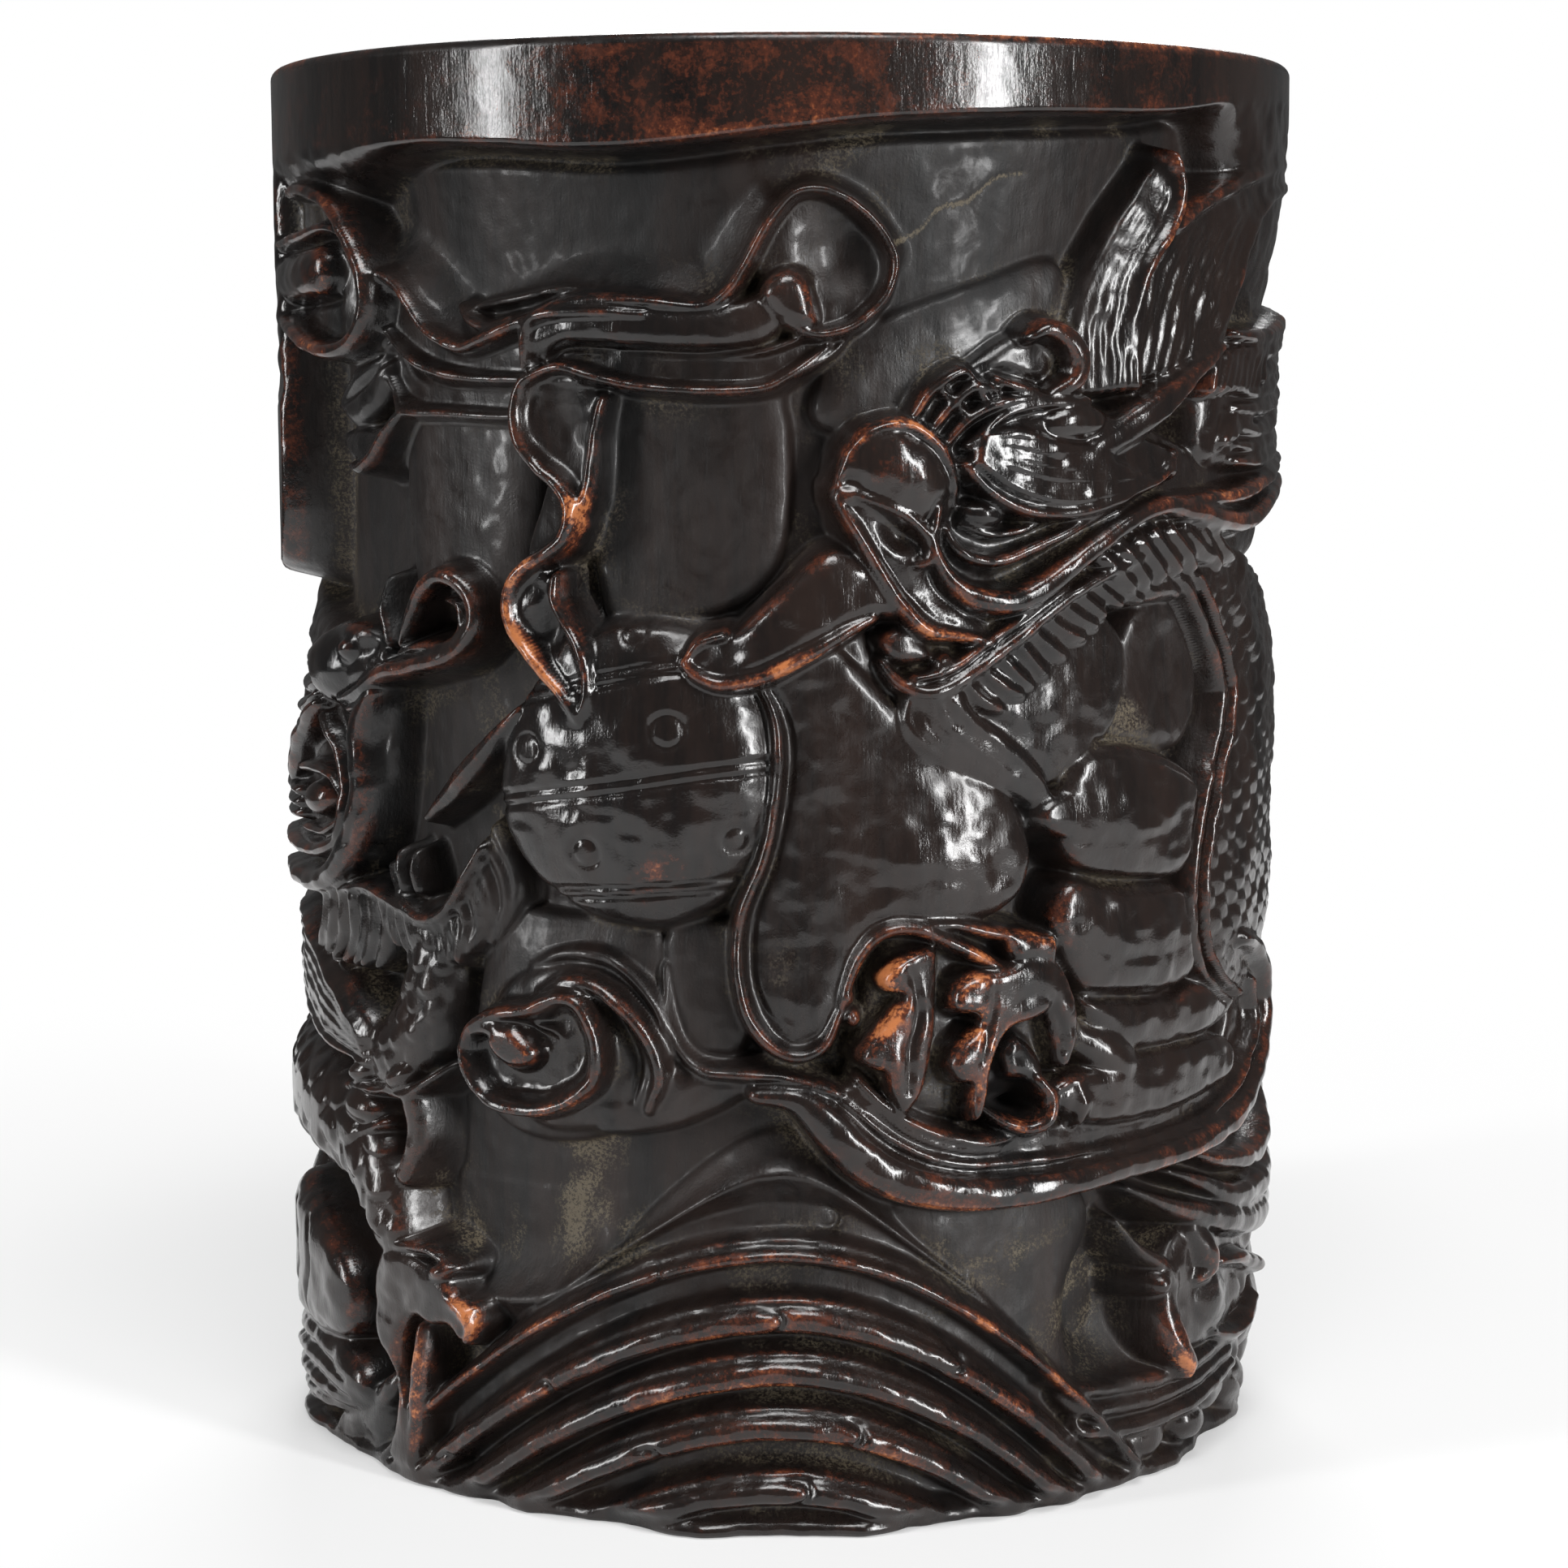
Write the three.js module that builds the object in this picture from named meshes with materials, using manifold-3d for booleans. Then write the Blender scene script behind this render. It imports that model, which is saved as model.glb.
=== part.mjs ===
// Carved wooden brush pot: one bored log with dragons, clouds and waves in high relief,
// a floor board let in from below, and a tapered plug in the hole through the board's heart.
// Millimetres, +Z up, origin at the centre of the foot, front of the pot towards -Y.
import * as THREE from "three";
import { mergeVertices } from "three/addons/utils/BufferGeometryUtils.js";
import Module from "manifold-3d";

const wasm = await Module();
wasm.setup();

// Pot
const HEIGHT = 160;
const RIM_RADIUS = 60;
const RIM_BAND = 10; // plain band under the mouth, measured at the front
const RIM_BAND_RISE = 5.5; // how much narrower the band is where its lower edge climbs
const RIM_EDGE_ROUND = 1.2;
const CARVING_DEPTH = 8.5; // from the rim's face down to the ground between the motifs
const COVE_HEIGHT = 5; // the hollow under the rim band
const FOOT_SPREAD = 2.5; // the ground runs out this far again towards the foot
const FOOT_SPREAD_HEIGHT = 16;
const WALL = 5.5; // from the ground to the bore

// Floor board and plug
const BOARD_LEDGE = 2.4; // shoulder that the board seats against
const BOARD_THICKNESS = 9;
const FOOT_RECESS = 3; // the board's underside above the foot
const PLUG_RADIUS_BELOW = 11;
const PLUG_RADIUS_ABOVE = 9.5;
const GLUE_GAP = 0.3;

// The carving is drawn on a sheet laid round the blank: u in degrees to the right of the
// front, v in ruled rows from the foot to the rim band, and a height as a share of the
// carving's depth.
const SHEET_ROWS = 150;
const ROOT = -0.2; // motifs start under the ground, so that they grow out of it
const CEILING = 0.985; // no motif stands quite as high as the rim's face
const TURN_STEPS = 48;

const GROUND_RADIUS = RIM_RADIUS - CARVING_DEPTH;
const BORE_RADIUS = GROUND_RADIUS - WALL;
const BOARD_SEAT_RADIUS = BORE_RADIUS + BOARD_LEDGE;
const FLOOR = FOOT_RECESS + BOARD_THICKNESS;

// Sections of a carved stroke, as [across, up] shares of its half width and height.
const ROUND = [[-0.8, 0.75], [0, 1], [0.8, 0.75]];
const RIDGE = [[0, 1]];
const LEFT_EDGE_UP = [[-1, 1], [0, 0.66], [1, 0.5]];

// Profiles of a carved pad, as [share of the outline, share of the height] towards its middle.
const DOME = [[1, 0.45], [0.85, 0.82], [0.5, 1]];
const CUSHION = [[1, 0.75], [0.82, 1]];
const BEAD = [[0.8, 1]];
const STUD = [[0.95, 1]];
const CUP = [[1, 1], [0.86, 0.95], [0.6, 0.62]];
const SLAB = [[1, 0.96], [0.97, 1], [0.5, 1]];

function onPot(u, v, h) {
  const angle = THREE.MathUtils.degToRad(u);
  const r = GROUND_RADIUS + Math.min(h, CEILING) * CARVING_DEPTH;
  const z = (v * (HEIGHT - RIM_BAND)) / SHEET_ROWS;
  return new THREE.Vector3(r * Math.sin(angle), -r * Math.cos(angle), z);
}

// A solid from rings of points that all go round the same way, closed by a fan at each end.
function loft(rings) {
  const count = rings[0].length;
  const points = rings.flat();
  const middle = (ring) =>
    ring.reduce((sum, p) => sum.add(p), new THREE.Vector3()).divideScalar(count);
  const first = points.push(middle(rings[0])) - 1;
  const last = points.push(middle(rings.at(-1))) - 1;
  const faces = [];
  for (let i = 0; i < count; i++) {
    const j = (i + 1) % count;
    for (let k = 1; k < rings.length; k++) {
      const a = (k - 1) * count;
      const b = k * count;
      faces.push([a + i, a + j, b + j], [a + i, b + j, b + i]);
    }
    const end = (rings.length - 1) * count;
    faces.push([first, j, i], [last, end + i, end + j]);
  }
  return solid(points, outward(points, faces));
}

function outward(points, faces) {
  const volume = faces.reduce((sum, [a, b, c]) => {
    const normal = new THREE.Vector3().crossVectors(points[b], points[c]);
    return sum + points[a].dot(normal);
  }, 0);
  return volume < 0 ? faces.map(([a, b, c]) => [a, c, b]) : faces;
}

function solid(points, faces) {
  const geometry = new THREE.BufferGeometry().setFromPoints(points).setIndex(faces.flat());
  const merged = mergeVertices(geometry, 1e-4);
  const vertProperties = new Float32Array(merged.attributes.position.array);
  const triVerts = new Uint32Array(merged.index.array);
  return new wasm.Manifold(new wasm.Mesh({ numProp: 3, vertProperties, triVerts }));
}

function geometryOf(body) {
  const mesh = body.getMesh();
  const geometry = new THREE.BufferGeometry();
  geometry.setAttribute("position", new THREE.BufferAttribute(mesh.vertProperties, 3));
  geometry.setIndex(new THREE.BufferAttribute(mesh.triVerts, 1));
  return geometry;
}

// Values of a smooth line through rows of numbers, at an even count of steps.
function smooth(rows, steps, closed = false) {
  const column = (k) => rows.map((row) => row[k] ?? 1);
  const line = (a, b) => {
    const along = column(a);
    const beside = column(b);
    const points = along.map((value, i) => new THREE.Vector3(value, beside[i], 0));
    return new THREE.CatmullRomCurve3(points, closed, "catmullrom", 0.5);
  };
  const place = line(0, 1);
  const size = line(2, 3);
  const stops = Array.from({ length: closed ? steps : steps + 1 }, (_, i) => i / steps);
  return stops.map((t) => {
    const p = place.getPoint(t);
    const s = size.getPoint(t);
    return [p.x, p.y, s.x, s.y];
  });
}

// A stroke of the gouge left standing: rows of [u, v, half width, height] along its crest.
function stroke(rows, section = ROUND, stepsPerSpan = 1) {
  const line = smooth(rows, (rows.length - 1) * stepsPerSpan);
  const rings = line.map(([u, v, width, height], i) => {
    const [u0, v0] = line[Math.max(i - 1, 0)];
    const [u1, v1] = line[Math.min(i + 1, line.length - 1)];
    const length = Math.hypot(u1 - u0, v1 - v0);
    const half = Math.max(width, 0.15);
    const across = [(-(v1 - v0) / length) * half, ((u1 - u0) / length) * half];
    const edge = (side, up) => onPot(u + across[0] * side, v + across[1] * side, up);
    const top = section.map(([side, up]) => edge(side, up * height));
    return [edge(-1, ROOT), ...top, edge(1, ROOT)];
  });
  return loft(rings);
}

// A pad with a smooth outline of [u, v] points, raised by a profile towards its middle.
function pad(outline, height, profile = DOME, stepsPerSpan = 1) {
  const edge = smooth(outline, outline.length * stepsPerSpan, true);
  const u0 = edge.reduce((sum, p) => sum + p[0], 0) / edge.length;
  const v0 = edge.reduce((sum, p) => sum + p[1], 0) / edge.length;
  const ring = (share, up) =>
    edge.map(([u, v]) => onPot(u0 + (u - u0) * share, v0 + (v - v0) * share, up));
  const roots = [ring(0.5, ROOT), ring(1, ROOT)];
  return loft([...roots, ...profile.map(([share, up]) => ring(share, up * height))]);
}

// A round or oval pad.
function boss([u, v], halfWidth, halfHeight, height, profile = DOME, sides = 8) {
  const outline = Array.from({ length: sides }, (_, i) => {
    const a = (2 * Math.PI * i) / sides;
    return [u + halfWidth * Math.cos(a), v + halfHeight * Math.sin(a)];
  });
  return pad(outline, height, profile, 1);
}

// The same rows with their places moved.
function placed(rows, [u, v]) {
  return rows.map(([a, b, width, height]) => [u + a, v + b, width, height]);
}

// A ring body round the axis, from a closed profile of [radius, height] pairs at each angle.
function ringBody(profileAt) {
  const count = profileAt(0).length;
  const points = [];
  const faces = [];
  for (let i = 0; i < TURN_STEPS; i++) {
    const u = (i * 360) / TURN_STEPS - 180;
    const a = THREE.MathUtils.degToRad(u);
    profileAt(u).forEach(([r, z], k) => {
      points.push(new THREE.Vector3(r * Math.sin(a), -r * Math.cos(a), z));
      const here = i * count;
      const next = ((i + 1) % TURN_STEPS) * count;
      const k1 = (k + 1) % count;
      faces.push([here + k, next + k, next + k1], [here + k, next + k1, here + k1]);
    });
  }
  return solid(points, outward(points, faces));
}

// The bored blank, with the ledge that the floor board seats against.
function boredBlank() {
  return ringBody(() => [
    [BOARD_SEAT_RADIUS, 0],
    [RIM_RADIUS, 0],
    [RIM_RADIUS, HEIGHT],
    [BORE_RADIUS, HEIGHT],
    [BORE_RADIUS, FLOOR],
    [BOARD_SEAT_RADIUS, FLOOR],
  ]);
}

// The wall under the carving: the ground, the cove and the rim band with its climbing edge.
function bandEdge(u) {
  const fromPeak = THREE.MathUtils.clamp((u - 75) / 85, -1, 1);
  return HEIGHT - RIM_BAND + RIM_BAND_RISE * Math.cos((fromPeak * Math.PI) / 2) ** 2;
}

function wall() {
  return ringBody((u) => {
    const edge = bandEdge(u);
    return [
      [BOARD_SEAT_RADIUS, 0],
      [GROUND_RADIUS + FOOT_SPREAD, 0],
      [GROUND_RADIUS, FOOT_SPREAD_HEIGHT],
      [GROUND_RADIUS, edge - COVE_HEIGHT],
      [GROUND_RADIUS + CARVING_DEPTH * 0.3, edge - COVE_HEIGHT * 0.35],
      [RIM_RADIUS - CARVING_DEPTH * 0.15, edge],
      [RIM_RADIUS, edge + RIM_EDGE_ROUND],
      [RIM_RADIUS, HEIGHT - RIM_EDGE_ROUND],
      [RIM_RADIUS - RIM_EDGE_ROUND, HEIGHT],
      [BORE_RADIUS + RIM_EDGE_ROUND, HEIGHT],
      [BORE_RADIUS, HEIGHT - RIM_EDGE_ROUND],
      [BORE_RADIUS, FLOOR],
      [BOARD_SEAT_RADIUS, FLOOR],
    ];
  });
}

// Breaking waves: rolls of water nested under one crest, lofted from one side to the other.
const WAVE_CREST = 38;
const WAVE_PITCH = 6.3;
const WAVE_CROWN = 16; // the crest bends over a crown of this radius, then runs straight
const WAVE_HEIGHT = 0.8;
const WAVE_TROUGH = 0.42;
const WAVE_STATIONS = 13;
const WAVE_OVERRUN = 1.03; // the rolls run on under the foot, where the blank ends them
const ROLL = [[0.1, WAVE_TROUGH], [0.2, WAVE_HEIGHT], [0.75, WAVE_HEIGHT * 0.95], [0.9, WAVE_TROUGH]];

function waves(middle, rolls, leftSlope, rightSlope) {
  const highest = WAVE_CREST - (6 - rolls) * WAVE_PITCH;
  const stations = Array.from({ length: WAVE_STATIONS }, (_, i) => {
    const share = ((2 * i) / (WAVE_STATIONS - 1) - 1) * WAVE_OVERRUN;
    const at = (depth, up) => {
      const crest = highest - depth;
      const crown = Math.max(WAVE_CROWN - 0.15 * depth, 4);
      const reach = Math.sqrt(Math.max(crest * (crest + 2 * crown), 9));
      const x = reach * share;
      const u = middle + x / (x < 0 ? leftSlope : rightSlope);
      return onPot(u, crest + crown - Math.hypot(crown, x), up);
    };
    const top = Array.from({ length: rolls }, (_, k) =>
      ROLL.map(([share, up]) => at((k + share) * WAVE_PITCH, up)),
    ).flat();
    const last = highest + 1;
    return [at(0, ROOT), ...top, at(last, WAVE_TROUGH), at(last, ROOT)];
  });
  return [loft(stations)];
}

// Clouds: broad rolled bands that end in scrolls, each scroll a cup with a curled middle.
function scroll([u, v], radius, height) {
  const curl = [u - 0.4 * radius, v - 0.35 * radius];
  return [
    boss([u, v], radius, radius, height * 0.9, CUP, 12),
    boss(curl, radius * 0.38, radius * 0.4, height, BEAD, 6),
  ];
}

function upperCloud() {
  const upper = [
    [-52, 134, 1.6, 0.85], [-44, 130.5, 2.6, 0.75], [-36, 126.8, 3, 0.7], [-27, 127.5, 3.2, 0.75],
    [-20, 129.8, 2.7, 0.9], [-8, 130, 2.6, 0.9], [-2, 134, 2.6, 0.85], [3, 140, 2, 0.75],
  ];
  const lower = [
    [-50, 127, 2.4, 0.7], [-45, 123.5, 2.2, 0.7], [-36, 122.8, 1.9, 0.65], [-27, 125, 1.8, 0.75],
    [-20, 125.6, 1.9, 0.8], [-8, 125.3, 1.9, 0.75], [0, 126, 2, 0.7], [7, 130.5, 1.2, 0.6],
  ];
  const leftCup = [
    [-78, 139], [-73, 145.5], [-60, 144], [-53, 138.5], [-51, 133], [-56, 128.7], [-64, 128.5],
    [-75, 131.5],
  ];
  return [
    stroke(upper),
    stroke(lower),
    pad(leftCup, 0.95, CUP),
    boss([-66, 136], 6, 3.4, 0.98, BEAD),
    ...scroll([5, 137], 7.2, 0.85),
    boss([-57, 124], 6, 3.6, 0.7),
    boss([-54, 118], 7, 3.2, 0.75),
  ];
}

function lowerCloud() {
  const roll = [
    [-16, 48, 3.5, 0.6], [-8, 48.5, 2.6, 0.7], [0, 48.8, 1.6, 0.8], [6, 45.5, 2.2, 0.85],
    [13, 40.5, 2.6, 0.9], [24, 38, 2.4, 0.95], [38, 38.5, 2.2, 0.97], [54, 39, 2, 0.97],
    [66, 40, 2, 0.97], [76, 42, 2, 0.97], [86, 47, 1.5, 0.95],
  ];
  const shelf = [[28, 42], [33, 48], [45, 49.5], [60, 50], [72, 50], [76, 46], [60, 41], [40, 41]];
  return [
    stroke(roll),
    pad(shelf, 0.75, CUSHION),
    boss([-25, 52], 10.5, 8.2, 0.62, CUSHION, 12),
    ...scroll([-28.5, 51.2], 7, 0.9),
  ];
}

// The twisted ribbon that falls from the cloud on to the ball.
function ribbon() {
  const rows = [
    [-23.5, 124.5, 3.8, 0.85], [-24, 119.5, 4.4, 0.85], [-23.6, 115, 3, 0.85],
    [-22.2, 111, 1.3, 0.85], [-24.6, 106.6, 1.6, 0.88], [-26.4, 102.5, 3, 0.9],
    [-25, 97.5, 3.7, 0.97], [-22.6, 92.5, 2.2, 0.97], [-20.8, 88.5, 0.5, 0.97],
  ];
  return [stroke(rows, LEFT_EDGE_UP, 2)];
}

// The studded ball with its incised hoops.
function ball() {
  const outline = [
    [-29, 93], [-22, 98.5], [-15, 100], [-6, 98], [-1, 92], [0, 84.5], [-1, 77], [-4, 70],
    [-12, 66], [-20, 66.2], [-28, 70], [-33.5, 77], [-33, 86],
  ];
  const studs = [[-16, 96.5], [-12, 88], [-28, 85], [-21, 75], [-5.5, 77]];
  return [
    pad(outline, 0.93, DOME),
    ...studs.map((place) => boss(place, 1.7, 1.7, 0.955, STUD, 6)),
  ];
}

const HOOPS = [
  [[-35, 79], [-26, 80.8], [-17, 82.2], [-8, 83.5], [1, 84.3]],
  [[-31, 69], [-24, 69.8], [-17, 70.6], [-10, 71.1], [-2, 71.6]],
];

function hoopCuts() {
  const bottoms = [0.55, 0.83, 0.86, 0.83, 0.55];
  return HOOPS.map((line) => {
    const rings = line.map(([u, v], i) => {
      const low = bottoms[i];
      return [onPot(u, v - 0.9, 1.2), onPot(u, v - 0.7, low), onPot(u, v + 0.7, low)];
    });
    return loft(rings);
  });
}

// The sea beast's smooth lobes between the ball and the foot, and the leaf from its mouth.
function lobes() {
  const boot = [
    [-2, 92], [-0.5, 83], [-2, 75], [-5, 66], [-3.5, 58], [1.5, 53.3], [6, 56.5], [9, 64.5],
    [17, 66.5], [24, 68], [27.5, 74], [25, 80], [16, 85], [9, 92], [3, 97],
  ];
  const inner = [[24, 90], [29, 96.5], [37, 98.5], [42, 95.5], [39, 88.5], [32, 83], [26, 84]];
  const leaf = [[-10, 94], [-5, 98.8], [1, 103.5], [7, 107], [11, 102], [5, 97.8], [-3, 93.6]];
  return [
    pad(boot, 0.66, CUSHION),
    pad(inner, 0.6, CUSHION),
    pad(leaf, 0.8, CUSHION),
    stroke([[-9.5, 94, 0.5, 0.95], [-3, 93.6, 0.8, 0.93], [3, 96.3, 0.8, 0.9], [9, 99.8, 0.6, 0.8]], RIDGE),
  ];
}

// The large dragon's head.
function head() {
  const skull = [
    [6, 110], [10, 119], [20, 122], [32, 123], [46, 120], [58, 116], [62, 109], [52, 104],
    [38, 101], [28, 96], [19, 95], [12, 100],
  ];
  const brow = [
    [19.5, 116], [24, 120], [31, 121.5], [38, 119], [45, 115], [42, 112.5], [35, 111], [27, 110.5],
  ];
  const muzzle = [
    [6, 111], [8, 117], [13, 119.5], [18, 115], [19, 108], [21, 101], [22, 97], [15, 99], [10, 105],
  ];
  const lip = [[6, 111, 0.8, 0.9], [10, 105, 1, 0.93], [14, 100, 1, 0.93], [22, 97, 1, 0.9]];
  const eyeFold = [
    [14, 112, 0.7, 0.9], [17, 107, 0.9, 0.92], [20, 104.5, 0.9, 0.9], [25, 105, 0.9, 0.88],
    [33, 109, 0.9, 0.9], [43, 112.8, 0.6, 0.86],
  ];
  const cheek = [
    [16, 107, 0.9, 0.94], [17.5, 103, 1.3, 0.96], [22, 100.8, 1.5, 0.98], [29, 103, 1.5, 0.98],
    [38, 109, 1.5, 0.98], [46, 111.3, 1.6, 0.98], [56, 109.3, 1.4, 0.98], [66, 109, 1.5, 0.98],
    [78, 112, 1, 0.96],
  ];
  const jaw = [[13, 91, 0.8, 0.7], [20, 94.2, 1, 0.82], [28, 99.7, 1.1, 0.86], [36, 104, 0.8, 0.8]];
  const horn = [[35, 116.5, 2.2, 0.92], [43, 120.5, 2.3, 0.97], [50, 124.6, 1.5, 0.98], [55, 128, 0.4, 0.95]];
  const hook = [[27.5, 129, 0.8, 0.9], [30.5, 130, 1.3, 0.97], [33, 127, 1.3, 0.95], [30.5, 123.5, 1.3, 0.9]];
  const forelocks = [
    [[15, 121, 0.9, 0.7], [19, 123.5, 1.2, 0.88], [22, 120.5, 0.8, 0.85]],
    [[19, 122, 0.9, 0.7], [23, 124.5, 1.2, 0.88], [26, 121.5, 0.8, 0.85]],
  ];
  return [
    pad(skull, 0.68, CUSHION),
    pad(muzzle, 0.84, CUSHION),
    boss([12, 115], 5.2, 4.7, 0.98, DOME, 10),
    pad(brow, 0.95, CUSHION),
    boss([33, 120], 2.8, 1.9, 0.98, BEAD, 8),
    boss([22.6, 110.3], 2.9, 1.7, 0.86, BEAD, 8),
    stroke(lip, RIDGE),
    stroke(eyeFold, RIDGE),
    stroke(cheek),
    stroke(jaw, RIDGE),
    stroke(horn),
    stroke(hook),
    ...forelocks.map((rows) => stroke(rows)),
  ];
}

// Mane, horn flames and beard of the large dragon.
function flame(outline, base, tip, height) {
  const [left, right] = base;
  const flutes = [0.2, 0.5, 0.8].map((share) => {
    const u = left[0] + (right[0] - left[0]) * share;
    const v = left[1] + (right[1] - left[1]) * share;
    const bend = [(u + tip[0]) / 2 - 2, (v + tip[1]) / 2];
    const rows = [[u, v, 0.9, height * 0.9], [...bend, 0.8, height * 1.05], [...tip, 0.3, height]];
    return stroke(rows, RIDGE);
  });
  return [pad(outline, height * 0.85, CUSHION), ...flutes];
}

function mane() {
  const first = [
    [35, 122], [35.5, 129], [38.5, 136], [43, 143], [46, 148], [48.5, 143], [46.5, 136], [43, 129],
    [42, 122],
  ];
  const second = [
    [43, 123], [46, 131], [49, 139], [58, 144.5], [70, 147.5], [70, 143], [63, 138], [58, 131],
    [52, 124],
  ];
  const hair = [0, 1, 2].map((i) => {
    const root = [54 + 5 * i, 117 + i, 1.8, 0.85];
    const bend = [66 + 5 * i, 123 + i, 1.7, 0.95];
    const tip = [82 + 3 * i, 128 + i, 0.4, 0.95];
    return stroke([root, bend, tip]);
  });
  return [
    ...flame(first, [[37, 124], [42, 124]], [46.5, 146], 0.88),
    ...flame(second, [[46, 127], [55, 127]], [67, 145], 0.92),
    ...hair,
  ];
}

function beard() {
  const row = (from, to, count, reach, height) =>
    Array.from({ length: count }, (_, i) => {
      const share = i / (count - 1);
      const u = from[0] + (to[0] - from[0]) * share;
      const v = from[1] + (to[1] - from[1]) * share;
      const rows = [
        [u, v, 1.5, height],
        [u + reach[0] * 0.5, v + reach[1] * 0.6, 1.4, height * 0.95],
        [u + reach[0], v + reach[1], 0.3, height * 0.6],
      ];
      return stroke(rows, RIDGE);
    });
  return [
    ...row([17, 92], [35, 101.5], 6, [4, -5], 0.82),
    ...row([40, 107], [54, 108], 3, [6, -5], 0.85),
    stroke([[16, 90, 2.2, 0.72], [20, 87, 3.4, 0.78], [26, 82.5, 2.6, 0.75], [32, 76.5, 0.4, 0.55]]),
  ];
}

// The large dragon's body: bellied inside the bend, scaled outside it.
function body() {
  const flank = [
    [52, 105], [60, 100], [63.5, 92], [62, 85], [57.5, 77], [55.5, 68], [58, 59], [65, 53],
    [78, 51.5], [92, 57], [98, 70], [98, 86], [92, 100], [80, 109], [64, 110],
  ];
  const bellies = [
    [[36, 92], [46, 98.5], [54, 97], [58, 90], [53, 84.5], [40, 85]],
    [[31, 80], [38, 84.3], [48, 83.3], [54, 79.5], [52, 71.5], [42, 70], [32, 72.5]],
    [[30, 67], [36, 70.5], [46, 69.2], [52, 67], [54, 60], [46, 57.2], [34, 58.5]],
    [[33, 53], [38, 56.4], [48, 56], [57, 56.5], [62, 52], [54, 49.5], [42, 49]],
  ];
  const seam = [
    [50, 103, 0.7, 0.85], [56.5, 98.5, 0.8, 0.9], [60, 91, 0.8, 0.92], [58, 83, 0.8, 0.93],
    [54, 76, 0.8, 0.93], [52.5, 68, 0.8, 0.93], [55, 59, 0.8, 0.92], [62, 52.5, 0.7, 0.9],
  ];
  return [
    pad(flank, 0.98, [[1, 0.86], [0.9, 1]]),
    ...bellies.map((outline, i) => pad(outline, i === 0 ? 0.6 : 0.86 - 0.04 * i, DOME)),
    stroke(seam, RIDGE),
  ];
}

// A clawed foot: a palm, toes bent over it and hooked claws, drawn pointing down.
function foot(place) {
  const palm = [[-8, 8, 1, 1], [0, 11, 1, 1], [9, 9, 1, 1], [11, 1, 1, 1], [4, -4, 1, 1], [-7, -2, 1, 1]];
  const toes = [
    [[-6, 7, 1.6, 0.75], [-9.5, 2, 1.9, 0.9], [-9, -3, 1.5, 0.88], [-6.5, -8, 0.4, 0.75]],
    [[0, 8, 1.8, 0.85], [-0.5, 4, 2, 0.97], [0.6, -2, 1.6, 0.96], [-0.3, -8.5, 0.4, 0.8]],
    [[5, 7, 1.7, 0.85], [9, 3, 1.8, 0.93], [10.5, -3, 1.4, 0.9], [8.5, -9.5, 0.4, 0.75]],
  ];
  return [
    pad(placed(palm, place), 0.6, CUSHION),
    ...toes.map((rows) => stroke(placed(rows, place))),
  ];
}

// The small dragon at the left: gaping jaws, curled nose, neck and scaled leg.
function smallDragon() {
  const face = [
    [-96, 101], [-78, 103], [-66, 97], [-56, 95], [-50, 88], [-52, 78], [-58, 70], [-70, 65],
    [-92, 64], [-98, 80],
  ];
  const whisker = [
    [-72, 90, 1.2, 0.9], [-60, 89, 1.4, 0.9], [-52, 92.5, 1.6, 0.92], [-43, 95.5, 1.7, 0.92],
    [-36.5, 98, 1.6, 0.9], [-36.5, 102, 1.4, 0.88], [-41, 103, 1.2, 0.85], [-44, 100, 1, 0.8],
  ];
  const cheek = [
    [-64, 88, 1.2, 0.92], [-55, 85, 1.7, 0.95], [-54, 76, 1.8, 0.97], [-59, 69, 1.7, 0.97],
    [-68, 65.5, 1.5, 0.97], [-82, 65, 1.2, 0.97],
  ];
  const neckAndLeg = [
    [-46, 66, 5, 0.62], [-46, 58, 5.4, 0.7], [-50, 51, 6, 0.78], [-54, 44, 7, 0.9],
    [-53, 36, 5.5, 0.92], [-49, 30, 4.5, 0.86], [-46, 25, 3.5, 0.8],
  ];
  const flank = [[-99, 56], [-80, 60], [-66, 54], [-60, 44], [-60, 34], [-70, 29], [-92, 30]];
  return [
    pad(face, 0.7, CUSHION),
    boss([-62.5, 92], 5.5, 5, 0.98, DOME, 10),
    boss([-68, 76.5], 4.5, 3.2, 0.97, BEAD, 8),
    stroke(whisker),
    stroke(cheek),
    stroke([[-56, 68, 1, 0.8], [-48, 66, 1.2, 0.82], [-41, 69, 1.2, 0.8], [-37, 74, 0.8, 0.6]]),
    stroke([[-44, 77, 0.6, 0.6], [-38, 82, 1, 0.7], [-32, 88, 0.6, 0.75]], RIDGE),
    ...[0, 1, 2].map((i) => stroke([[-51 + 7 * i, 68, 2.2, 0.72], [-49 + 7 * i, 61 - i, 0.4, 0.4]], RIDGE)),
    stroke(neckAndLeg),
    boss([-56, 42.5], 4, 2.6, 0.97, BEAD, 8),
    boss([-48, 47.5], 3, 2, 0.92, BEAD, 8),
    pad(flank, 0.95, CUSHION),
    stroke([[-50, 25, 2.8, 0.9], [-53, 19, 2, 0.92], [-51, 12, 1.6, 0.9], [-50, 2, 1.6, 0.85]]),
    stroke([[-49, 24, 2.2, 0.9], [-44, 23.4, 2, 0.9], [-39.5, 22, 1.3, 0.86], [-38, 18, 0.4, 0.75]]),
    stroke([[-47, 20, 0.8, 0.85], [-45.5, 14, 1, 0.85], [-48, 4, 1.2, 0.8]]),
    boss([-41.5, 25.6], 2.2, 1.6, 0.9, BEAD, 8),
  ];
}

// Rocks along the foot.
function rocks() {
  const places = [
    [-60, 8, 7, 7, 0.75], [-75, 16, 9, 8, 0.95], [-91, 11, 10, 10, 0.97],
    [60, 9, 13, 6, 0.72], [82, 13, 11, 10, 0.95], [84, 28, 8, 7, 0.97],
  ];
  return places.map(([u, v, ...size]) => boss([u, v], ...size, CUSHION));
}

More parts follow.
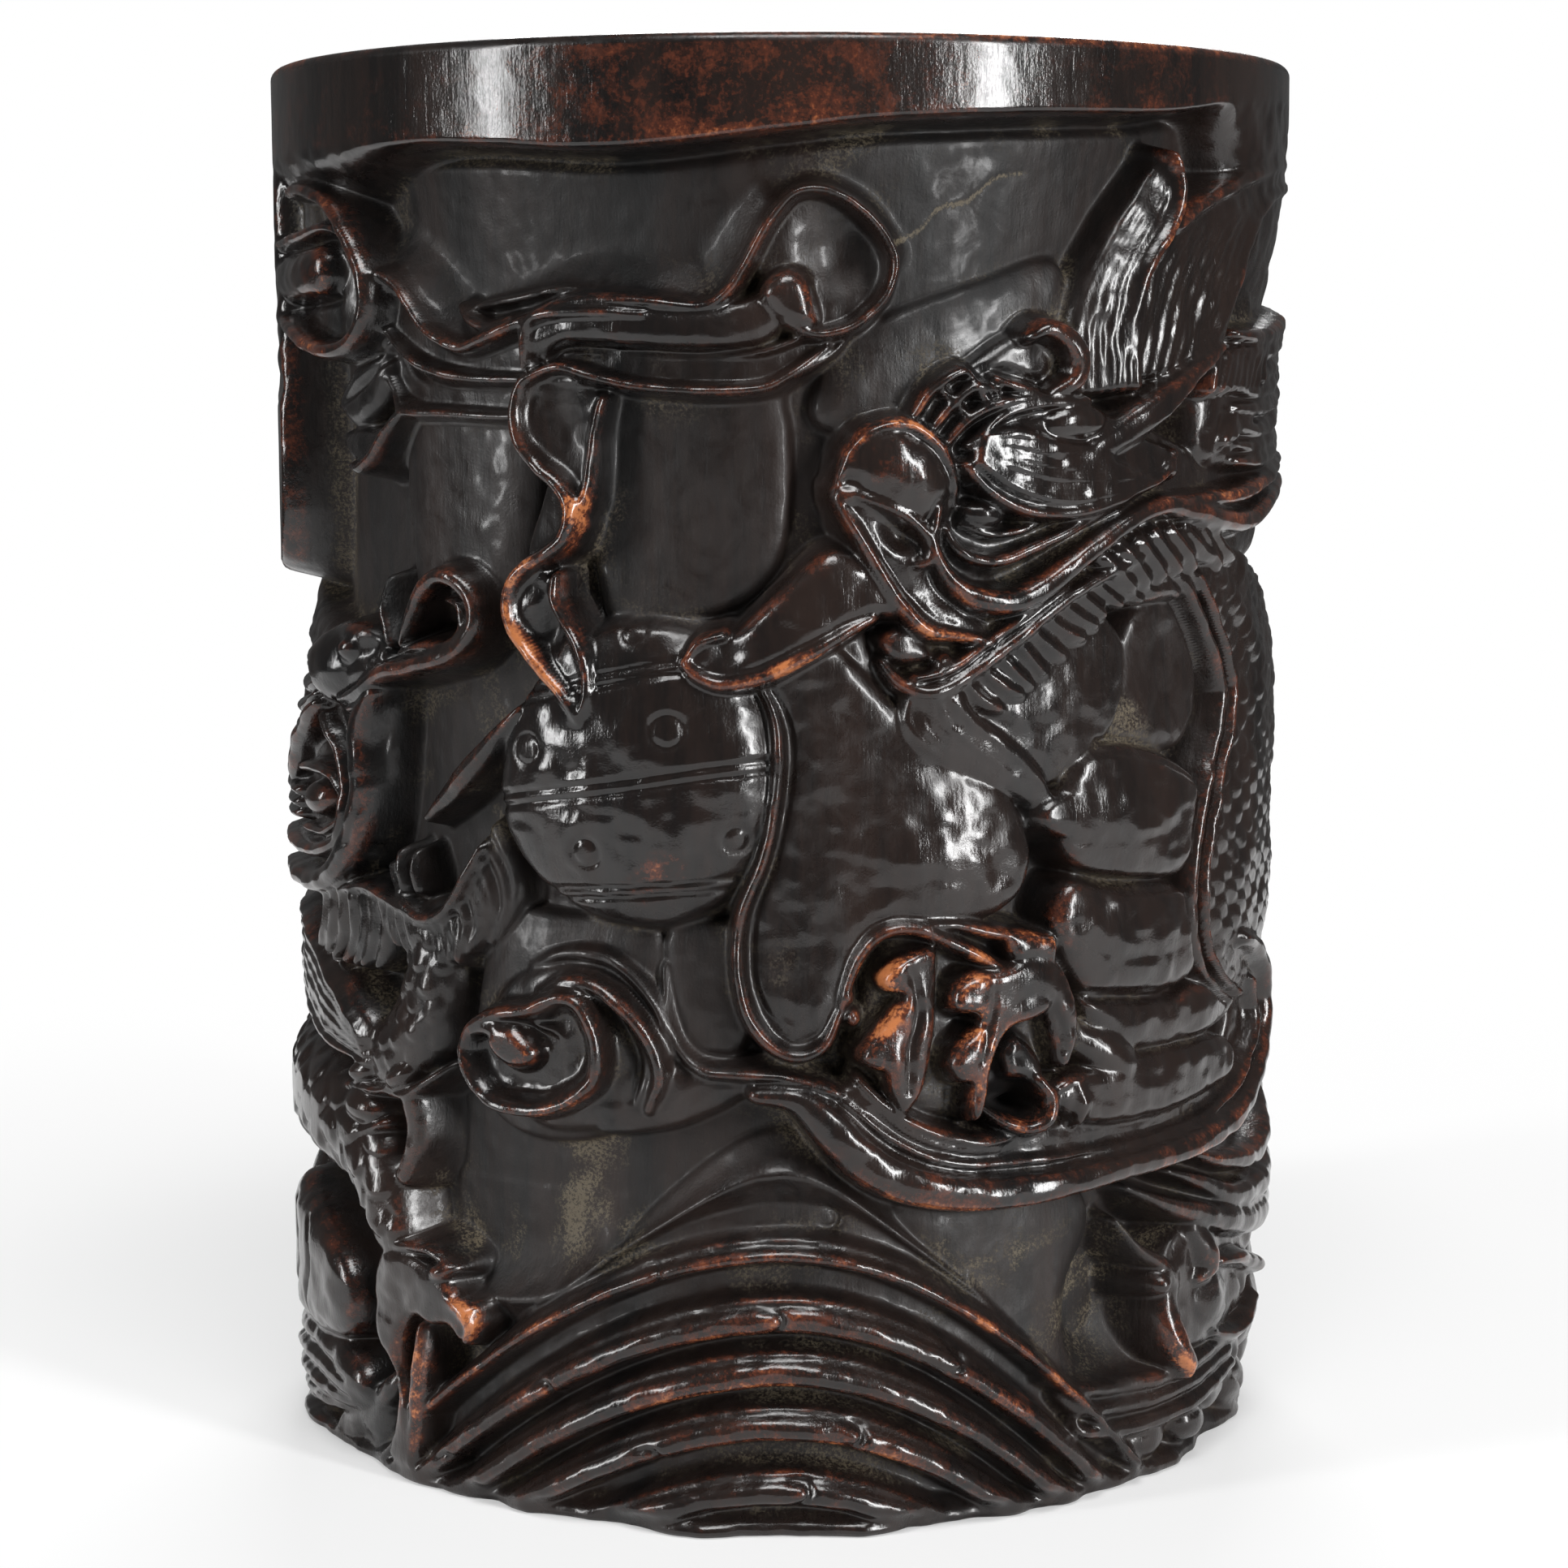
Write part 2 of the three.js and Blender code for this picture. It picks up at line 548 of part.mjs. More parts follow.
// The hidden claw of the large dragon at the right, half out of the water.
function lowClaw() {
  const shin = [[84, 40, 3, 0.97], [72, 34, 2.6, 0.95], [62, 29.5, 1.8, 0.85], [48, 33.5, 0.8, 0.5]];
  const toe = [[78, 32, 2.2, 0.95], [66, 27, 2, 0.95], [57, 23.6, 1.6, 0.92], [55, 25, 0.5, 0.85]];
  const claw = [
    [70, 24, 3, 0.8], [61, 20, 4, 0.85], [54, 19, 3, 0.9], [51.5, 13, 1.3, 0.93],
    [51, 11, 0.5, 0.9],
  ];
  return [
    ...[shin, toe, claw].map((rows) => stroke(rows)),
    boss([49, 22.6], 2.2, 1.8, 0.85, BEAD, 8),
  ];
}

// The plain block of the blank that is left standing beside the left scroll.
function leftBlock() {
  const outline = [
    [-100, 104], [-84, 102], [-75, 106], [-74, 120], [-76, 149], [-90, 154], [-108, 149],
    [-108, 120],
  ];
  return [pad(outline, CEILING, SLAB)];
}

// The back of the pot, in the same manner as the front.
function back() {
  const tail = [
    [98, 80, 11, 0.97], [116, 96, 10, 0.94], [138, 96, 9, 0.9], [158, 80, 8, 0.9],
    [180, 65, 6.5, 0.88], [202, 74, 4.6, 0.84], [205, 92, 1.8, 0.8], [196, 98, 0.4, 0.7],
  ];
  const smallBody = [
    [264, 80, 9, 0.95], [248, 95, 8, 0.92], [226, 109, 6.5, 0.9], [204, 110, 5, 0.86],
    [190, 121, 2.8, 0.8], [187, 132, 0.5, 0.7],
  ];
  const upperBand = [[100, 138, 2.4, 0.85], [120, 130, 3, 0.8], [144, 129, 3, 0.85], [158, 136, 2.4, 0.8]];
  const lowerBand = [[104, 46, 2.6, 0.85], [122, 42, 3, 0.85], [142, 48, 2.8, 0.85], [160, 52, 1.6, 0.75]];
  const farBand = [[214, 134, 2, 0.8], [228, 128, 2.8, 0.8], [250, 132, 2.4, 0.85]];
  return [
    ...[tail, smallBody, upperBand, lowerBand, farBand].map((rows) => stroke(rows)),
    ...scroll([162, 138], 7, 0.85),
    ...scroll([212, 139], 6.5, 0.85),
    ...waves(180, 3, 0.8, 0.8),
    boss([118, 12], 12, 9, 0.85, CUSHION),
    boss([242, 12], 12, 9, 0.85, CUSHION),
  ];
}

function carvedBody() {
  const motifs = [
    ...waves(0, 6, 0.85, 1.15), ...upperCloud(), ...lowerCloud(), ...leftBlock(), ...body(),
    ...lobes(), ...ball(), ...ribbon(), ...head(), ...mane(), ...beard(), ...foot([20, 54]),
    ...smallDragon(), ...rocks(), ...lowClaw(), ...back(),
  ];
  const carved = motifs.reduce((sum, motif) => sum.add(motif), wall());
  const cut = hoopCuts().reduce((sum, hoop) => sum.subtract(hoop), carved);
  return cut.intersect(boredBlank());
}

function turned(profile, steps) {
  const points = profile.map(([r, z]) => new THREE.Vector2(r, z));
  return new THREE.LatheGeometry(points, steps).rotateX(Math.PI / 2);
}

function floorBoard() {
  const radius = BOARD_SEAT_RADIUS - GLUE_GAP;
  const top = FLOOR - GLUE_GAP;
  const profile = [
    [PLUG_RADIUS_BELOW, FOOT_RECESS],
    [radius, FOOT_RECESS],
    [radius, top],
    [PLUG_RADIUS_ABOVE, top],
    [PLUG_RADIUS_BELOW, FOOT_RECESS],
  ];
  return turned(profile, TURN_STEPS);
}

function floorPlug() {
  const top = FLOOR - GLUE_GAP;
  const profile = [
    [0, FOOT_RECESS],
    [PLUG_RADIUS_BELOW - GLUE_GAP, FOOT_RECESS],
    [PLUG_RADIUS_ABOVE - GLUE_GAP, top],
    [0, top],
  ];
  return turned(profile, TURN_STEPS / 2);
}

const wood = (color, roughness) => new THREE.MeshStandardMaterial({ color, roughness, metalness: 0 });

function piece(name, geometry, material) {
  const mesh = new THREE.Mesh(geometry, material);
  mesh.name = name;
  return mesh;
}

const brushPot = new THREE.Group();
brushPot.name = "brush_pot";
brushPot.add(
  piece("carved_body", geometryOf(carvedBody()), wood(0x2a1a14, 0.38)),
  piece("floor_board", floorBoard(), wood(0x3a241a, 0.6)),
  piece("floor_plug", floorPlug(), wood(0x4a2d1e, 0.6)),
);

export default brushPot;
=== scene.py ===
"""Carved wooden brush pot: the finish of the carved body, its floor board and the plug in it.

Run inside Blender. The carving is worked as a relief: a height over the ground at every angle
and height of the pot, built up stroke by stroke as a carver would leave it standing. Every
motif's tables give places as degrees to the right of the front and mm up from the foot.
"""

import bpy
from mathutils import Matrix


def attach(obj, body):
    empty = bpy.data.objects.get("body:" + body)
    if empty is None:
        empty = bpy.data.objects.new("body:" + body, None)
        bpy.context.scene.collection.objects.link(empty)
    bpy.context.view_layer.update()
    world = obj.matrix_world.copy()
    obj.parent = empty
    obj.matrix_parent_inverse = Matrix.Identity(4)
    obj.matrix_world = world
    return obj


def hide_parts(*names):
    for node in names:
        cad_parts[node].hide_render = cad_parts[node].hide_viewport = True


bl_info = {
    "name": "Carved Brush Pot",
    "version": (1, 0, 0),
    "blender": (4, 5, 0),
    "location": "View3D > Sidebar > Brush Pot",
    "description": "Builds a carved hardwood brush pot and a plain studio round it",
    "category": "Object",
}

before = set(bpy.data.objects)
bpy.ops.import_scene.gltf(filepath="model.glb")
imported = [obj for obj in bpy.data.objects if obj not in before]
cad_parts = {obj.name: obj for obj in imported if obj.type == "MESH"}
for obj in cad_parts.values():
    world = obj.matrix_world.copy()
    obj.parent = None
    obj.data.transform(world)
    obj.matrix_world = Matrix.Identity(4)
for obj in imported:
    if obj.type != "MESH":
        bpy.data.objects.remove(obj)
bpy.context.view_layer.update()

import math

import bpy
import numpy as np
from mathutils import Euler, Vector

MM = 0.001

# Sizes that the solids have too, in metres; they are the defaults of the panel's fields
HEIGHT = 0.160
RIM_RADIUS = 0.060
RIM_EDGE = 0.0012
CARVING_DEPTH = 0.0085
FOOT_SPREAD = 0.0025
FOOT_SPREAD_HEIGHT = 0.016
BORE_RADIUS = 0.046
SEAT_RADIUS = 0.0484
FLOOR = 0.012
FOOT_RECESS = 0.003
GLUE_GAP = 0.0003
PLUG_RADIUS_BELOW = 0.011
PLUG_RADIUS_ABOVE = 0.0095

FIRST_COLUMN = -100.0  # degrees; the grid's seam lies at the left side of the pot
CLIFF = 5.0  # how steeply a motif falls to the ground, in mm down for each mm out
BLEND = 0.3  # mm of fillet where two forms meet
TIGHT_BLEND = 0.15  # the same for domes and waves, which meet the face more sharply
EASING = 0.2  # mm by which the finished carving's edges are eased
FOOT_ROUND = 0.7  # mm; rounding of the foot's outer edge
BAND_FROM = 120  # mm; all of the rim band lies above this height
MARK_DEPTH = 0.00013  # m, of the finest tool marks
SEED = 7  # of the unevenness that hand tools leave

# Samples of the turned pieces round their axis
BOARD_COLUMNS = 256
PLUG_COLUMNS = 96

# Studio, in metres, degrees and watts: a light's azimuth, rise, distance, width, height and power
HALF_FLOOR = 0.32
BACKDROP = (0.88, 0.88, 0.88)
LIGHTS = {
    "right_light": (45, 12, 0.95, 0.10, 0.62, 7.6),
    "left_light": (-63, 16, 0.95, 0.10, 0.62, 4.6),
    "top_light": (8, 66, 1.05, 0.5, 0.36, 6.4),
    "back_light": (176, 34, 1.1, 0.5, 0.4, 6.0),
}
CAMERA_PLACE = (0.00036, -0.4165, 0.1285)
CAMERA_PITCH = -7.32
CAMERA_ROLL = 0.19
SENSOR_WIDTH = 36.0  # mm
FOCAL_LENGTH = 78.95  # mm


# Curves and fields

def spline(rows, per_span=8, closed=False):
    """Points of a Catmull-Rom curve through rows of numbers."""
    p = np.array([tuple(r) for r in rows], dtype=float)
    n = len(p)
    if closed:
        spans = n
        pick = lambda i: p[i % n]
    else:
        spans = n - 1
        pick = lambda i: p[min(max(i, 0), n - 1)]
    out = []
    for i in range(spans):
        a, b, c, d = pick(i - 1), pick(i), pick(i + 1), pick(i + 2)
        for t in np.arange(per_span) / per_span:
            out.append(0.5 * (2 * b + (c - a) * t + (2 * a - 5 * b + 4 * c - d) * t**2
                              + (3 * b - a - 3 * c + d) * t**3))
    if not closed:
        out.append(p[-1])
    return np.array(out)


def smoothstep(low, high, x):
    """Eased share, from 0 at low to 1 at high."""
    t = np.clip((x - low) / (high - low), 0, 1)
    return t * t * (3 - 2 * t)


def nearest(path, u, v, closed=False):
    """Signed distance to a path, and the place along it, for every sample of a grid."""
    count = len(path)
    best = np.full(u.shape, 1e9)
    side = np.zeros(u.shape)
    along = np.zeros(u.shape)
    for i in range(count if closed else count - 1):
        (ax, ay), (bx, by) = path[i][:2], path[(i + 1) % count][:2]
        dx, dy = bx - ax, by - ay
        length2 = dx * dx + dy * dy
        if length2 < 1e-9:
            continue
        pu, pv = u - ax, v - ay
        t = np.clip((pu * dx + pv * dy) / length2, 0, 1)
        eu, ev = pu - t * dx, pv - t * dy
        d2 = eu * eu + ev * ev
        closer = d2 < best
        best[closer] = d2[closer]
        side[closer] = np.sign(dx * ev - dy * eu)[closer]
        along[closer] = (i + t)[closer]
    return np.sqrt(best) * np.where(side == 0, 1, side), along


def inside(path, u, v):
    """True where a sample lies inside a closed path."""
    odd = np.zeros(u.shape, dtype=bool)
    for (ax, ay), (bx, by) in zip(path, np.roll(path, -1, axis=0)):
        if ay == by:
            continue
        crosses = (ay > v) != (by > v)
        odd ^= crosses & (u < (bx - ax) * (v - ay) / (by - ay) + ax)
    return odd


def depth_inside(path, u, v):
    """Distance in from a closed path, which is negative outside it."""
    d, _ = nearest(path, u, v, closed=True)
    return np.where(inside(path[:, :2], u, v), np.abs(d), -np.abs(d))


def blurred(field, spread_u, spread_v):
    """Gaussian blur in cells, round the pot and up it; the rows are mirrored at both ends."""
    rows, columns = field.shape
    tall = np.vstack([field, field[::-1]])
    fu = np.fft.rfftfreq(columns)[None, :]
    fv = np.fft.fftfreq(2 * rows)[:, None]
    pass_band = np.exp(-2 * math.pi**2 * ((spread_u * fu) ** 2 + (spread_v * fv) ** 2))
    return np.fft.irfft2(np.fft.rfft2(tall) * pass_band, s=tall.shape)[:rows]


def turned_offsets(du, dv, half_u, half_v, turn):
    """Offsets along the axes of a turned oval, as shares of its half sizes."""
    c, s = math.cos(math.radians(turn)), math.sin(math.radians(turn))
    return (du * c + dv * s) / half_u, (-du * s + dv * c) / half_v


def run_along(path):
    """Distance from a path's start to each of its points."""
    return np.concatenate([[0], np.cumsum(np.hypot(*np.diff(path[:, :2], axis=0).T))])


# Sections of a stroke: height in mm at q, from -1 at its right hand edge to 1 at its left hand edge,
# for a stroke of a given half width and crest height

def rounded(q, width, top):
    """A full round bead."""
    return top - 0.85 * width * (1 - np.sqrt(1 - 0.98 * q**2))


def crested(q, width, top):
    """A sharp ridge."""
    return top - 1.1 * width * np.abs(q) ** 0.9


def strand(q, width, top):
    """A low arched lock."""
    return top - 0.75 * width * q**2


def channel(q, width, top):
    """A hollow band with a thin lip along each edge."""
    return top * (0.74 + 0.26 * smoothstep(0.62, 0.9, np.abs(q)))


class Relief:
    """Height of the carved face over the ground, in mm, on a grid of angle and height."""

    def __init__(self, columns, rows, sizes):
        self.columns, self.rows = columns, rows
        self.depth = sizes.carving_depth / MM
        self.foot_spread = sizes.foot_spread / MM
        self.ground = (sizes.rim_radius - sizes.carving_depth) / MM
        self.top = (sizes.height - sizes.rim_edge) / MM
        self.u = FIRST_COLUMN + np.arange(columns) * 360.0 / columns
        self.v = np.linspace(0, self.top, rows)
        self.h = np.zeros((rows, columns))
        self.rubbed = np.zeros((rows, columns))
        self.dusted = np.zeros((rows, columns))

    def window(self, u0, u1, v0, v1):
        """Row and column numbers of a part of the grid, and the angle and height there."""
        step = 360.0 / self.columns
        first, last = (u0 - FIRST_COLUMN) / step, (u1 - FIRST_COLUMN) / step
        i = np.arange(math.floor(first), math.ceil(last) + 1)
        j = np.flatnonzero((self.v >= v0) & (self.v <= v1))
        u, v = np.meshgrid(FIRST_COLUMN + i * step, self.v[j])
        return np.ix_(j, i % self.columns), u, v

    def around(self, path, reach):
        """The part of the grid round a path."""
        return self.window(path[:, 0].min() - reach, path[:, 0].max() + reach,
                           path[:, 1].min() - reach, path[:, 1].max() + reach)

    def rise(self, where, height, blend=BLEND):
        """The higher of the face and a new form, with a small fillet between them."""
        old = self.h[where]
        k = np.clip(0.5 + 0.5 * (height - old) / blend, 0, 1)
        self.h[where] = old * (1 - k) + height * k + blend * k * (1 - k)

    def stroke(self, rows, form=rounded, flutes=0, flute=0.35, scales=0, cliff=CLIFF, per_span=8):
        """A form along a crest line: rows of angle, height, half width and share of the depth."""
        path = spline(rows, per_span)
        where, u, v = self.around(path, path[:, 2].max() + 2)
        d, along = nearest(path, u, v)
        place = np.arange(len(path))
        width = np.maximum(np.interp(along, place, path[:, 2]), 0.12)
        top = np.interp(along, place, path[:, 3]) * self.depth
        q = np.clip(d / width, -1, 1)
        height = np.maximum(form(q, width, top), 0.12 * top)
        if flutes:
            ease = smoothstep(0.3, 1.2, width)
            height -= flute * ease * (0.5 - 0.5 * np.cos(math.pi * flutes * (q + 1))) ** 0.7
        if scales:
            height += fish_scales(np.interp(along, place, run_along(path)), d, scales)
        height -= cliff * np.maximum(np.abs(d) - width, 0)
        self.rise(where, height)

    def pad(self, outline, height, shoulder=3.0, edge=0.55, lean=(0, 0), cliff=CLIFF, dish=None,
            power=2.0, per_span=8, blend=BLEND):
        """A form inside an outline, rising from its edge over the shoulder's width."""
        path = spline(outline, per_span, closed=True)
        where, u, v = self.around(path, 2)
        s = depth_inside(path, u, v)
        t = np.clip(s / shoulder, 0, 1)
        share = edge + (1 - edge) * (1 - (1 - t) ** power) ** (1 / power)
        if dish:
            share -= dish * smoothstep(0.5, 2.2, s)
        middle_u, middle_v = path[:, 0].mean(), path[:, 1].mean()
        top = height * self.depth + lean[0] * (u - middle_u) + lean[1] * (v - middle_v)
        self.rise(where, top * share + cliff * np.minimum(s, 0), blend)

    def boss(self, u0, v0, half_u, half_v, height, edge=0.5, turn=0.0, power=2.0):
        """A round or oval dome."""
        reach = max(half_u, half_v) + 2
        where, u, v = self.window(u0 - reach, u0 + reach, v0 - reach, v0 + reach)
        q = np.hypot(*turned_offsets(u - u0, v - v0, half_u, half_v, turn))
        dome = edge + (1 - edge) * np.maximum(1 - np.minimum(q, 1) ** power, 0) ** (1 / power)
        drop = CLIFF * min(half_u, half_v) * np.maximum(q - 1, 0)
        self.rise(where, height * self.depth * dome - drop, blend=TIGHT_BLEND)

    def flare(self, rows, reach, side=0):
        """The ground swept up in a hollow curve to a line: rows of angle, height and share of the depth."""
        path = spline(rows, 8)
        where, u, v = self.around(path, reach)
        d, along = nearest(path, u, v)
        top = np.interp(along, np.arange(len(path)), path[:, 2]) * self.depth
        t = np.clip(np.abs(d) / reach, 0, 1)
        height = top * (1 - t) ** 2
        self.rise(where, np.where(d * side < 0, 0, height), blend=0.6)

    def groove(self, rows, sharp=1.0, per_span=6):
        """An incised line: rows of angle, height, half width and depth in mm."""
        path = spline(rows, per_span)
        where, u, v = self.around(path, path[:, 2].max() * 2.5 + 0.5)
        d, along = nearest(path, u, v)
        place = np.arange(len(path))
        width = np.maximum(np.interp(along, place, path[:, 2]), 0.1)
        deep = np.interp(along, place, path[:, 3])
        self.h[where] -= deep * np.exp(-((np.abs(d) / width) ** (2 * sharp)))

    def sink(self, u0, v0, half_u, half_v, deep, turn=0.0):
        """A soft hollow."""
        reach = 2.5 * max(half_u, half_v)
        where, u, v = self.window(u0 - reach, u0 + reach, v0 - reach, v0 + reach)
        a, b = turned_offsets(u - u0, v - v0, half_u, half_v, turn)
        self.h[where] = np.maximum(self.h[where] - deep * np.exp(-(a * a + b * b)), -2.5)

    def comb(self, first, last, count, heights, form=strand, tip=0.0, fill=0.62):
        """Locks of hair side by side, led from one edge line to another; rows of angle and height."""
        a, b = spline(first, 4), spline(last, 4)
        n = min(len(a), len(b))
        a = a[np.linspace(0, len(a) - 1, n).astype(int)]
        b = b[np.linspace(0, len(b) - 1, n).astype(int)]
        gap = np.hypot(b[:, 0] - a[:, 0], b[:, 1] - a[:, 1]) / max(count - 1, 1)
        for i in range(count):
            share = i / max(count - 1, 1)
            line = a * (1 - share) + b * share
            top = heights[0] * (1 - share) + heights[1] * share
            steps = np.linspace(0, 1, n)
            taper = 1 - steps**3
            sway = 0.22 * math.sin(5.3 * i + line[0, 0])
            rows = [(line[k, 0] + sway * gap[k], line[k, 1],
                     max(fill * gap[k] * (0.25 + 0.75 * taper[k]), 0.22),
                     top + tip * steps[k] + 0.02 * math.sin(3.1 * i)) for k in range(n)]
            self.stroke(rows, form, per_span=3)

    def scroll(self, u0, v0, radius, height, curl, turn=1.0, dish=0.3):
        """A cloud's rolled end: a thin line that winds in to a small knob, over a hollow dish."""
        self.boss(u0, v0, radius, radius, height - 0.12, edge=0.9)
        self.sink(u0 + 0.15 * radius, v0 + 0.15 * radius, 0.62 * radius, 0.62 * radius, dish * radius)
        angles = np.linspace(0, 1.7 * math.pi, 15)
        rows = [(u0 + radius * (0.96 - 0.04 * a) * math.cos(curl + turn * a),
                 v0 + radius * (0.96 - 0.04 * a) * math.sin(curl + turn * a), 0.5, height) for a in angles]
        self.stroke(rows, crested)
        self.boss(u0 - 0.3 * radius, v0 - 0.35 * radius, 0.36 * radius, 0.36 * radius, height, edge=0.6)

    def rub(self, u0, v0, reach_u, reach_v, amount=1.0):
        """A place worn by hands."""
        far_u, far_v = 2.5 * reach_u, 2.5 * reach_v
        where, u, v = self.window(u0 - far_u, u0 + far_u, v0 - far_v, v0 + far_v)
        self.rubbed[where] += amount * np.exp(-(((u - u0) / reach_u) ** 2) - ((v - v0) / reach_v) ** 2)


def fish_scales(along, across, size):
    """Overlapping scales on a body: each is a low plate that its neighbour in front covers."""
    height = np.full(along.shape, -0.3 * size)
    pitch, half = size * 0.75, size
    row = np.floor(along / pitch)
    for back in range(3):
        r = row - back + 1
        shift = np.where(np.mod(r, 2) == 0, 0.0, 0.5) * half
        cell = np.round((across - shift) / half)
        du = across - (cell * half + shift)
        dv = along - r * pitch
        d = np.hypot(du / (0.56 * half), dv / (1.25 * pitch))
        plate = 0.16 * size * (dv / pitch) + 0.12 * size * (1 - d)
        height = np.where((d < 1) & (plate > height), plate, height)
    return np.clip(height, -0.3 * size, 0.3 * size)


# The carving, sub-part by sub-part. Places are degrees to the right of the front and mm up.

def band_edge(u):
    """Lower edge of the rim band, which climbs towards the right side."""
    rows = [(-100, 150), (-88, 150), (-40, 149.8), (-18, 148.7), (0, 150.3), (10, 151.4), (25, 152.2),
        (45, 153.1), (60, 155), (80, 155.8), (110, 154.5), (140, 151.5), (180, 150), (260, 150)]
    points = spline(rows)
    return np.interp(u, points[:, 0], points[:, 1])


def carve_ground(r):
    """The wall between the motifs, with the cove under the rim band."""
    u, v = np.meshgrid(r.u, r.v)
    foot = r.foot_spread * np.clip(1 - v * MM / FOOT_SPREAD_HEIGHT, 0, 1)
    slow = 0.5 * np.sin(np.radians(u * 7) + v * 0.09) + 0.4 * np.sin(np.radians(u * 11) - v * 0.13 + 2)
    below = band_edge(u) - v
    left = smoothstep(-38, -62, u) * smoothstep(-112, -100, u)
    right = smoothstep(52, 74, u) * smoothstep(114, 98, u)
    soft = 1.5 + 8.5 * left + 54 * right
    lip = r.depth * (1 - smoothstep(0, soft, below))
    bowl = 2.6 * np.exp(-below / 10) * smoothstep(0.5, 3, below)
    r.h = np.where(below > 0, np.maximum(foot + slow * 0.4 + bowl, lip), r.depth)


def carve_low_clouds(r):
    """Broad smooth lobes of cloud that lie low between the motifs."""
    r.pad([(-50, 122), (-50, 104), (-45, 98), (-34, 100), (-29.5, 108), (-29, 121), (-38, 126)], 0.36,
        shoulder=6, edge=0.35)
    r.pad([(-21, 124), (-21, 100), (-12, 99), (-3, 102), (0.6, 108), (1.2, 116), (0.6, 121.4),
        (-2, 124.4)], 0.26, shoulder=2.5, edge=0.55)
    r.pad([(3.4, 122), (7, 129), (14, 132), (24, 135), (34, 137), (36, 128), (30, 121), (16, 119),
        (6, 119)], 0.34, shoulder=5, edge=0.35)
    r.pad([(-36, 66), (-26, 67), (-15, 66), (-13.4, 60), (-12, 54), (-14, 47), (-24, 42), (-36, 43),
        (-40, 52)], 0.34, shoulder=6, edge=0.4)
    r.pad([(-13.4, 65.6), (-5.6, 66.6), (-5.4, 60), (-4, 55), (-6, 52), (-11, 52.4), (-13, 57)], 0.3,
        shoulder=2.5, edge=0.6)
    r.pad([(14, 36), (36, 36), (42, 28), (38, 17), (44, 10), (36, 8), (24, 19), (15, 30)], 0.24,
        shoulder=6, edge=0.35)
    r.flare([(-21, 29, 0.4), (-26, 25.4, 0.42), (-31, 23.6, 0.42), (-38, 22.8, 0.4)], 7)
    r.flare([(22, 26.6, 0.3), (28, 19, 0.34), (34, 13.8, 0.4), (44, 11.4, 0.42), (52, 11, 0.42)], 6)


STRAPS = (31.2, 24.1, 18.2, 12.2, 5.0)


def carve_waves(r, middle=0.0, first=0, left=1.1, right=1.3):
    """Breaking waves: nested straps of water, each with a thin lip over it and a deep groove under it."""
    level, share = [-60.0, 1.4, 2.8, 3.6], [0.48, 0.46, 0.44, 0.56]
    for i, middle_z in reversed(list(enumerate(STRAPS))):
        width = 1.4 if i else 0.8
        top = 0.84 - 0.03 * (4 - i)
        level += [middle_z - width, middle_z - 0.5 * width, middle_z, middle_z + 0.6 * width,
            middle_z + width, middle_z + width + 0.35, middle_z + width + 0.75, middle_z + width + 1.2,
            middle_z + width + 1.9]
        share += [top - 0.1, top - 0.02, top, top - 0.03, top - 0.12, top - 0.22, top - 0.14, 0.4, 0.27]
        if i:
            above = STRAPS[i - 1] - (1.4 if i > 1 else 0.8)
            level += [above - 0.9, above - 0.35]
            share += [0.25, 0.4]
    level += [36.2, 38.2, 39.7, 40.6, 42.0, 44.0, 60.0]
    share += [0.24, 0.38, 0.5, 0.42, 0.25, 0.1, -2.0]
    fall = 0.0 if not first else STRAPS[0] - STRAPS[first]
    where, u, v = r.window(middle - 66, middle + 58, 0, 46 - fall)
    x = np.abs(u - middle) * np.where(u < middle, left, right)
    at = v + fall
    z = at.copy()
    for _ in range(6):
        bend = np.clip(14 + 4.6 * (39.7 - z), 12, 45)
        z = at + np.hypot(bend, x) - bend
    height = r.depth * np.interp(z, level, share)
    r.rise(where, np.where(z > 44, -9, height), blend=TIGHT_BLEND)


def notch(r, u, v, turn):
    """The small cut across a strap of water where one roll ends over the next."""
    a = math.radians(turn)
    du, dv = math.cos(a), math.sin(a)
    arc = [(u - 1.2 * du - 1.1 * dv, v - 1.2 * dv + 1.1 * du, 0.22, 0.5),
        (u + 0.4 * du - 0.9 * dv, v + 0.4 * dv + 0.9 * du, 0.26, 0.9),
        (u + 1.0 * du, v + 1.0 * dv, 0.28, 1.0),
        (u + 0.3 * du + 1.0 * dv, v + 0.3 * dv - 1.0 * du, 0.26, 0.8),
        (u - 0.8 * du + 1.2 * dv, v - 0.8 * dv - 1.2 * du, 0.2, 0.3)]
    r.groove(arc)


def carve_water(r):
    """The waves at the front, with a small notch wherever a roll ends."""
    carve_waves(r)
    for u, v, turn in [(-14.6, 28.6, 28), (-1, 24.1, 0), (-27.6, 14.4, 38), (5.4, 34.4, -25),
            (19, 18.6, -38), (-14.6, 8.6, 24), (7.4, 11.4, -14), (1.8, 5.2, 0), (-41.4, 3.8, 40)]:
        notch(r, u, v, turn)


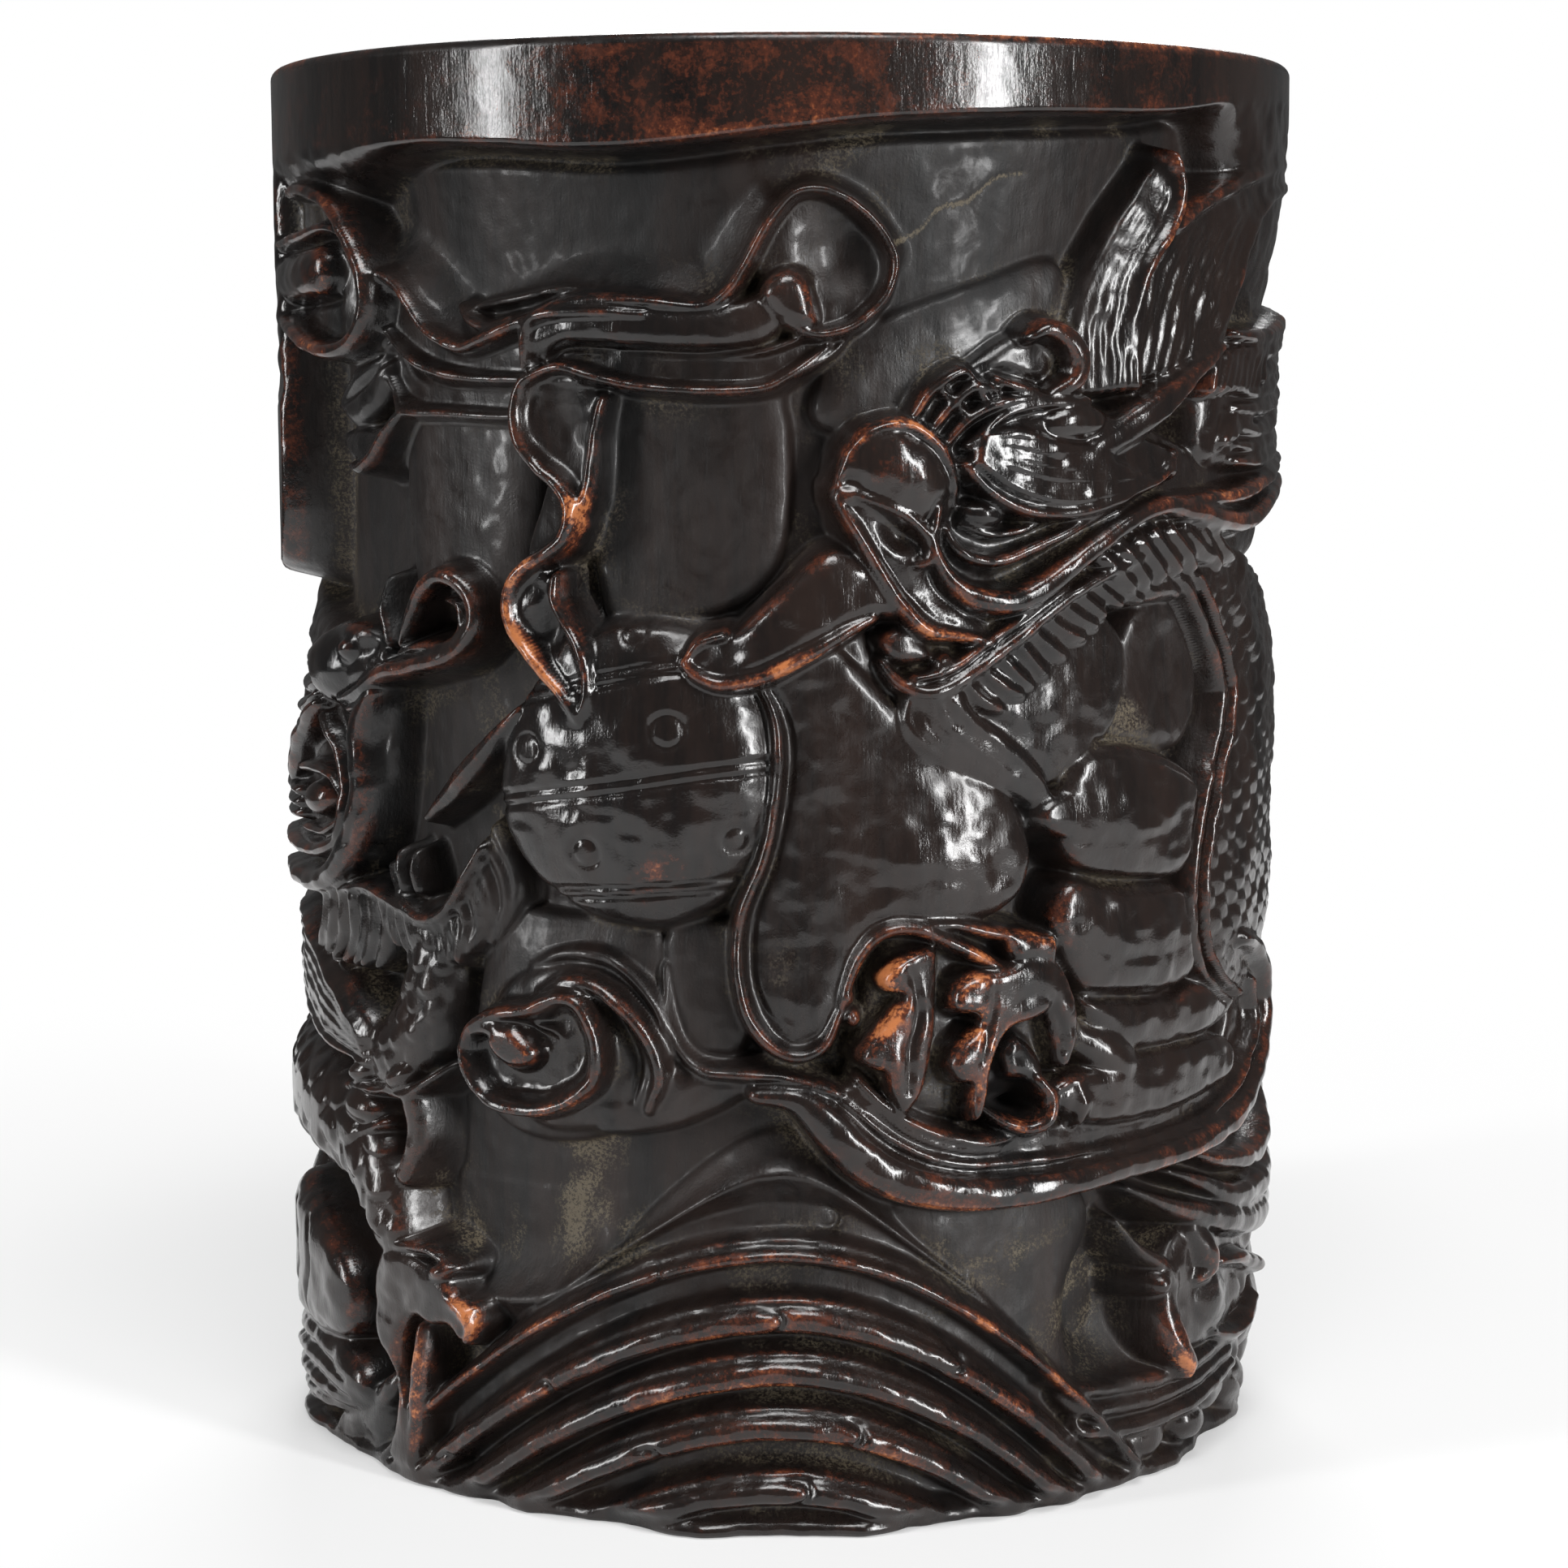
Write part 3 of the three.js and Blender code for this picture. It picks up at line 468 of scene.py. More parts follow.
def carve_rocks(r):
    """Rocks and spray along the foot at both sides."""
    for u, v, a, b, height, turn in [(-111, 15, 6.4, 6.4, 0.66, 0), (-104, 22, 7, 6.4, 0.78, 12),
            (-95, 26, 8, 5.6, 0.88, -10), (-94, 15, 7, 6, 0.84, 6), (-103, 9.6, 8, 5.8, 0.76, -12),
            (-92, 6.4, 8, 4.8, 0.82, 6), (-108, 4, 7, 3.6, 0.62, 0)]:
        r.boss(u, v, a, b, height, edge=0.45, turn=turn)
        r.groove([(u - 0.5 * a, v + 0.3 * b, 0.3, 0.3), (u, v - 0.1 * b, 0.5, 0.9),
            (u + 0.2 * a, v - 0.7 * b, 0.4, 0.5)])
    r.pad([(-82, 29.6), (-74, 28.4), (-64, 25.6), (-58.6, 21.6), (-58, 16.4), (-63, 13.2), (-76, 12.4),
        (-84, 13.6), (-88, 19), (-87, 26)], 0.985, shoulder=4.5, edge=0.62, power=2.4)
    r.boss(-65.4, 20.4, 5.2, 4.4, 0.985, edge=0.8, turn=24)
    for u, v in [(-71.4, 25.8), (-79, 26.6)]:
        r.groove([(u, v, 0.4, 0.5), (u + 1.6, v - 5, 0.7, 1.4), (u - 0.6, v - 9.6, 0.6, 1.2),
            (u + 1, v - 13, 0.4, 0.5)])
    r.pad([(-84, 12.6), (-68, 13.8), (-59, 12.4), (-55.6, 9), (-58.6, 5.6), (-70, 3), (-84, 2.2),
        (-89, 7)], 0.93, shoulder=4.5, edge=0.6, power=2.4)
    for lift in (0.0, 2.6, 5.0):
        r.groove([(-88, 8.6 - lift, 0.3, 0.3), (-80, 9.8 - lift, 0.6, 1.2), (-68, 10.4 - lift, 0.5, 0.9),
            (-60, 9.2 - 0.8 * lift, 0.3, 0.4)])
    r.boss(-57.6, 5.2, 4.6, 3.8, 0.74, edge=0.55, turn=20)
    r.pad([(62, 8), (63, 16), (68, 22.6), (78, 26.6), (90, 28.6), (104, 27), (112, 18), (111, 6),
        (98, 2.6), (76, 3)], 0.56, shoulder=5, edge=0.56)
    for u, v, a, b, height, turn in [(96, 24.6, 8, 5.4, 0.7, 14), (83, 23.4, 7.4, 5.4, 0.76, 20),
            (108, 21, 6.6, 6.4, 0.66, -20), (72, 18.4, 6.4, 5.6, 0.72, 34), (92, 15.6, 8.4, 6, 0.84, -10),
            (103, 11.4, 7, 6, 0.74, 12), (79, 12.8, 7, 5.8, 0.82, 8), (68, 10, 5.4, 4.8, 0.7, -16),
            (88, 6.4, 7.4, 4.6, 0.76, 6), (74, 5, 6.6, 3.8, 0.68, -8), (99, 4, 6.6, 3.4, 0.64, 4)]:
        r.boss(u, v, a, b, height, edge=0.45, turn=turn)
        r.groove([(u - 0.5 * a, v + 0.3 * b, 0.3, 0.3), (u - 0.1 * a, v - 0.1 * b, 0.5, 0.9),
            (u + 0.1 * a, v - 0.7 * b, 0.4, 0.5)])
    for i in range(4):
        r.stroke([(-66 + 3.4 * i, 2.4 + 1.6 * i, 1.2, 0.66), (-60 + 2.4 * i, 4 + 2 * i, 1.4, 0.7),
            (-54 + 0.9 * i, 7.6 + 1.6 * i, 0.5, 0.55)])
    r.pad([(36, 9), (40, 12), (48, 12.6), (58, 12), (68, 13.4), (74, 10), (70, 5), (60, 4.4), (50, 3.6),
        (42, 4)], 0.5, shoulder=3, edge=0.6)
    for lift, height in [(0, 0.58), (-2.2, 0.62), (-4.6, 0.66)]:
        r.stroke([(31 - lift, 14.6 + lift, 0.5, height - 0.12), (36, 12.6 + lift, 0.7, height),
            (44, 11.4 + lift, 0.9, height), (54, 11.4 + lift * 0.9, 0.9, height + 0.05),
            (66, 12.4 + lift * 0.7, 0.8, height + 0.1)])
    r.boss(56, 4.6, 3.4, 2.4, 0.72, edge=0.6)
    r.boss(62, 7.6, 4.4, 3, 0.7, edge=0.6, turn=15)
    r.boss(48, 4.6, 4, 2.4, 0.6, edge=0.6)


def carve_upper_cloud(r):
    """The cloud band under the rim, from the left scroll cup to the ring scroll."""
    wire = [(-51, 136.3), (-49, 135.8), (-46.5, 134.4), (-44.4, 132.2), (-42, 130), (-39, 128.6),
        (-36.6, 128.1), (-33, 129), (-30, 130), (-27, 131.2), (-22, 132.8), (-15, 132.8), (-8.4, 132.2),
        (-5.6, 133.6), (-3.6, 136.5), (-2, 139.6), (-0.4, 142)]
    r.flare([(u, v, 0.6) for u, v in wire], 9, side=1)
    r.flare([(0, 142.6, 0.56), (4, 144.4, 0.58), (9, 142, 0.55), (12, 138, 0.5)], 5, side=1)
    # Left part: a hollow band over a narrower one
    r.stroke([(-52, 133.6, 2.2, 0.6), (-47, 131, 3.2, 0.6), (-42, 127.8, 2.8, 0.58),
        (-36, 126.4, 2, 0.58), (-28, 127.2, 2.6, 0.66)], channel)
    r.stroke([(-50, 126.6, 2.2, 0.5), (-46.6, 124.2, 2.3, 0.54), (-40, 122.8, 1.9, 0.56),
        (-28, 122.6, 1.9, 0.56)], channel)
    r.stroke([(-50.6, 130, 0.4, 0.6), (-46, 127.2, 0.5, 0.68), (-42, 125.7, 0.5, 0.68),
        (-36, 124.8, 0.5, 0.66), (-29.6, 124.7, 0.4, 0.62)], crested)
    r.groove([(-48.6, 127.4, 0.4, 0.6), (-46.4, 125.8, 0.55, 1.4), (-44, 124.5, 0.3, 0.5)])
    r.stroke([(-50.6, 124.8, 0.4, 0.56), (-48, 122, 0.5, 0.66), (-46.4, 121.1, 0.5, 0.68),
        (-40, 121, 0.45, 0.66), (-32, 120.7, 0.4, 0.64), (-29, 121, 0.3, 0.6)], crested)
    # Right part: a full band over a hollow one, folded over at its left end
    r.stroke([(-26.6, 129, 2.4, 0.76), (-20, 130.2, 2.5, 0.84), (-10, 129.9, 2.4, 0.82),
        (-3, 130.6, 2.6, 0.72), (1, 133.6, 2, 0.6)])
    r.stroke([(-26, 125.8, 1.2, 0.7), (-20, 126, 1.8, 0.72), (-10, 125.4, 1.9, 0.7), (-2, 125.8, 2, 0.68),
        (4, 128, 1.6, 0.62), (7, 129.8, 0.8, 0.55)], channel)
    r.groove([(-25, 126.9, 0.3, 0.8), (-23, 128, 0.5, 1.8), (-15, 127.6, 0.5, 1.8), (-8, 127.3, 0.5, 1.7),
        (-3, 127.8, 0.4, 1.2), (0, 128.6, 0.25, 0.4)])
    r.stroke([(-28, 124.5, 0.45, 0.86), (-24, 126, 0.5, 0.88), (-20, 125, 0.45, 0.84),
        (-15, 124, 0.45, 0.82), (-8, 123.5, 0.45, 0.8), (-2, 123.8, 0.45, 0.78), (1, 125.2, 0.4, 0.72),
        (5, 128, 0.35, 0.62)], crested)
    r.stroke([(-28, 126, 0.4, 0.84), (-27.6, 129.6, 0.5, 0.9), (-26, 131.3, 0.55, 0.94),
        (-20, 131.7, 0.5, 0.95), (-14, 131.4, 0.35, 0.9)], crested)
    # Thin edge that runs up round the ring scroll and winds in to its knob
    ring = [(-51, 136.3, 0.5, 0.82)]
    ring += [(u, v, 0.55, 0.76) for u, v in wire[1:7]]
    ring += [(u, v, 0.6, 0.86) for u, v in wire[7:12]]
    ring += [(u, v, 0.5, 0.8) for u, v in wire[12:]]
    where_to = [(1.5, 143.8), (4, 144.2), (7, 143.2), (10, 140.8), (11.7, 138.2), (12, 135.8),
        (11, 133.2), (8.6, 130.8), (6, 129.6), (3.4, 129.4), (0.6, 130.6)]
    r.boss(5, 137, 7.4, 7.4, 0.5, edge=0.9)
    r.sink(6.4, 138, 4.6, 4.6, 2.4)
    r.stroke(ring + [(u, v, 0.42, 0.78) for u, v in where_to], crested)
    r.stroke([(-38.4, 132.6, 0.35, 0.5), (-36, 130.9, 0.45, 0.66), (-33.6, 130.2, 0.45, 0.7),
        (-30, 131, 0.4, 0.7)], crested)
    r.stroke([(-36.4, 132.4, 0.3, 0.46), (-31, 133, 0.4, 0.56), (-25, 134, 0.4, 0.58),
        (-21, 134.2, 0.3, 0.5)], crested)
    r.pad([(-2.3, 133.4), (-1.4, 135.2), (0.6, 136.2), (2.6, 135.6), (3.6, 133.4), (4.2, 130.4),
        (2, 129.7), (-0.8, 131)], 0.86, shoulder=2.4, edge=0.62)
    r.groove([(1.4, 136, 0.2, 0.3), (3.2, 134.4, 0.3, 0.8), (3.7, 132, 0.3, 0.8), (4.4, 130, 0.2, 0.3)])


def carve_left_scroll(r):
    """The scroll cup at the left, open towards the side, with its rounded core."""
    r.pad([(-92, 146), (-80, 146.4), (-70, 146), (-64, 145.6), (-58, 143.2), (-54, 139.6), (-50.8, 135),
        (-51.4, 131), (-55, 128.3), (-60, 127.8), (-68, 129), (-78, 131.2), (-94, 133)], 0.7,
        shoulder=1.2, edge=0.8, dish=0.2)
    r.sink(-56, 135.6, 3, 5, 2.6)
    rim = [(-73, 145.4, 0.4, 0.95), (-69, 145.9, 0.7, 0.98), (-64, 145.5, 0.8, 0.97),
        (-60, 144.4, 0.8, 0.95), (-57, 142.4, 0.8, 0.93), (-53.6, 139, 0.8, 0.92),
        (-51.2, 135.8, 0.85, 0.92), (-50.9, 132.8, 0.85, 0.92), (-52.2, 130, 0.85, 0.93),
        (-55, 128.3, 0.85, 0.95), (-59, 127.7, 0.85, 0.97), (-64, 128.2, 0.8, 0.98),
        (-72, 130, 0.8, 0.985), (-84, 132.4, 0.7, 0.985)]
    r.stroke(rim)
    r.stroke([(-90, 141, 0.7, 0.98), (-80, 140, 0.8, 0.985), (-70, 140.5, 0.7, 0.96),
        (-62, 141.4, 0.6, 0.88), (-57.6, 140.6, 0.5, 0.78), (-55.4, 138, 0.3, 0.6)], crested)
    r.stroke([(-92, 136, 2.8, 0.985), (-80, 136, 2.8, 0.985), (-70, 136.2, 2.8, 0.985),
        (-63.4, 136.7, 2.9, 0.95)])
    r.groove([(-76, 133, 0.4, 0.8), (-68, 133.2, 0.5, 1.2), (-61, 133.4, 0.4, 0.8)])
    # Lobes that hang under it
    r.pad([(-50, 126.6), (-54, 127.4), (-60, 125.4), (-63.4, 121.6), (-60, 119), (-54.6, 120),
        (-50.6, 122.8)], 0.6, shoulder=2.6, edge=0.5)
    r.groove([(-50.6, 127, 0.3, 0.6), (-55, 124.2, 0.5, 1.2), (-60.4, 122, 0.3, 0.6)])
    r.pad([(-46.4, 121.3), (-49, 118.6), (-52, 115.8), (-55, 114.4), (-60, 115.4), (-63.6, 118.6),
        (-58, 119.4), (-53, 119.6), (-50, 121.6)], 0.58, shoulder=2, edge=0.5)
    r.stroke([(-46.4, 121.3, 0.3, 0.66), (-49.4, 118.8, 0.6, 0.76), (-52, 116.2, 0.65, 0.8),
        (-54.6, 114.8, 0.6, 0.8), (-57, 115, 0.4, 0.74)], crested)


def carve_left_block(r):
    """The plain stretch of the blank's own face at the left."""
    r.pad([(-116, 104), (-98, 101.6), (-86, 101.6), (-80, 102.8), (-77, 106), (-75.6, 114), (-76, 124),
        (-78, 132), (-80, 139), (-84, 152), (-96, 157), (-112, 155), (-120, 128)], 0.995, shoulder=2.2,
        edge=0.9, cliff=4)


def carve_ribbon(r):
    """The twisted ribbon from the cloud to the ball: each turn shows its other face."""
    r.pad([(-28.2, 124.4), (-28.7, 121), (-28, 118), (-26, 115.4), (-23.4, 113.4), (-21.8, 110.6),
        (-20.8, 113), (-20.4, 117), (-19.4, 122.6), (-23, 125)], 0.66, shoulder=1.0, edge=0.92,
        lean=(-0.12, 0))
    r.sink(-23.6, 119.4, 2.4, 4, 1.1)
    r.pad([(-25.6, 115.2), (-23.4, 113.4), (-22, 110.6), (-22.8, 108.2), (-26, 105.8), (-29.2, 103.6),
        (-29.4, 107), (-27.6, 111)], 0.6, shoulder=1.2, edge=0.8, lean=(0.3, 0))
    r.pad([(-29.6, 101.4), (-28.8, 97.8), (-25.4, 93.8), (-21.6, 89.6), (-20.2, 92.4), (-20.9, 96),
        (-22.8, 99.4), (-24.6, 103.4), (-27, 104.6)], 0.76, shoulder=1.0, edge=0.92)
    r.sink(-25, 99, 1.5, 4, 1.9, turn=-20)
    edge = [(-26, 125.4, 0.4, 0.84), (-28, 124.2, 0.6, 0.9), (-28.8, 121, 0.7, 0.92),
        (-28, 118, 0.7, 0.93), (-26, 115.5, 0.7, 0.94), (-23.5, 113.5, 0.75, 0.96),
        (-22.1, 111, 0.8, 0.97), (-23, 108, 0.75, 0.97), (-25.2, 106.2, 0.7, 0.96),
        (-27.6, 105, 0.7, 0.95), (-29.3, 103, 0.7, 0.95), (-29.9, 100.4, 0.7, 0.96),
        (-28.8, 97.6, 0.7, 0.97), (-25.4, 93.8, 0.7, 0.985), (-22.6, 91, 0.6, 0.99),
        (-21.2, 88.8, 0.3, 0.99)]
    r.stroke(edge)
    r.stroke([(-24.4, 104, 0.35, 0.84), (-24.5, 101.6, 0.5, 0.87), (-23, 99, 0.55, 0.9),
        (-21, 96, 0.6, 0.95), (-20.3, 92.4, 0.55, 0.985), (-20.9, 89.6, 0.35, 0.99)])
    r.stroke([(-19.3, 122.8, 0.35, 0.7), (-20.2, 119, 0.45, 0.76), (-20.5, 116, 0.5, 0.82),
        (-20.9, 112.6, 0.5, 0.88), (-22, 110, 0.4, 0.92)], crested)


def carve_ball(r):
    """The ball: a full dome with doubled hoops and ringed studs cut into it."""
    outline = [(-29, 92.6), (-22, 98.4), (-15.5, 100), (-7, 98.6), (-1.6, 93), (0, 85), (-1, 77),
        (-4, 70.4), (-11.5, 66.2), (-20, 66.4), (-28, 70), (-33.4, 76.6), (-33.6, 83)]
    path = spline(outline, 8, closed=True)
    where, u, v = r.around(path, 2)
    q = np.hypot((u + 17) / 17.2, (v - 83) / 17.2)
    s = depth_inside(path, u, v)
    dome = 0.2 + 0.785 * np.sqrt(np.maximum(1 - 0.93 * np.minimum(q, 1) ** 2.2, 0))
    r.rise(where, r.depth * dome * (0.55 + 0.45 * smoothstep(0, 1.5, s)) + CLIFF * np.minimum(s, 0),
        blend=TIGHT_BLEND)
    for hoop in [[(-33.6, 79.2), (-26, 80.6), (-17, 82), (-8, 83.5), (-0.6, 84.2)], [(-28.6, 69.3),
            (-22, 70.1), (-14, 70.8), (-4, 71.6)], [(-28.4, 91), (-20, 93), (-14, 94.2), (-9.6, 94.8)]]:
        for lift in (-0.6, 0.6):
            r.groove([(u, v + lift, 0.24, 0.62) for u, v in hoop], sharp=1.3)
    for u, v, size in [(-15.9, 98.2, 1.25), (-11.8, 88, 1.75), (-27.8, 85.4, 1.6), (-20.9, 74.8, 1.5),
            (-4.8, 76.4, 1.35)]:
        r.groove([(u + size * math.cos(a), v + size * math.sin(a), 0.22,
            0.5) for a in np.linspace(0, 2 * math.pi, 13)], sharp=1.3)
        r.boss(u, v, size * 0.8, size * 0.8, 0.0, edge=0.0)


def carve_lobes(r):
    """The smooth lobes between the ball and the foot, and the leaf in the dragon's mouth."""
    boot = [(-2, 94), (-0.5, 87), (-0.8, 80), (-2, 74), (-4.6, 68), (-4.9, 62), (-3.6, 57), (-1, 53.8),
        (2, 53), (5, 54.8), (6.4, 58.6), (8.4, 63.4), (11, 66.4), (17, 66.2), (23, 67), (27, 69.6),
        (28.2, 74), (26.4, 79.4), (21, 84), (12, 91), (4, 98)]
    path = spline(boot, 8, closed=True)
    where, u, v = r.around(path, 2)
    s = depth_inside(path, u, v)
    swell = 0.56 + 0.14 * np.exp(-(((u - 17) / 9) ** 2) - ((v - 75) / 8) ** 2)
    swell += 0.05 * np.exp(-(((u - 1) / 7) ** 2) - ((v - 62) / 12) ** 2)
    swell += 0.006 * (u - 4) * smoothstep(95, 70, v)
    edge = 0.72 + 0.28 * np.sqrt(1 - (1 - np.clip(s / 2.6, 0, 1)) ** 2)
    r.rise(where, r.depth * swell * edge + CLIFF * np.minimum(s, 0))
    r.stroke([(-3, 93.6, 0.3, 0.58), (-1, 90, 0.5, 0.68), (-0.4, 86, 0.6, 0.72), (-0.8, 80, 0.6, 0.73),
        (-2.1, 74, 0.6, 0.73), (-4.5, 68, 0.6, 0.74), (-4.8, 62, 0.6, 0.76), (-3.6, 57.2, 0.65, 0.78),
        (-1, 54, 0.65, 0.78), (2, 53.1, 0.65, 0.78), (4.6, 54.4, 0.55, 0.74), (6, 57.4, 0.4, 0.66)])
    r.groove([(-1.6, 93, 0.2, 0.2), (0.8, 88, 0.35, 0.5), (0.9, 82, 0.35, 0.5), (-0.5, 75.2, 0.35, 0.5),
        (-3, 68, 0.35, 0.5), (-3.3, 62, 0.35, 0.5), (-2, 58, 0.35, 0.4), (0.6, 55.4, 0.3, 0.3)])
    inner = [(21, 86), (25, 94), (30, 98), (35, 99.4), (39.6, 98.8), (42.4, 96), (42.2, 92), (39.6, 88),
        (35, 84), (30, 80.6), (25, 81)]
    r.pad(inner, 0.62, shoulder=3.2, edge=0.5, lean=(0.03, 0.03), blend=0.8)
    r.boss(31.6, 90.4, 11, 8.2, 0.66, edge=0.86, turn=42)
    leaf = [(-10, 95), (-8.4, 97.4), (-5.4, 98), (-0.6, 102.4), (5, 107), (10, 105), (13, 100), (9, 99.6),
        (3.4, 96.6), (-2, 93.9), (-6.6, 93)]
    r.pad(leaf, 0.86, shoulder=2.2, edge=0.7, lean=(0.0, -0.04))
    r.sink(-5.6, 95.8, 2.2, 1.2, 1.0, turn=20)
    r.stroke([(-10, 95.2, 0.4, 0.92), (-8.6, 93.8, 0.6, 0.95), (-6, 93, 0.7, 0.97),
        (-2, 93.8, 0.75, 0.97), (3, 96.3, 0.7, 0.95), (7, 98.6, 0.6, 0.9), (9.6, 99.8, 0.4, 0.84)])
    r.stroke([(-10, 95.2, 0.3, 0.9), (-8.6, 97.2, 0.5, 0.9), (-6, 98, 0.4, 0.86)], crested)


def carve_lower_cloud(r):
    """The rolled cloud under the lobes, with a coil at its left end."""
    r.pad([(-14, 54), (-11, 51.8), (-6, 50.8), (0, 50.6), (5, 49.6), (3, 47.6), (0, 48.4), (-4, 48.2),
        (-8, 46.2), (-14, 44), (-22, 43.4), (-18, 48)], 0.46, shoulder=2.2, edge=0.6)
    r.stroke([(-13.6, 62, 0.3, 0.36), (-13, 57, 0.45, 0.44), (-11.4, 53, 0.5, 0.54), (-8, 51, 0.6, 0.64),
        (0, 50.6, 0.7, 0.72), (6, 48.8, 0.6, 0.7)], crested)
    # Coil: an open cup, wound round with two softer folds
    r.pad([(-36.8, 52), (-34, 58.6), (-27.4, 61.8), (-19, 61.4), (-13.8, 56), (-12.6, 50), (-15, 46),
        (-21, 43.8), (-30, 44)], 0.5, shoulder=2.4, edge=0.6)
    r.stroke([(-30, 61.2, 0.4, 0.4), (-25, 63, 0.6, 0.5), (-19, 62.4, 0.7, 0.54), (-14.4, 58, 0.6, 0.52),
        (-12.6, 52.6, 0.5, 0.5)], strand)
    r.stroke([(-27.6, 58.6, 0.5, 0.66), (-24, 60.3, 0.7, 0.74), (-20, 59.6, 0.8, 0.76),
        (-16.2, 56.6, 0.8, 0.75), (-14, 53, 0.8, 0.73), (-13.6, 50, 0.7, 0.7), (-15, 46.6, 0.5, 0.6)])
    r.groove([(-24, 58.8, 0.3, 0.5), (-20, 58, 0.4, 1.0), (-17.6, 55, 0.4, 1.1), (-16.2, 51.4, 0.4, 1.0),
        (-17, 47.4, 0.3, 0.6)])
    cup = [(-36.8, 52), (-35.5, 54.6), (-32, 56.4), (-28, 57.2), (-24.6, 58.8), (-22, 58.4),
        (-20.4, 55.6), (-19.8, 52.6), (-20.4, 49.8), (-22.4, 48), (-25.4, 46.5), (-29, 46), (-33, 46.6),
        (-35.8, 49)]
    r.pad(cup, 0.88, shoulder=0.8, edge=0.9, dish=0.3)
    r.stroke([*[(u, v, 0.55, 0.92) for u, v in cup], (-36.8, 52, 0.55, 0.92)])
    r.pad([(-33.4, 53.6), (-32, 55.6), (-29.4, 55.8), (-27.2, 54), (-26.2, 52.6), (-27.2, 50.9),
        (-30, 50.2), (-32.2, 51.4)], 0.985, shoulder=2.2, edge=0.6)
    r.stroke([(-35.4, 54, 0.5, 0.9), (-33.6, 54.8, 0.9, 0.92), (-31.8, 54.6, 1, 0.94)])
    r.stroke([(-29, 57, 0.3, 0.8), (-27.4, 55.6, 0.4, 0.78), (-25.2, 54.8, 0.4, 0.7),
        (-24, 53.4, 0.3, 0.6)], crested)
    # Broad roll that bears the foot
    r.pad([(5, 47), (8, 50), (12, 47.4), (20, 44), (32, 44), (46, 44), (62, 46), (66, 52), (62, 58),
        (70, 58), (75, 53), (75, 47), (68, 41.4), (40, 38.4), (20, 38), (11, 41)], 0.62, shoulder=2,
        edge=0.75)
    roll = [(-3, 48.8, 0.8, 0.74), (1.5, 48.2, 1.4, 0.82), (5, 45.4, 2.2, 0.9), (8.5, 41.8, 2.4, 0.93),
        (13, 39.2, 2.2, 0.95), (19, 37.6, 2, 0.96), (27, 37.2, 1.8, 0.97), (38, 37.8, 1.5, 0.98),
        (54, 38.6, 1.4, 0.985), (64, 40, 1.4, 0.985), (71, 43.4, 1.4, 0.985), (75.8, 48.6, 1.3, 0.985),
        (75.4, 54, 1.2, 0.985), (71, 58, 1.1, 0.98), (65, 60, 0.8, 0.96)]
    r.stroke(roll)
    for rows in [[(6.6, 48, 0.3, 0.7), (12, 43.6, 0.5, 0.78), (18, 41, 0.55, 0.8), (26, 40.2, 0.5, 0.78),
            (50, 40.3, 0.4, 0.78), (62, 42, 0.45, 0.84), (69, 45.6, 0.5, 0.9), (72.4, 50, 0.5, 0.9),
            (70.6, 54.4, 0.4, 0.88)], [(9.6, 47.6, 0.3, 0.66), (14, 44.2, 0.45, 0.74),
            (19, 42.2, 0.45, 0.74), (24, 41.6, 0.35, 0.7)], [(8, 50.4, 0.3, 0.66), (12, 46.6, 0.5, 0.74),
            (17, 44, 0.5, 0.76), (22, 42.7, 0.5, 0.74), (26, 42.8, 0.3, 0.66)]]:
        r.stroke(rows, crested)
    r.pad([(30.6, 46), (31.4, 48.4), (35, 49.4), (44, 50), (54, 49.8), (61, 49.6), (64.6, 47.6), (64, 45),
        (58, 43.4), (46, 42.6), (36, 43.2)], 0.82, shoulder=1.8, edge=0.72)
    r.stroke([(30.4, 47.4, 0.3, 0.8), (32, 48.4, 0.5, 0.84), (35, 48.8, 0.3, 0.8)], crested)
    r.stroke([(33.4, 48.2, 0.4, 0.84), (34, 46, 0.9, 0.9), (33.8, 43.8, 0.4, 0.84)])
    r.boss(39.6, 50, 7.2, 3, 0.84, edge=0.5, turn=-32)


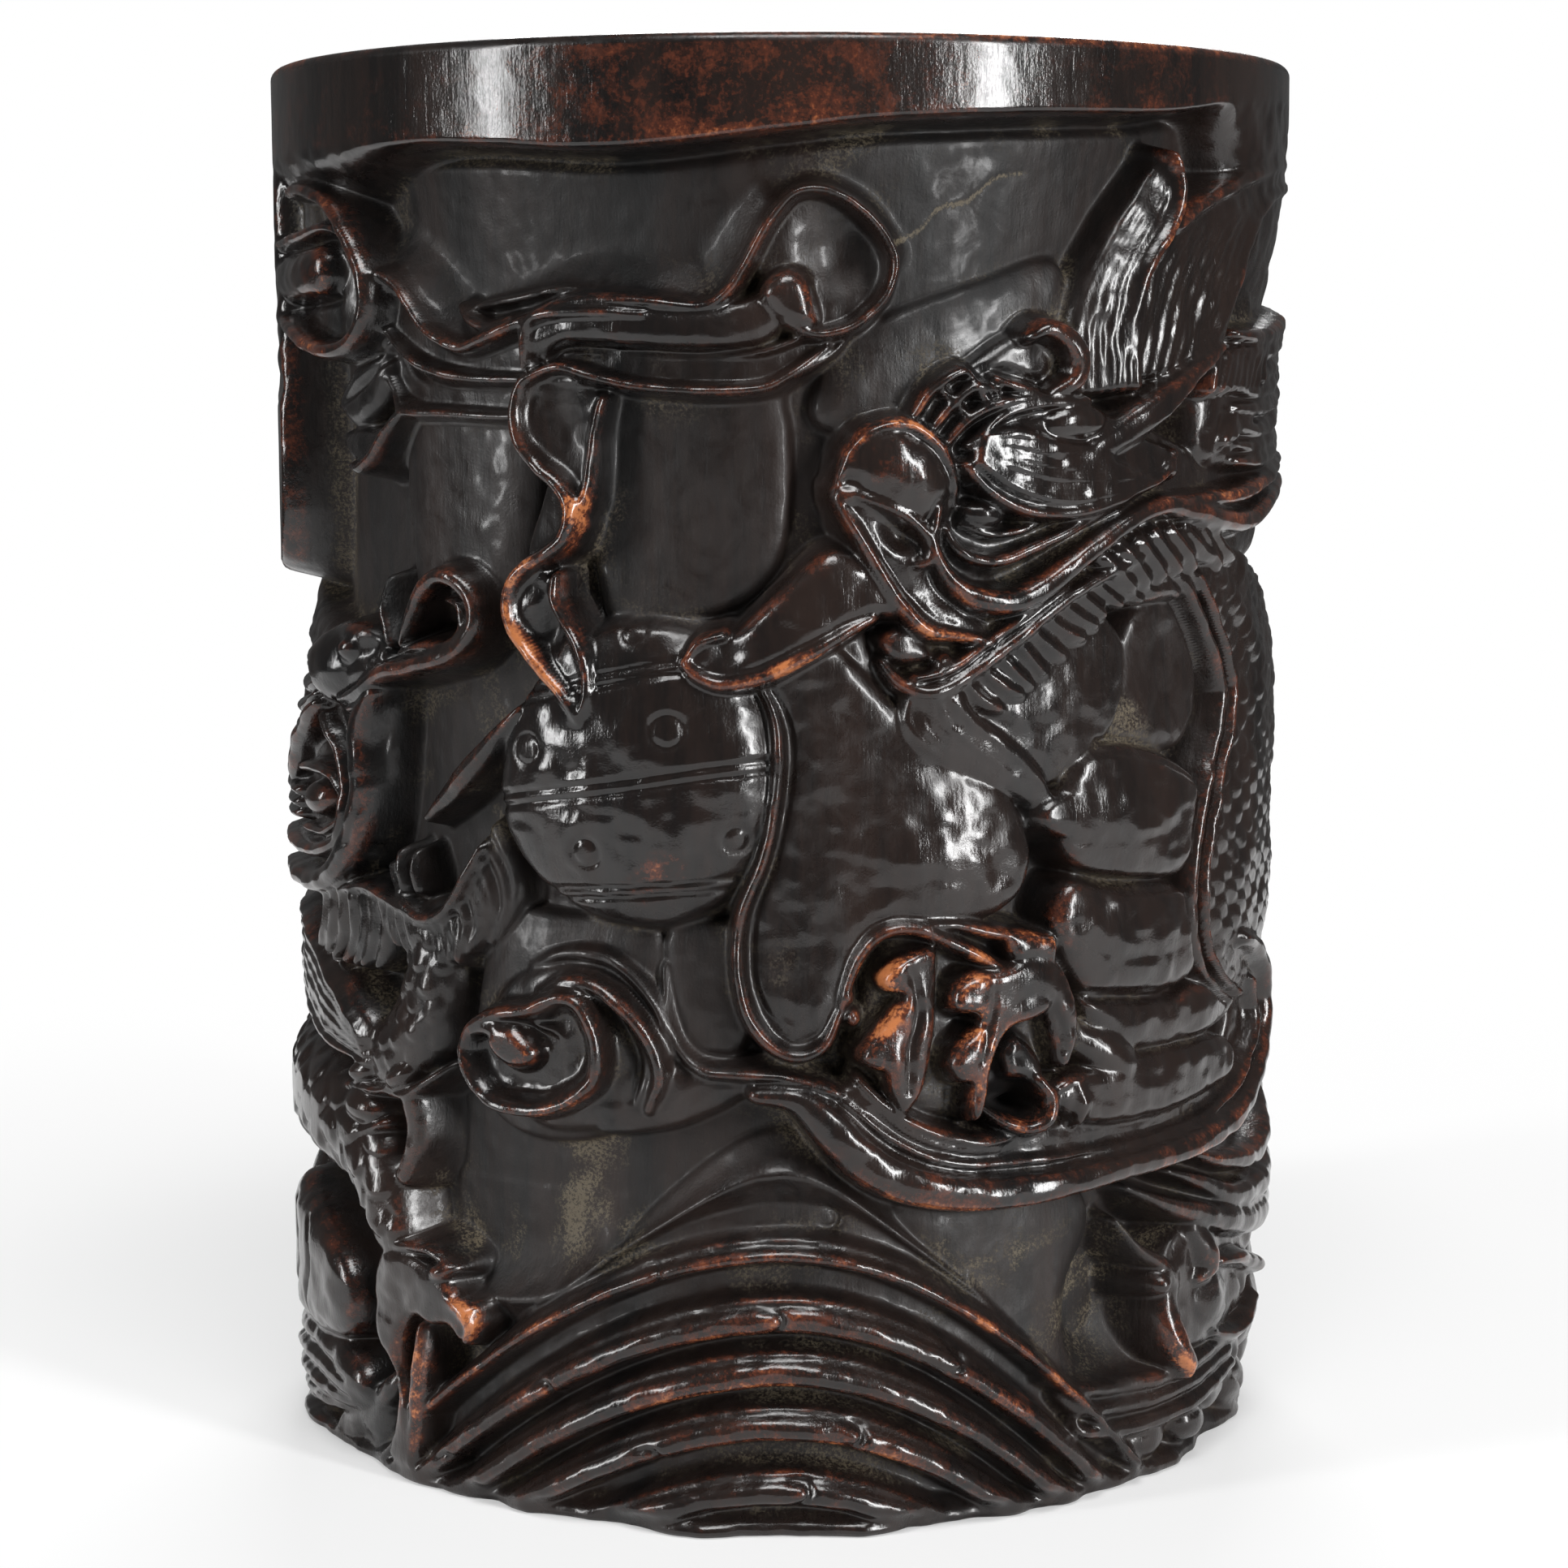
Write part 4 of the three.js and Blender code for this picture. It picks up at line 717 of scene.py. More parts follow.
def carve_head(r):
    """The large dragon's head, from the nose to the back of the jaw."""
    skull = [(6, 111), (8, 117.5), (12, 120), (18, 120), (24, 122.6), (34, 122.6), (46, 119.5), (58, 116),
        (72, 115), (84, 112), (84, 104), (62, 103), (50, 103.6), (38, 101), (28, 96), (19, 94), (12, 99),
        (8, 106)]
    r.pad(skull, 0.62, shoulder=5, edge=0.6)
    # Snout
    r.pad([(5.4, 111.6), (7, 116.4), (9.6, 119.4), (13, 120), (16.4, 118), (18.4, 114.4), (18.8, 110.4),
        (16, 108.6), (16, 104.6), (20, 100.6), (23.4, 97.6), (17, 97.6), (12.6, 101), (9, 106.4)], 0.78,
        shoulder=2.6, edge=0.7)
    r.boss(12.6, 114.9, 6.6, 4.5, 0.985, edge=0.62, turn=-42)
    r.boss(8.6, 116.2, 2.6, 2.6, 0.86, edge=0.7)
    r.stroke([(6, 114, 0.35, 0.8), (7.2, 117, 0.45, 0.86), (9.6, 119.4, 0.5, 0.9), (13, 120, 0.5, 0.92),
        (16.2, 118, 0.5, 0.9), (18, 115, 0.4, 0.86), (18.8, 111.4, 0.35, 0.8)], crested)
    r.boss(6.6, 112.6, 1.7, 1.2, 0.86, edge=0.7, turn=-30)
    r.stroke([(5.6, 112.4, 0.4, 0.84), (7.6, 109, 0.6, 0.92), (10, 104.9, 0.65, 0.94),
        (12.6, 101, 0.65, 0.94), (15.2, 98.4, 0.65, 0.93), (18.4, 97.7, 0.6, 0.92),
        (22.4, 96.9, 0.5, 0.88)])
    r.stroke([(7.2, 113, 0.4, 0.84), (10.4, 111.7, 0.5, 0.9), (13.4, 110, 0.6, 0.93),
        (15.4, 107.9, 0.6, 0.94), (15.5, 105.9, 0.55, 0.92), (14.2, 105.3, 0.4, 0.88)])
    r.sink(12.2, 108.6, 2.4, 1.3, 1.7, turn=-38)
    for i in range(5):
        r.groove([(10.6 + 1.15 * i, 106 - 0.3 * i, 0.22, 0.2),
            (13.2 + 1.1 * i, 102.6 - 0.1 * i, 0.26, 0.6), (16.2 + i, 99.6 + 0.2 * i, 0.26, 0.6),
            (18.8 + 0.8 * i, 97.9 + 0.25 * i, 0.2, 0.2)])
    # Eye in its socket, with the folds under it
    r.pad([(17, 112.6), (20, 114.4), (24, 112.8), (29, 111), (40, 110.6), (46, 112), (40, 109),
        (30, 104.4), (22, 103), (18, 105)], 0.58, shoulder=1.6, edge=0.9)
    r.sink(24, 110.4, 6.5, 2.2, 2.0, turn=-6)
    r.sink(27, 104.4, 7, 1.2, 1.3, turn=14)
    r.boss(21.8, 110.4, 2.9, 1.75, 0.84, edge=0.62, turn=-8)
    r.stroke([(17.4, 109, 0.4, 0.82), (18.4, 107, 0.55, 0.88), (20.4, 105.8, 0.6, 0.9),
        (23.6, 105.6, 0.6, 0.9), (28, 107, 0.6, 0.9), (33, 109, 0.6, 0.88), (38, 110.9, 0.5, 0.87),
        (43.4, 112.8, 0.3, 0.82)])
    r.stroke([(19.4, 109.4, 0.3, 0.74), (22, 108.4, 0.4, 0.78), (25, 108.4, 0.4, 0.78),
        (29, 109.4, 0.4, 0.78), (34, 111, 0.4, 0.8), (40, 112.2, 0.3, 0.78)], crested)
    # Cheek ridge from the nose's root to the back of the jaw
    r.stroke([(16.6, 111.4, 0.4, 0.84), (15.9, 108, 0.5, 0.9), (16.8, 105, 0.7, 0.94),
        (18.6, 102.8, 0.95, 0.96), (21.4, 101.4, 1.2, 0.985), (25, 101.3, 1.3, 0.99),
        (29.5, 103.2, 1.25, 0.99), (34, 106.2, 1.1, 0.99), (39, 109, 1.0, 0.99), (44.5, 110.7, 1.0, 0.99),
        (50, 110.2, 1.2, 0.995), (56, 108.9, 1.2, 0.99), (64, 108.4, 1.2, 0.99), (72, 110, 1.1, 0.99),
        (84, 112.4, 0.9, 0.985)])
    r.stroke([(47, 111.4, 0.3, 0.9), (54, 111.2, 0.7, 0.95), (62, 111.4, 0.9, 0.97),
        (72, 113, 0.9, 0.985), (86, 115, 0.7, 0.98)])
    # Brow: locks of hair that fan from the nose's root over the eye
    r.pad([(19.6, 116.4), (21.6, 119), (25, 120.8), (31, 121.8), (37, 121), (42, 118.6), (47.6, 116.6),
        (45, 113.6), (40, 112.4), (34, 110.9), (28.6, 110.7), (24.6, 111.8), (21.4, 114)], 0.82,
        shoulder=2, edge=0.8)
    r.comb([(21, 118.6), (25, 118.8), (28.6, 117.8), (31.6, 116.4)], [(20.4, 116), (25, 113.2),
        (31, 111.8), (38, 112.6)], 6, (0.93, 0.97), tip=-0.02)
    r.comb([(30, 117.2), (34, 116.6), (38, 115.4)], [(34, 112.6), (38.4, 112.6), (43, 113.6)], 4,
        (0.95, 0.95), tip=-0.02)
    r.stroke([(19.4, 115.6, 0.4, 0.9), (21.8, 113.1, 0.5, 0.95), (25, 111.2, 0.6, 0.97),
        (29, 110.4, 0.6, 0.97), (34, 110.7, 0.6, 0.97), (40, 112.3, 0.5, 0.95), (45, 114, 0.5, 0.93),
        (47.4, 116.6, 0.3, 0.9)])
    r.stroke([(19.8, 117.6, 0.4, 0.86), (23.6, 120.8, 0.5, 0.9), (28, 121.9, 0.5, 0.92),
        (34, 122.2, 0.4, 0.9)], crested)
    r.boss(32.4, 120, 4, 1.9, 0.995, edge=0.76, turn=4)
    r.boss(46.4, 114.8, 1.3, 1.7, 0.93, edge=0.7, turn=20)
    # Horn
    r.stroke([(33.6, 116.6, 1, 0.9), (38, 118.2, 1.8, 0.95), (42.4, 120.4, 2.1, 0.985),
        (47, 123.2, 1.6, 0.99), (51, 125.7, 1.1, 0.99), (54.9, 127.8, 0.5, 0.98)])
    r.groove([(38, 116.8, 0.3, 0.3), (44, 119.4, 0.4, 0.5), (50, 123.6, 0.3, 0.3)])
    # Curls on the forehead and the hooked curl over them
    r.pad([(14, 121), (16, 124), (20.6, 126.4), (25, 124), (29, 122.8), (24, 121.6), (20, 119.4),
        (17, 117.6)], 0.6, shoulder=2, edge=0.7)
    for rows in [[(14.2, 121, 0.4, 0.76), (16, 123.6, 0.5, 0.84), (19, 125.4, 0.5, 0.86),
            (20.4, 124.6, 0.4, 0.8)], [(16.2, 119.4, 0.4, 0.76), (18, 121.8, 0.5, 0.84),
            (20.4, 123.8, 0.55, 0.88), (23, 123.4, 0.4, 0.84)], [(17.4, 117.6, 0.4, 0.78),
            (19.8, 120.4, 0.5, 0.86), (23, 122, 0.55, 0.9), (27, 122.6, 0.5, 0.9),
            (31, 122.9, 0.3, 0.84)], [(20.4, 124.8, 0.3, 0.8), (21.4, 122.8, 0.45, 0.86),
            (22.6, 122, 0.3, 0.84)], [(16.6, 123.8, 0.3, 0.78), (18.4, 122.2, 0.4, 0.82),
            (19.6, 121, 0.3, 0.8)], [(22.8, 124.6, 0.4, 0.84), (25, 123.8, 0.55, 0.88),
            (28, 123.2, 0.4, 0.84)]]:
        r.stroke(rows, crested)
    r.pad([(20, 125.6), (23, 128), (26, 129.4), (29.6, 129.4), (31.4, 126.6), (29.4, 123.8), (25, 124.6),
        (22, 124.6)], 0.6, shoulder=2, edge=0.6)
    r.stroke([(26.8, 129, 0.4, 0.9), (28.6, 129.8, 0.8, 0.97), (31, 129, 1.2, 0.985),
        (32.6, 126.8, 1.3, 0.97), (32.2, 124.4, 1.1, 0.92), (29.6, 123, 0.6, 0.86)])
    # Lower jaw, with the tooth in the mouth
    r.sink(18, 95.8, 4.5, 1.6, 1.6, turn=20)
    r.stroke([(10.8, 95, 0.4, 0.6), (12.6, 92.8, 0.6, 0.72), (15.4, 91.8, 0.7, 0.8),
        (18.4, 92.7, 0.7, 0.84), (22.4, 95.2, 0.7, 0.87), (27.2, 98.5, 0.7, 0.88),
        (32, 101.5, 0.65, 0.88), (37, 103.7, 0.5, 0.88), (42, 105.1, 0.35, 0.86)])
    r.stroke([(14, 93.2, 0.3, 0.76), (18, 94.2, 0.4, 0.82), (22, 96.8, 0.4, 0.84), (27, 100, 0.4, 0.85),
        (31.6, 102.6, 0.3, 0.84)], crested)
    r.pad([(10.4, 97.6), (12.6, 99), (15, 97.6), (16.4, 95.4), (13.6, 94.6), (11.4, 95.4)], 0.7,
        shoulder=1.4, edge=0.7)
    r.boss(17.4, 94.8, 1.4, 1.2, 0.76, edge=0.7, turn=40)
    r.pad([(5, 97), (9, 98.4), (12, 93.4), (16, 90), (14, 86), (10, 88)], 0.42, shoulder=3, edge=0.5)


def carve_tuft(r, u, v, reach, width, height, flutes=3):
    """One pointed lock of hair."""
    sway = math.sin(12.9 * u + 4.7 * v)
    du, dv = reach[0] * (1 + 0.16 * sway), reach[1] * (1 - 0.12 * sway)
    width *= 1 + 0.14 * math.sin(7.1 * u - 3.3 * v)
    r.stroke([(u, v, width * 0.9, height), (u + 0.45 * du, v + (0.55 + 0.08 * sway) * dv, width,
        height * 0.99), (u + 0.8 * du, v + 0.88 * dv, width * 0.6, height * 0.95),
        (u + du, v + dv, 0.15, height * 0.8)], strand, flutes=flutes, flute=0.45)


def carve_hair(r):
    """Beard, mane and the two fluted flames behind the horn."""
    # Beard: blades in two tiers under the jaw, and the long lock at its front
    for i in range(9):
        share = i / 8
        carve_tuft(r, 17 + 17 * share, 92.2 + 9.2 * share, (5.2 - 0.4 * share, -4.6 + 2.4 * share), 1.25,
            0.8, 2)
    r.comb([(13.6, 91), (13.4, 88.4), (15.4, 86), (20, 83.2), (26, 80.6), (31.4, 76.4)], [(18.4, 91.6),
        (20, 88.8), (23.6, 86), (27.4, 83), (30.4, 79.6), (32.2, 76)], 6, (0.7, 0.78), tip=-0.06)
    for i in range(8):
        share = i / 7
        carve_tuft(r, 36.4 + 19 * share, 105.4 + 2.4 * share - 4 * (share - 0.5) ** 2 + 1,
            (6.2, -3.6 - 0.8 * share), 1.35, 0.9 + 0.03 * share, 2)
    for i in range(7):
        share = i / 6
        carve_tuft(r, 35.4 + 15 * share, 103 + 0.8 * share, (6.6, -2.8), 1.2, 0.78, 2)
    # Flame behind the horn: locks that rise, bend and meet in one tip
    r.comb([(34.6, 123.4), (34.4, 129), (36.6, 135), (40.6, 141), (45, 146.4), (46.4, 148.6)],
        [(41.4, 124), (41.4, 130), (43, 136), (46.4, 140.6), (48, 144.4), (46.8, 148.6)], 6, (0.56, 0.84),
        tip=0.04)
    r.stroke([(40, 127, 0.4, 0.8), (40.8, 132, 0.6, 0.86), (43, 136.8, 0.7, 0.9), (46.4, 141, 0.7, 0.93),
        (47.8, 144.6, 0.65, 0.93), (46.6, 148.4, 0.3, 0.9)])
    # Second flame: a broad fan between two edges that run on round the side
    r.comb([(42, 125), (43.4, 131), (46, 137), (50.6, 141.6), (58, 144.6), (66, 146.6)], [(54, 126.6),
        (57, 131.4), (60.4, 136.6), (63.4, 140.4), (67.4, 143.4), (74, 145.6)], 9, (0.72, 0.88), tip=0.08)
    r.stroke([(47.6, 140.6, 0.5, 0.84), (54, 143.7, 0.7, 0.88), (60, 145.7, 0.8, 0.93),
        (67, 147.4, 0.9, 0.97), (76, 148.6, 0.9, 0.985), (90, 149, 0.8, 0.985)])
    r.stroke([(53, 127.6, 0.6, 0.9), (57.6, 132.6, 0.8, 0.94), (61, 137.2, 0.85, 0.96),
        (64.4, 141, 0.85, 0.97), (69.4, 144, 0.85, 0.98), (78, 146, 0.8, 0.985), (92, 146.2, 0.7, 0.985)])
    # Bristles and long locks round to the side
    r.pad([(54, 116), (60, 113.6), (72, 113.6), (84, 116), (96, 120.6), (106, 126.6), (113, 133.6),
        (104, 132.6), (92, 130.6), (80, 129.6), (70, 129.2), (59, 129.4), (54, 125.4)], 0.74, shoulder=4,
        edge=0.6)
    for i in range(9):
        carve_tuft(r, 54.4 + 1.7 * i, 123.2 + 0.12 * i, (2.6, 4.6), 0.8, 0.88 + 0.01 * i, 1)
    for i in range(5):
        carve_tuft(r, 58 + 1.8 * i, 117.4 + 0.5 * i, (4.2, 3), 0.8, 0.88, 1)
    for i, (v, end, height) in enumerate([(129.2, 118, 0.96), (127.4, 112, 0.93), (125.3, 116, 0.9),
            (123.2, 108, 0.92), (121, 112, 0.93), (119, 103, 0.91), (117, 106, 0.9), (115, 97, 0.93)]):
        rise = 6.5 + 0.35 * i
        r.stroke([(60 + (128 - v) * 0.1, v, 0.4, height - 0.07), (70, v - 0.3 + 0.3 * math.sin(2 * i),
            1.05, height), (82, v + 0.16 * rise, 1.25, height),
            (0.55 * 82 + 0.45 * end, v + 0.45 * rise, 1.1, height - 0.02),
            (0.2 * 82 + 0.8 * end, v + 0.82 * rise, 0.8, height - 0.06),
            (end, v + rise + 0.8, 0.15, height - 0.16)])


def carve_body(r):
    """The large dragon's body: cushioned belly in the bend, scaled back outside it."""
    r.pad([(37, 86), (41, 92), (43.6, 98), (49, 100.6), (54, 100), (57, 95), (58, 90), (57, 86), (53, 83),
        (45, 83.6)], 0.52, shoulder=3, edge=0.66, blend=0.8)
    r.sink(47.6, 94, 6, 5, 1.0)
    bellies = [([(31, 77), (33, 82.6), (38, 85), (46, 83.8), (53.6, 80.6), (53.8, 75), (51.4, 69.4),
        (43, 69.6), (34, 71.6)], 0.8, 3.6, (40, 77.4, 11, 3.2, 0.86, -2)), ([(30.4, 65), (33, 70.4),
        (40, 69.4), (51, 68.2), (53.4, 63), (54.6, 58.4), (49, 56.2), (40, 57), (35, 58.2)], 0.82, 3.8,
        (42.6, 64.4, 9.6, 3.4, 0.88, -8)), ([(35, 57.4), (42, 56.6), (50, 56), (57, 56.4), (62, 53.8),
        (66, 52.4), (63, 50.4), (52, 49.6), (42, 50.4), (37.4, 52.6)], 0.74, 3,
        (55, 53.4, 8, 2.6, 0.8, 0))]
    for outline, height, shoulder, (u, v, a, b, top, turn) in bellies:
        r.pad(outline, height, shoulder=shoulder, edge=0.66, power=2.2, blend=0.5)
        r.boss(u, v, a, b, top, edge=0.9, turn=turn, power=1.6)
    for line in [[(36.6, 84.9), (43, 84), (49, 82.1), (54, 79.7)], [(32.6, 71.6), (38, 69.8), (44, 68.8),
            (51.4, 68.3)], [(35.6, 57.5), (42, 56.8), (49.6, 56.1)]]:
        for lift in (-0.5, 0.5):
            r.groove([(u, v + lift, 0.24, 0.75) for u, v in line])
    seam = [(53, 102.4), (56, 98.6), (60, 94), (62.2, 90.6), (62.5, 88.4), (61, 84.4), (58, 78.4),
        (56, 73), (55.2, 68), (55.6, 63), (57.5, 58.6), (61, 55.6), (66, 53.4)]
    r.pad([(80, 56), (81.6, 44), (82.6, 31), (88, 28.4), (95, 30), (100, 38), (106, 50), (110, 62),
        (104, 72), (92, 70)], 0.64, shoulder=4, edge=0.6)
    flank = seam + [(74, 52), (84, 53.6), (94, 58), (102, 66), (106, 76), (104, 88), (97, 98),
        (86, 100.6), (76, 101.6), (66, 104.6), (57, 106.4)]
    path = spline(flank, 8, closed=True)
    where, u, v = r.window(46, 110, 25, 113)
    s = depth_inside(path, u, v)
    height = r.depth * (0.68 + 0.16 * smoothstep(0.3, 12, s))
    bend = 9 * np.sin(np.radians((v - 55) * 3.4))
    height += np.where(s > 1.0, fish_scales(u * 0.96 + bend, v, 3.0) * smoothstep(1.0, 2.0, s), 0)
    r.rise(where, height + CLIFF * np.minimum(s, 0))
    r.stroke([(u - 1.7, v - 0.3, 0.95, 0.76) for u, v in seam])
    r.stroke([(u + 0.6, v, 0.5, 0.82) for u, v in seam])
    r.groove([(u - 0.5, v, 0.34, 2.4) for u, v in seam])
    r.groove([(u - 3.0, v - 0.4, 0.34, 1.6) for u, v in seam])


def carve_foot(r):
    """The clawed foot: two worn hooked claws in front, the palm arching over to the thumb."""
    r.pad([(8.4, 56), (10, 62.6), (14.4, 66.2), (20, 65.6), (28, 63.6), (32.6, 57), (32.4, 50.6),
        (28, 47), (20, 45), (12.4, 47), (8.4, 51.4)], 0.4, shoulder=2.4, edge=0.6)
    r.stroke([(6, 56.6, 0.4, 0.64), (6.8, 60, 0.55, 0.72), (8.2, 63.6, 0.65, 0.78),
        (10.6, 66.2, 0.7, 0.82), (14, 66.7, 0.7, 0.84), (17.6, 65.2, 0.7, 0.85), (22, 62.8, 0.65, 0.85),
        (26.2, 60.4, 0.4, 0.82)], crested)
    r.stroke([(14, 67, 0.4, 0.78), (19, 66.6, 0.5, 0.82), (24, 65.4, 0.55, 0.84), (29.6, 64.4, 0.4, 0.8)],
        crested)
    r.boss(7, 59.4, 0.9, 1.2, 0.7, edge=0.7)
    r.boss(7.6, 57, 0.9, 1.1, 0.7, edge=0.7)
    # First claw: a curved plate with a jagged worn edge
    r.pad([(16.4, 64.4), (12.6, 63.4), (10.4, 61.6), (11, 60.1), (13, 59.4), (11.4, 57.6), (9.4, 55.2),
        (8, 53), (9.4, 51.8), (10.8, 51.2), (11.4, 48.8), (13, 46.4), (15, 49), (16, 53), (16.6, 58),
        (16.8, 62)], 0.84, shoulder=1.2, edge=0.84, lean=(-0.16, 0), per_span=5)
    r.groove([(13.4, 62.6, 0.3, 0.3), (14.4, 58, 0.4, 0.7), (13.4, 53.4, 0.4, 0.7), (13.4, 49, 0.3, 0.4)])
    # Second claw, joined to the arch of the palm
    r.pad([(20.4, 61.4), (18.2, 60), (18.1, 57.8), (20.6, 57), (21, 55.8), (19, 54.2), (17.4, 52),
        (18.4, 50), (20, 49.6), (20, 47.2), (20.6, 45.4), (21.8, 47.2), (22.2, 50), (23, 53), (25, 55.4),
        (28, 56), (30.4, 57.6), (30.4, 61.4), (27, 62.6), (24, 61.8)], 0.96, shoulder=1.3, edge=0.84,
        lean=(-0.06, 0), per_span=5)
    r.groove([(22.4, 60.6, 0.3, 0.2), (22.2, 57, 0.35, 0.5), (21, 52, 0.3, 0.4)])
    r.pad([(24.4, 65.4), (25.6, 61.8), (28, 61), (30.6, 61.4), (30.6, 64.6), (28, 65)], 0.86,
        shoulder=1.4, edge=0.8)
    # Outer toe, thumb and its hooked claw
    r.stroke([(29, 62.4, 1.3, 0.84), (31, 58.6, 1.9, 0.88), (32, 54.6, 1.7, 0.88), (31.8, 51, 0.9, 0.84)])
    r.groove([(29.2, 58.4, 0.25, 0.5), (30.8, 55.6, 0.3, 0.8), (31.6, 52, 0.25, 0.5)])
    r.pad([(24, 52.6), (25.8, 54.4), (28, 53.4), (30, 50.6), (29.6, 48), (27, 48.8), (24.8, 49.6)], 0.74,
        shoulder=1.8, edge=0.6)
    r.stroke([(22.2, 46.6, 0.25, 0.62), (24.6, 44.8, 0.5, 0.74), (27.4, 43.8, 0.7, 0.84),
        (29.5, 44.8, 0.8, 0.9), (29.9, 47, 0.8, 0.9), (28.6, 49, 0.6, 0.84)])
    r.sink(25.4, 47, 2.6, 1.3, 1.4)
    r.boss(35.2, 52.6, 2, 2.4, 0.7, edge=0.6)


def carve_small_dragon(r):
    """The small dragon at the left: head turned up with open jaws, neck, leg and claw."""
    r.pad([(-100, 100), (-84, 98), (-74, 97), (-66, 96), (-58, 97), (-52, 93), (-51.6, 84), (-54, 75),
        (-60, 69), (-72, 65.4), (-98, 64)], 0.6, shoulder=4, edge=0.6)
    # Snout with its nostril and the curled whisker
    r.pad([(-69, 90.6), (-66.6, 95), (-61, 97.4), (-55.4, 97.6), (-51.6, 95.8), (-50.4, 93.4),
        (-54, 90.6), (-60, 88.4), (-66, 87.6)], 0.8, shoulder=2.4, edge=0.7)
    r.boss(-62.4, 92.2, 5.8, 4.2, 0.985, edge=0.66, turn=12)
    r.boss(-56.8, 94.4, 2.2, 1.6, 0.93, edge=0.7, turn=20)
    r.sink(-53.2, 94.6, 1.6, 1.5, 1.6)
    r.stroke([(-60, 88.6, 0.5, 0.84), (-55, 89.9, 0.8, 0.9), (-50.6, 92.2, 0.9, 0.9),
        (-45, 93.4, 0.9, 0.87), (-39.4, 94.8, 0.95, 0.86), (-35.8, 97.2, 1, 0.86), (-35, 100, 1, 0.86),
        (-37, 102.8, 1, 0.86), (-40.2, 103.5, 0.95, 0.85), (-43.6, 101.2, 0.85, 0.82),
        (-46, 97.6, 0.6, 0.76), (-48, 95.6, 0.3, 0.7)])
    r.stroke([(-48, 94.6, 0.3, 0.7), (-43.6, 95.6, 0.5, 0.78), (-39.4, 96, 0.6, 0.8),
        (-37, 97.8, 0.55, 0.8), (-37.6, 100.4, 0.5, 0.78), (-40, 100.8, 0.35, 0.7)])
    r.sink(-41, 98.6, 2, 1.4, 1.6, turn=20)
    r.stroke([(-52.4, 102.6, 0.3, 0.5), (-51.8, 99, 0.7, 0.66), (-50.2, 95.6, 0.5, 0.7)], crested)
    r.stroke([(-58, 87.6, 0.4, 0.82), (-54.6, 88.6, 0.55, 0.86), (-51.6, 91.2, 0.4, 0.84)], crested)
    # Jaws round the dark mouth
    r.stroke([(-51.8, 90, 0.5, 0.84), (-54.2, 87.4, 1.3, 0.93), (-55.2, 83.6, 1.7, 0.95),
        (-55, 79.4, 1.7, 0.95), (-56, 75, 1.6, 0.96), (-58.4, 71.4, 1.6, 0.97), (-62.4, 68.4, 1.4, 0.98),
        (-69, 66.6, 1.2, 0.985), (-84, 66.6, 1.1, 0.985)])
    r.groove([(-53.2, 86, 0.3, 0.5), (-53.4, 82, 0.35, 0.7), (-53.8, 78, 0.3, 0.6),
        (-56.4, 72.6, 0.3, 0.5)])
    r.stroke([(-64, 86.4, 0.6, 0.9), (-61, 82.4, 0.9, 0.92), (-59.4, 77.6, 0.9, 0.9),
        (-60.2, 73.4, 0.8, 0.92), (-64.4, 71, 0.8, 0.95), (-72, 70.2, 0.8, 0.97), (-86, 70.6, 0.7, 0.97)])
    r.stroke([(-52.4, 70.4, 0.4, 0.56), (-50, 68, 0.5, 0.62), (-48, 66.4, 0.6, 0.7),
        (-45, 65.2, 0.65, 0.74), (-42, 65.9, 0.65, 0.74), (-39.6, 68, 0.65, 0.74), (-37.6, 71, 0.6, 0.7),
        (-36, 74, 0.35, 0.6)], crested)
    r.stroke([(-62, 66.4, 0.4, 0.8), (-56, 67.6, 0.6, 0.76), (-51, 66.8, 0.5, 0.72),
        (-47.6, 65.6, 0.4, 0.7)], crested)
    for u in (-49, -46.4):
        r.stroke([(u, 68.4, 0.8, 0.6), (u - 0.3, 70.4, 0.6, 0.64), (u - 0.6, 72.4, 0.2, 0.6)])
    r.stroke([(-45, 76.4, 0.5, 0.56), (-40.6, 79.6, 1.15, 0.68), (-36, 83.4, 1.2, 0.76),
        (-31.4, 87.6, 0.7, 0.8), (-29.4, 89.6, 0.3, 0.8)], flutes=2, flute=0.5)
    # Eye under its brow
    r.sink(-66, 82.6, 5.6, 2.2, 3.2, turn=-26)
    r.sink(-62, 76.6, 1.6, 3, 2.0)
    r.boss(-67, 76.6, 3.8, 2.3, 0.96, edge=0.66, turn=6)
    r.stroke([(-74, 79.4, 0.5, 0.93), (-68, 80, 0.6, 0.93), (-62.6, 79.6, 0.55, 0.88),
        (-60.4, 77.4, 0.4, 0.82)], crested)
    r.stroke([(-72, 72.6, 0.4, 0.93), (-65, 72.8, 0.5, 0.9), (-61, 74.6, 0.4, 0.84)], crested)
    r.stroke([(-66, 87.6, 0.6, 0.93), (-70, 85.4, 0.9, 0.95), (-76, 82, 1, 0.96), (-82, 77.6, 1, 0.96),
        (-92, 74, 0.8, 0.95)])
    for i in range(4):
        r.stroke([(-98, 84 + 3.4 * i, 0.9, 0.82 - 0.06 * i), (-86, 85.4 + 3 * i, 1.1, 0.82 - 0.06 * i),
            (-74, 86.6 + 2.2 * i, 0.8, 0.84 - 0.05 * i), (-68.6, 88.4 + 1.4 * i, 0.4, 0.8)], strand)
    for i in range(3):
        r.stroke([(-100, 72.6 + 2.6 * i, 0.8, 0.95), (-88, 73 + 1.7 * i, 0.9, 0.96),
            (-77, 73.4 + 1.4 * i, 0.4, 0.93)], strand)
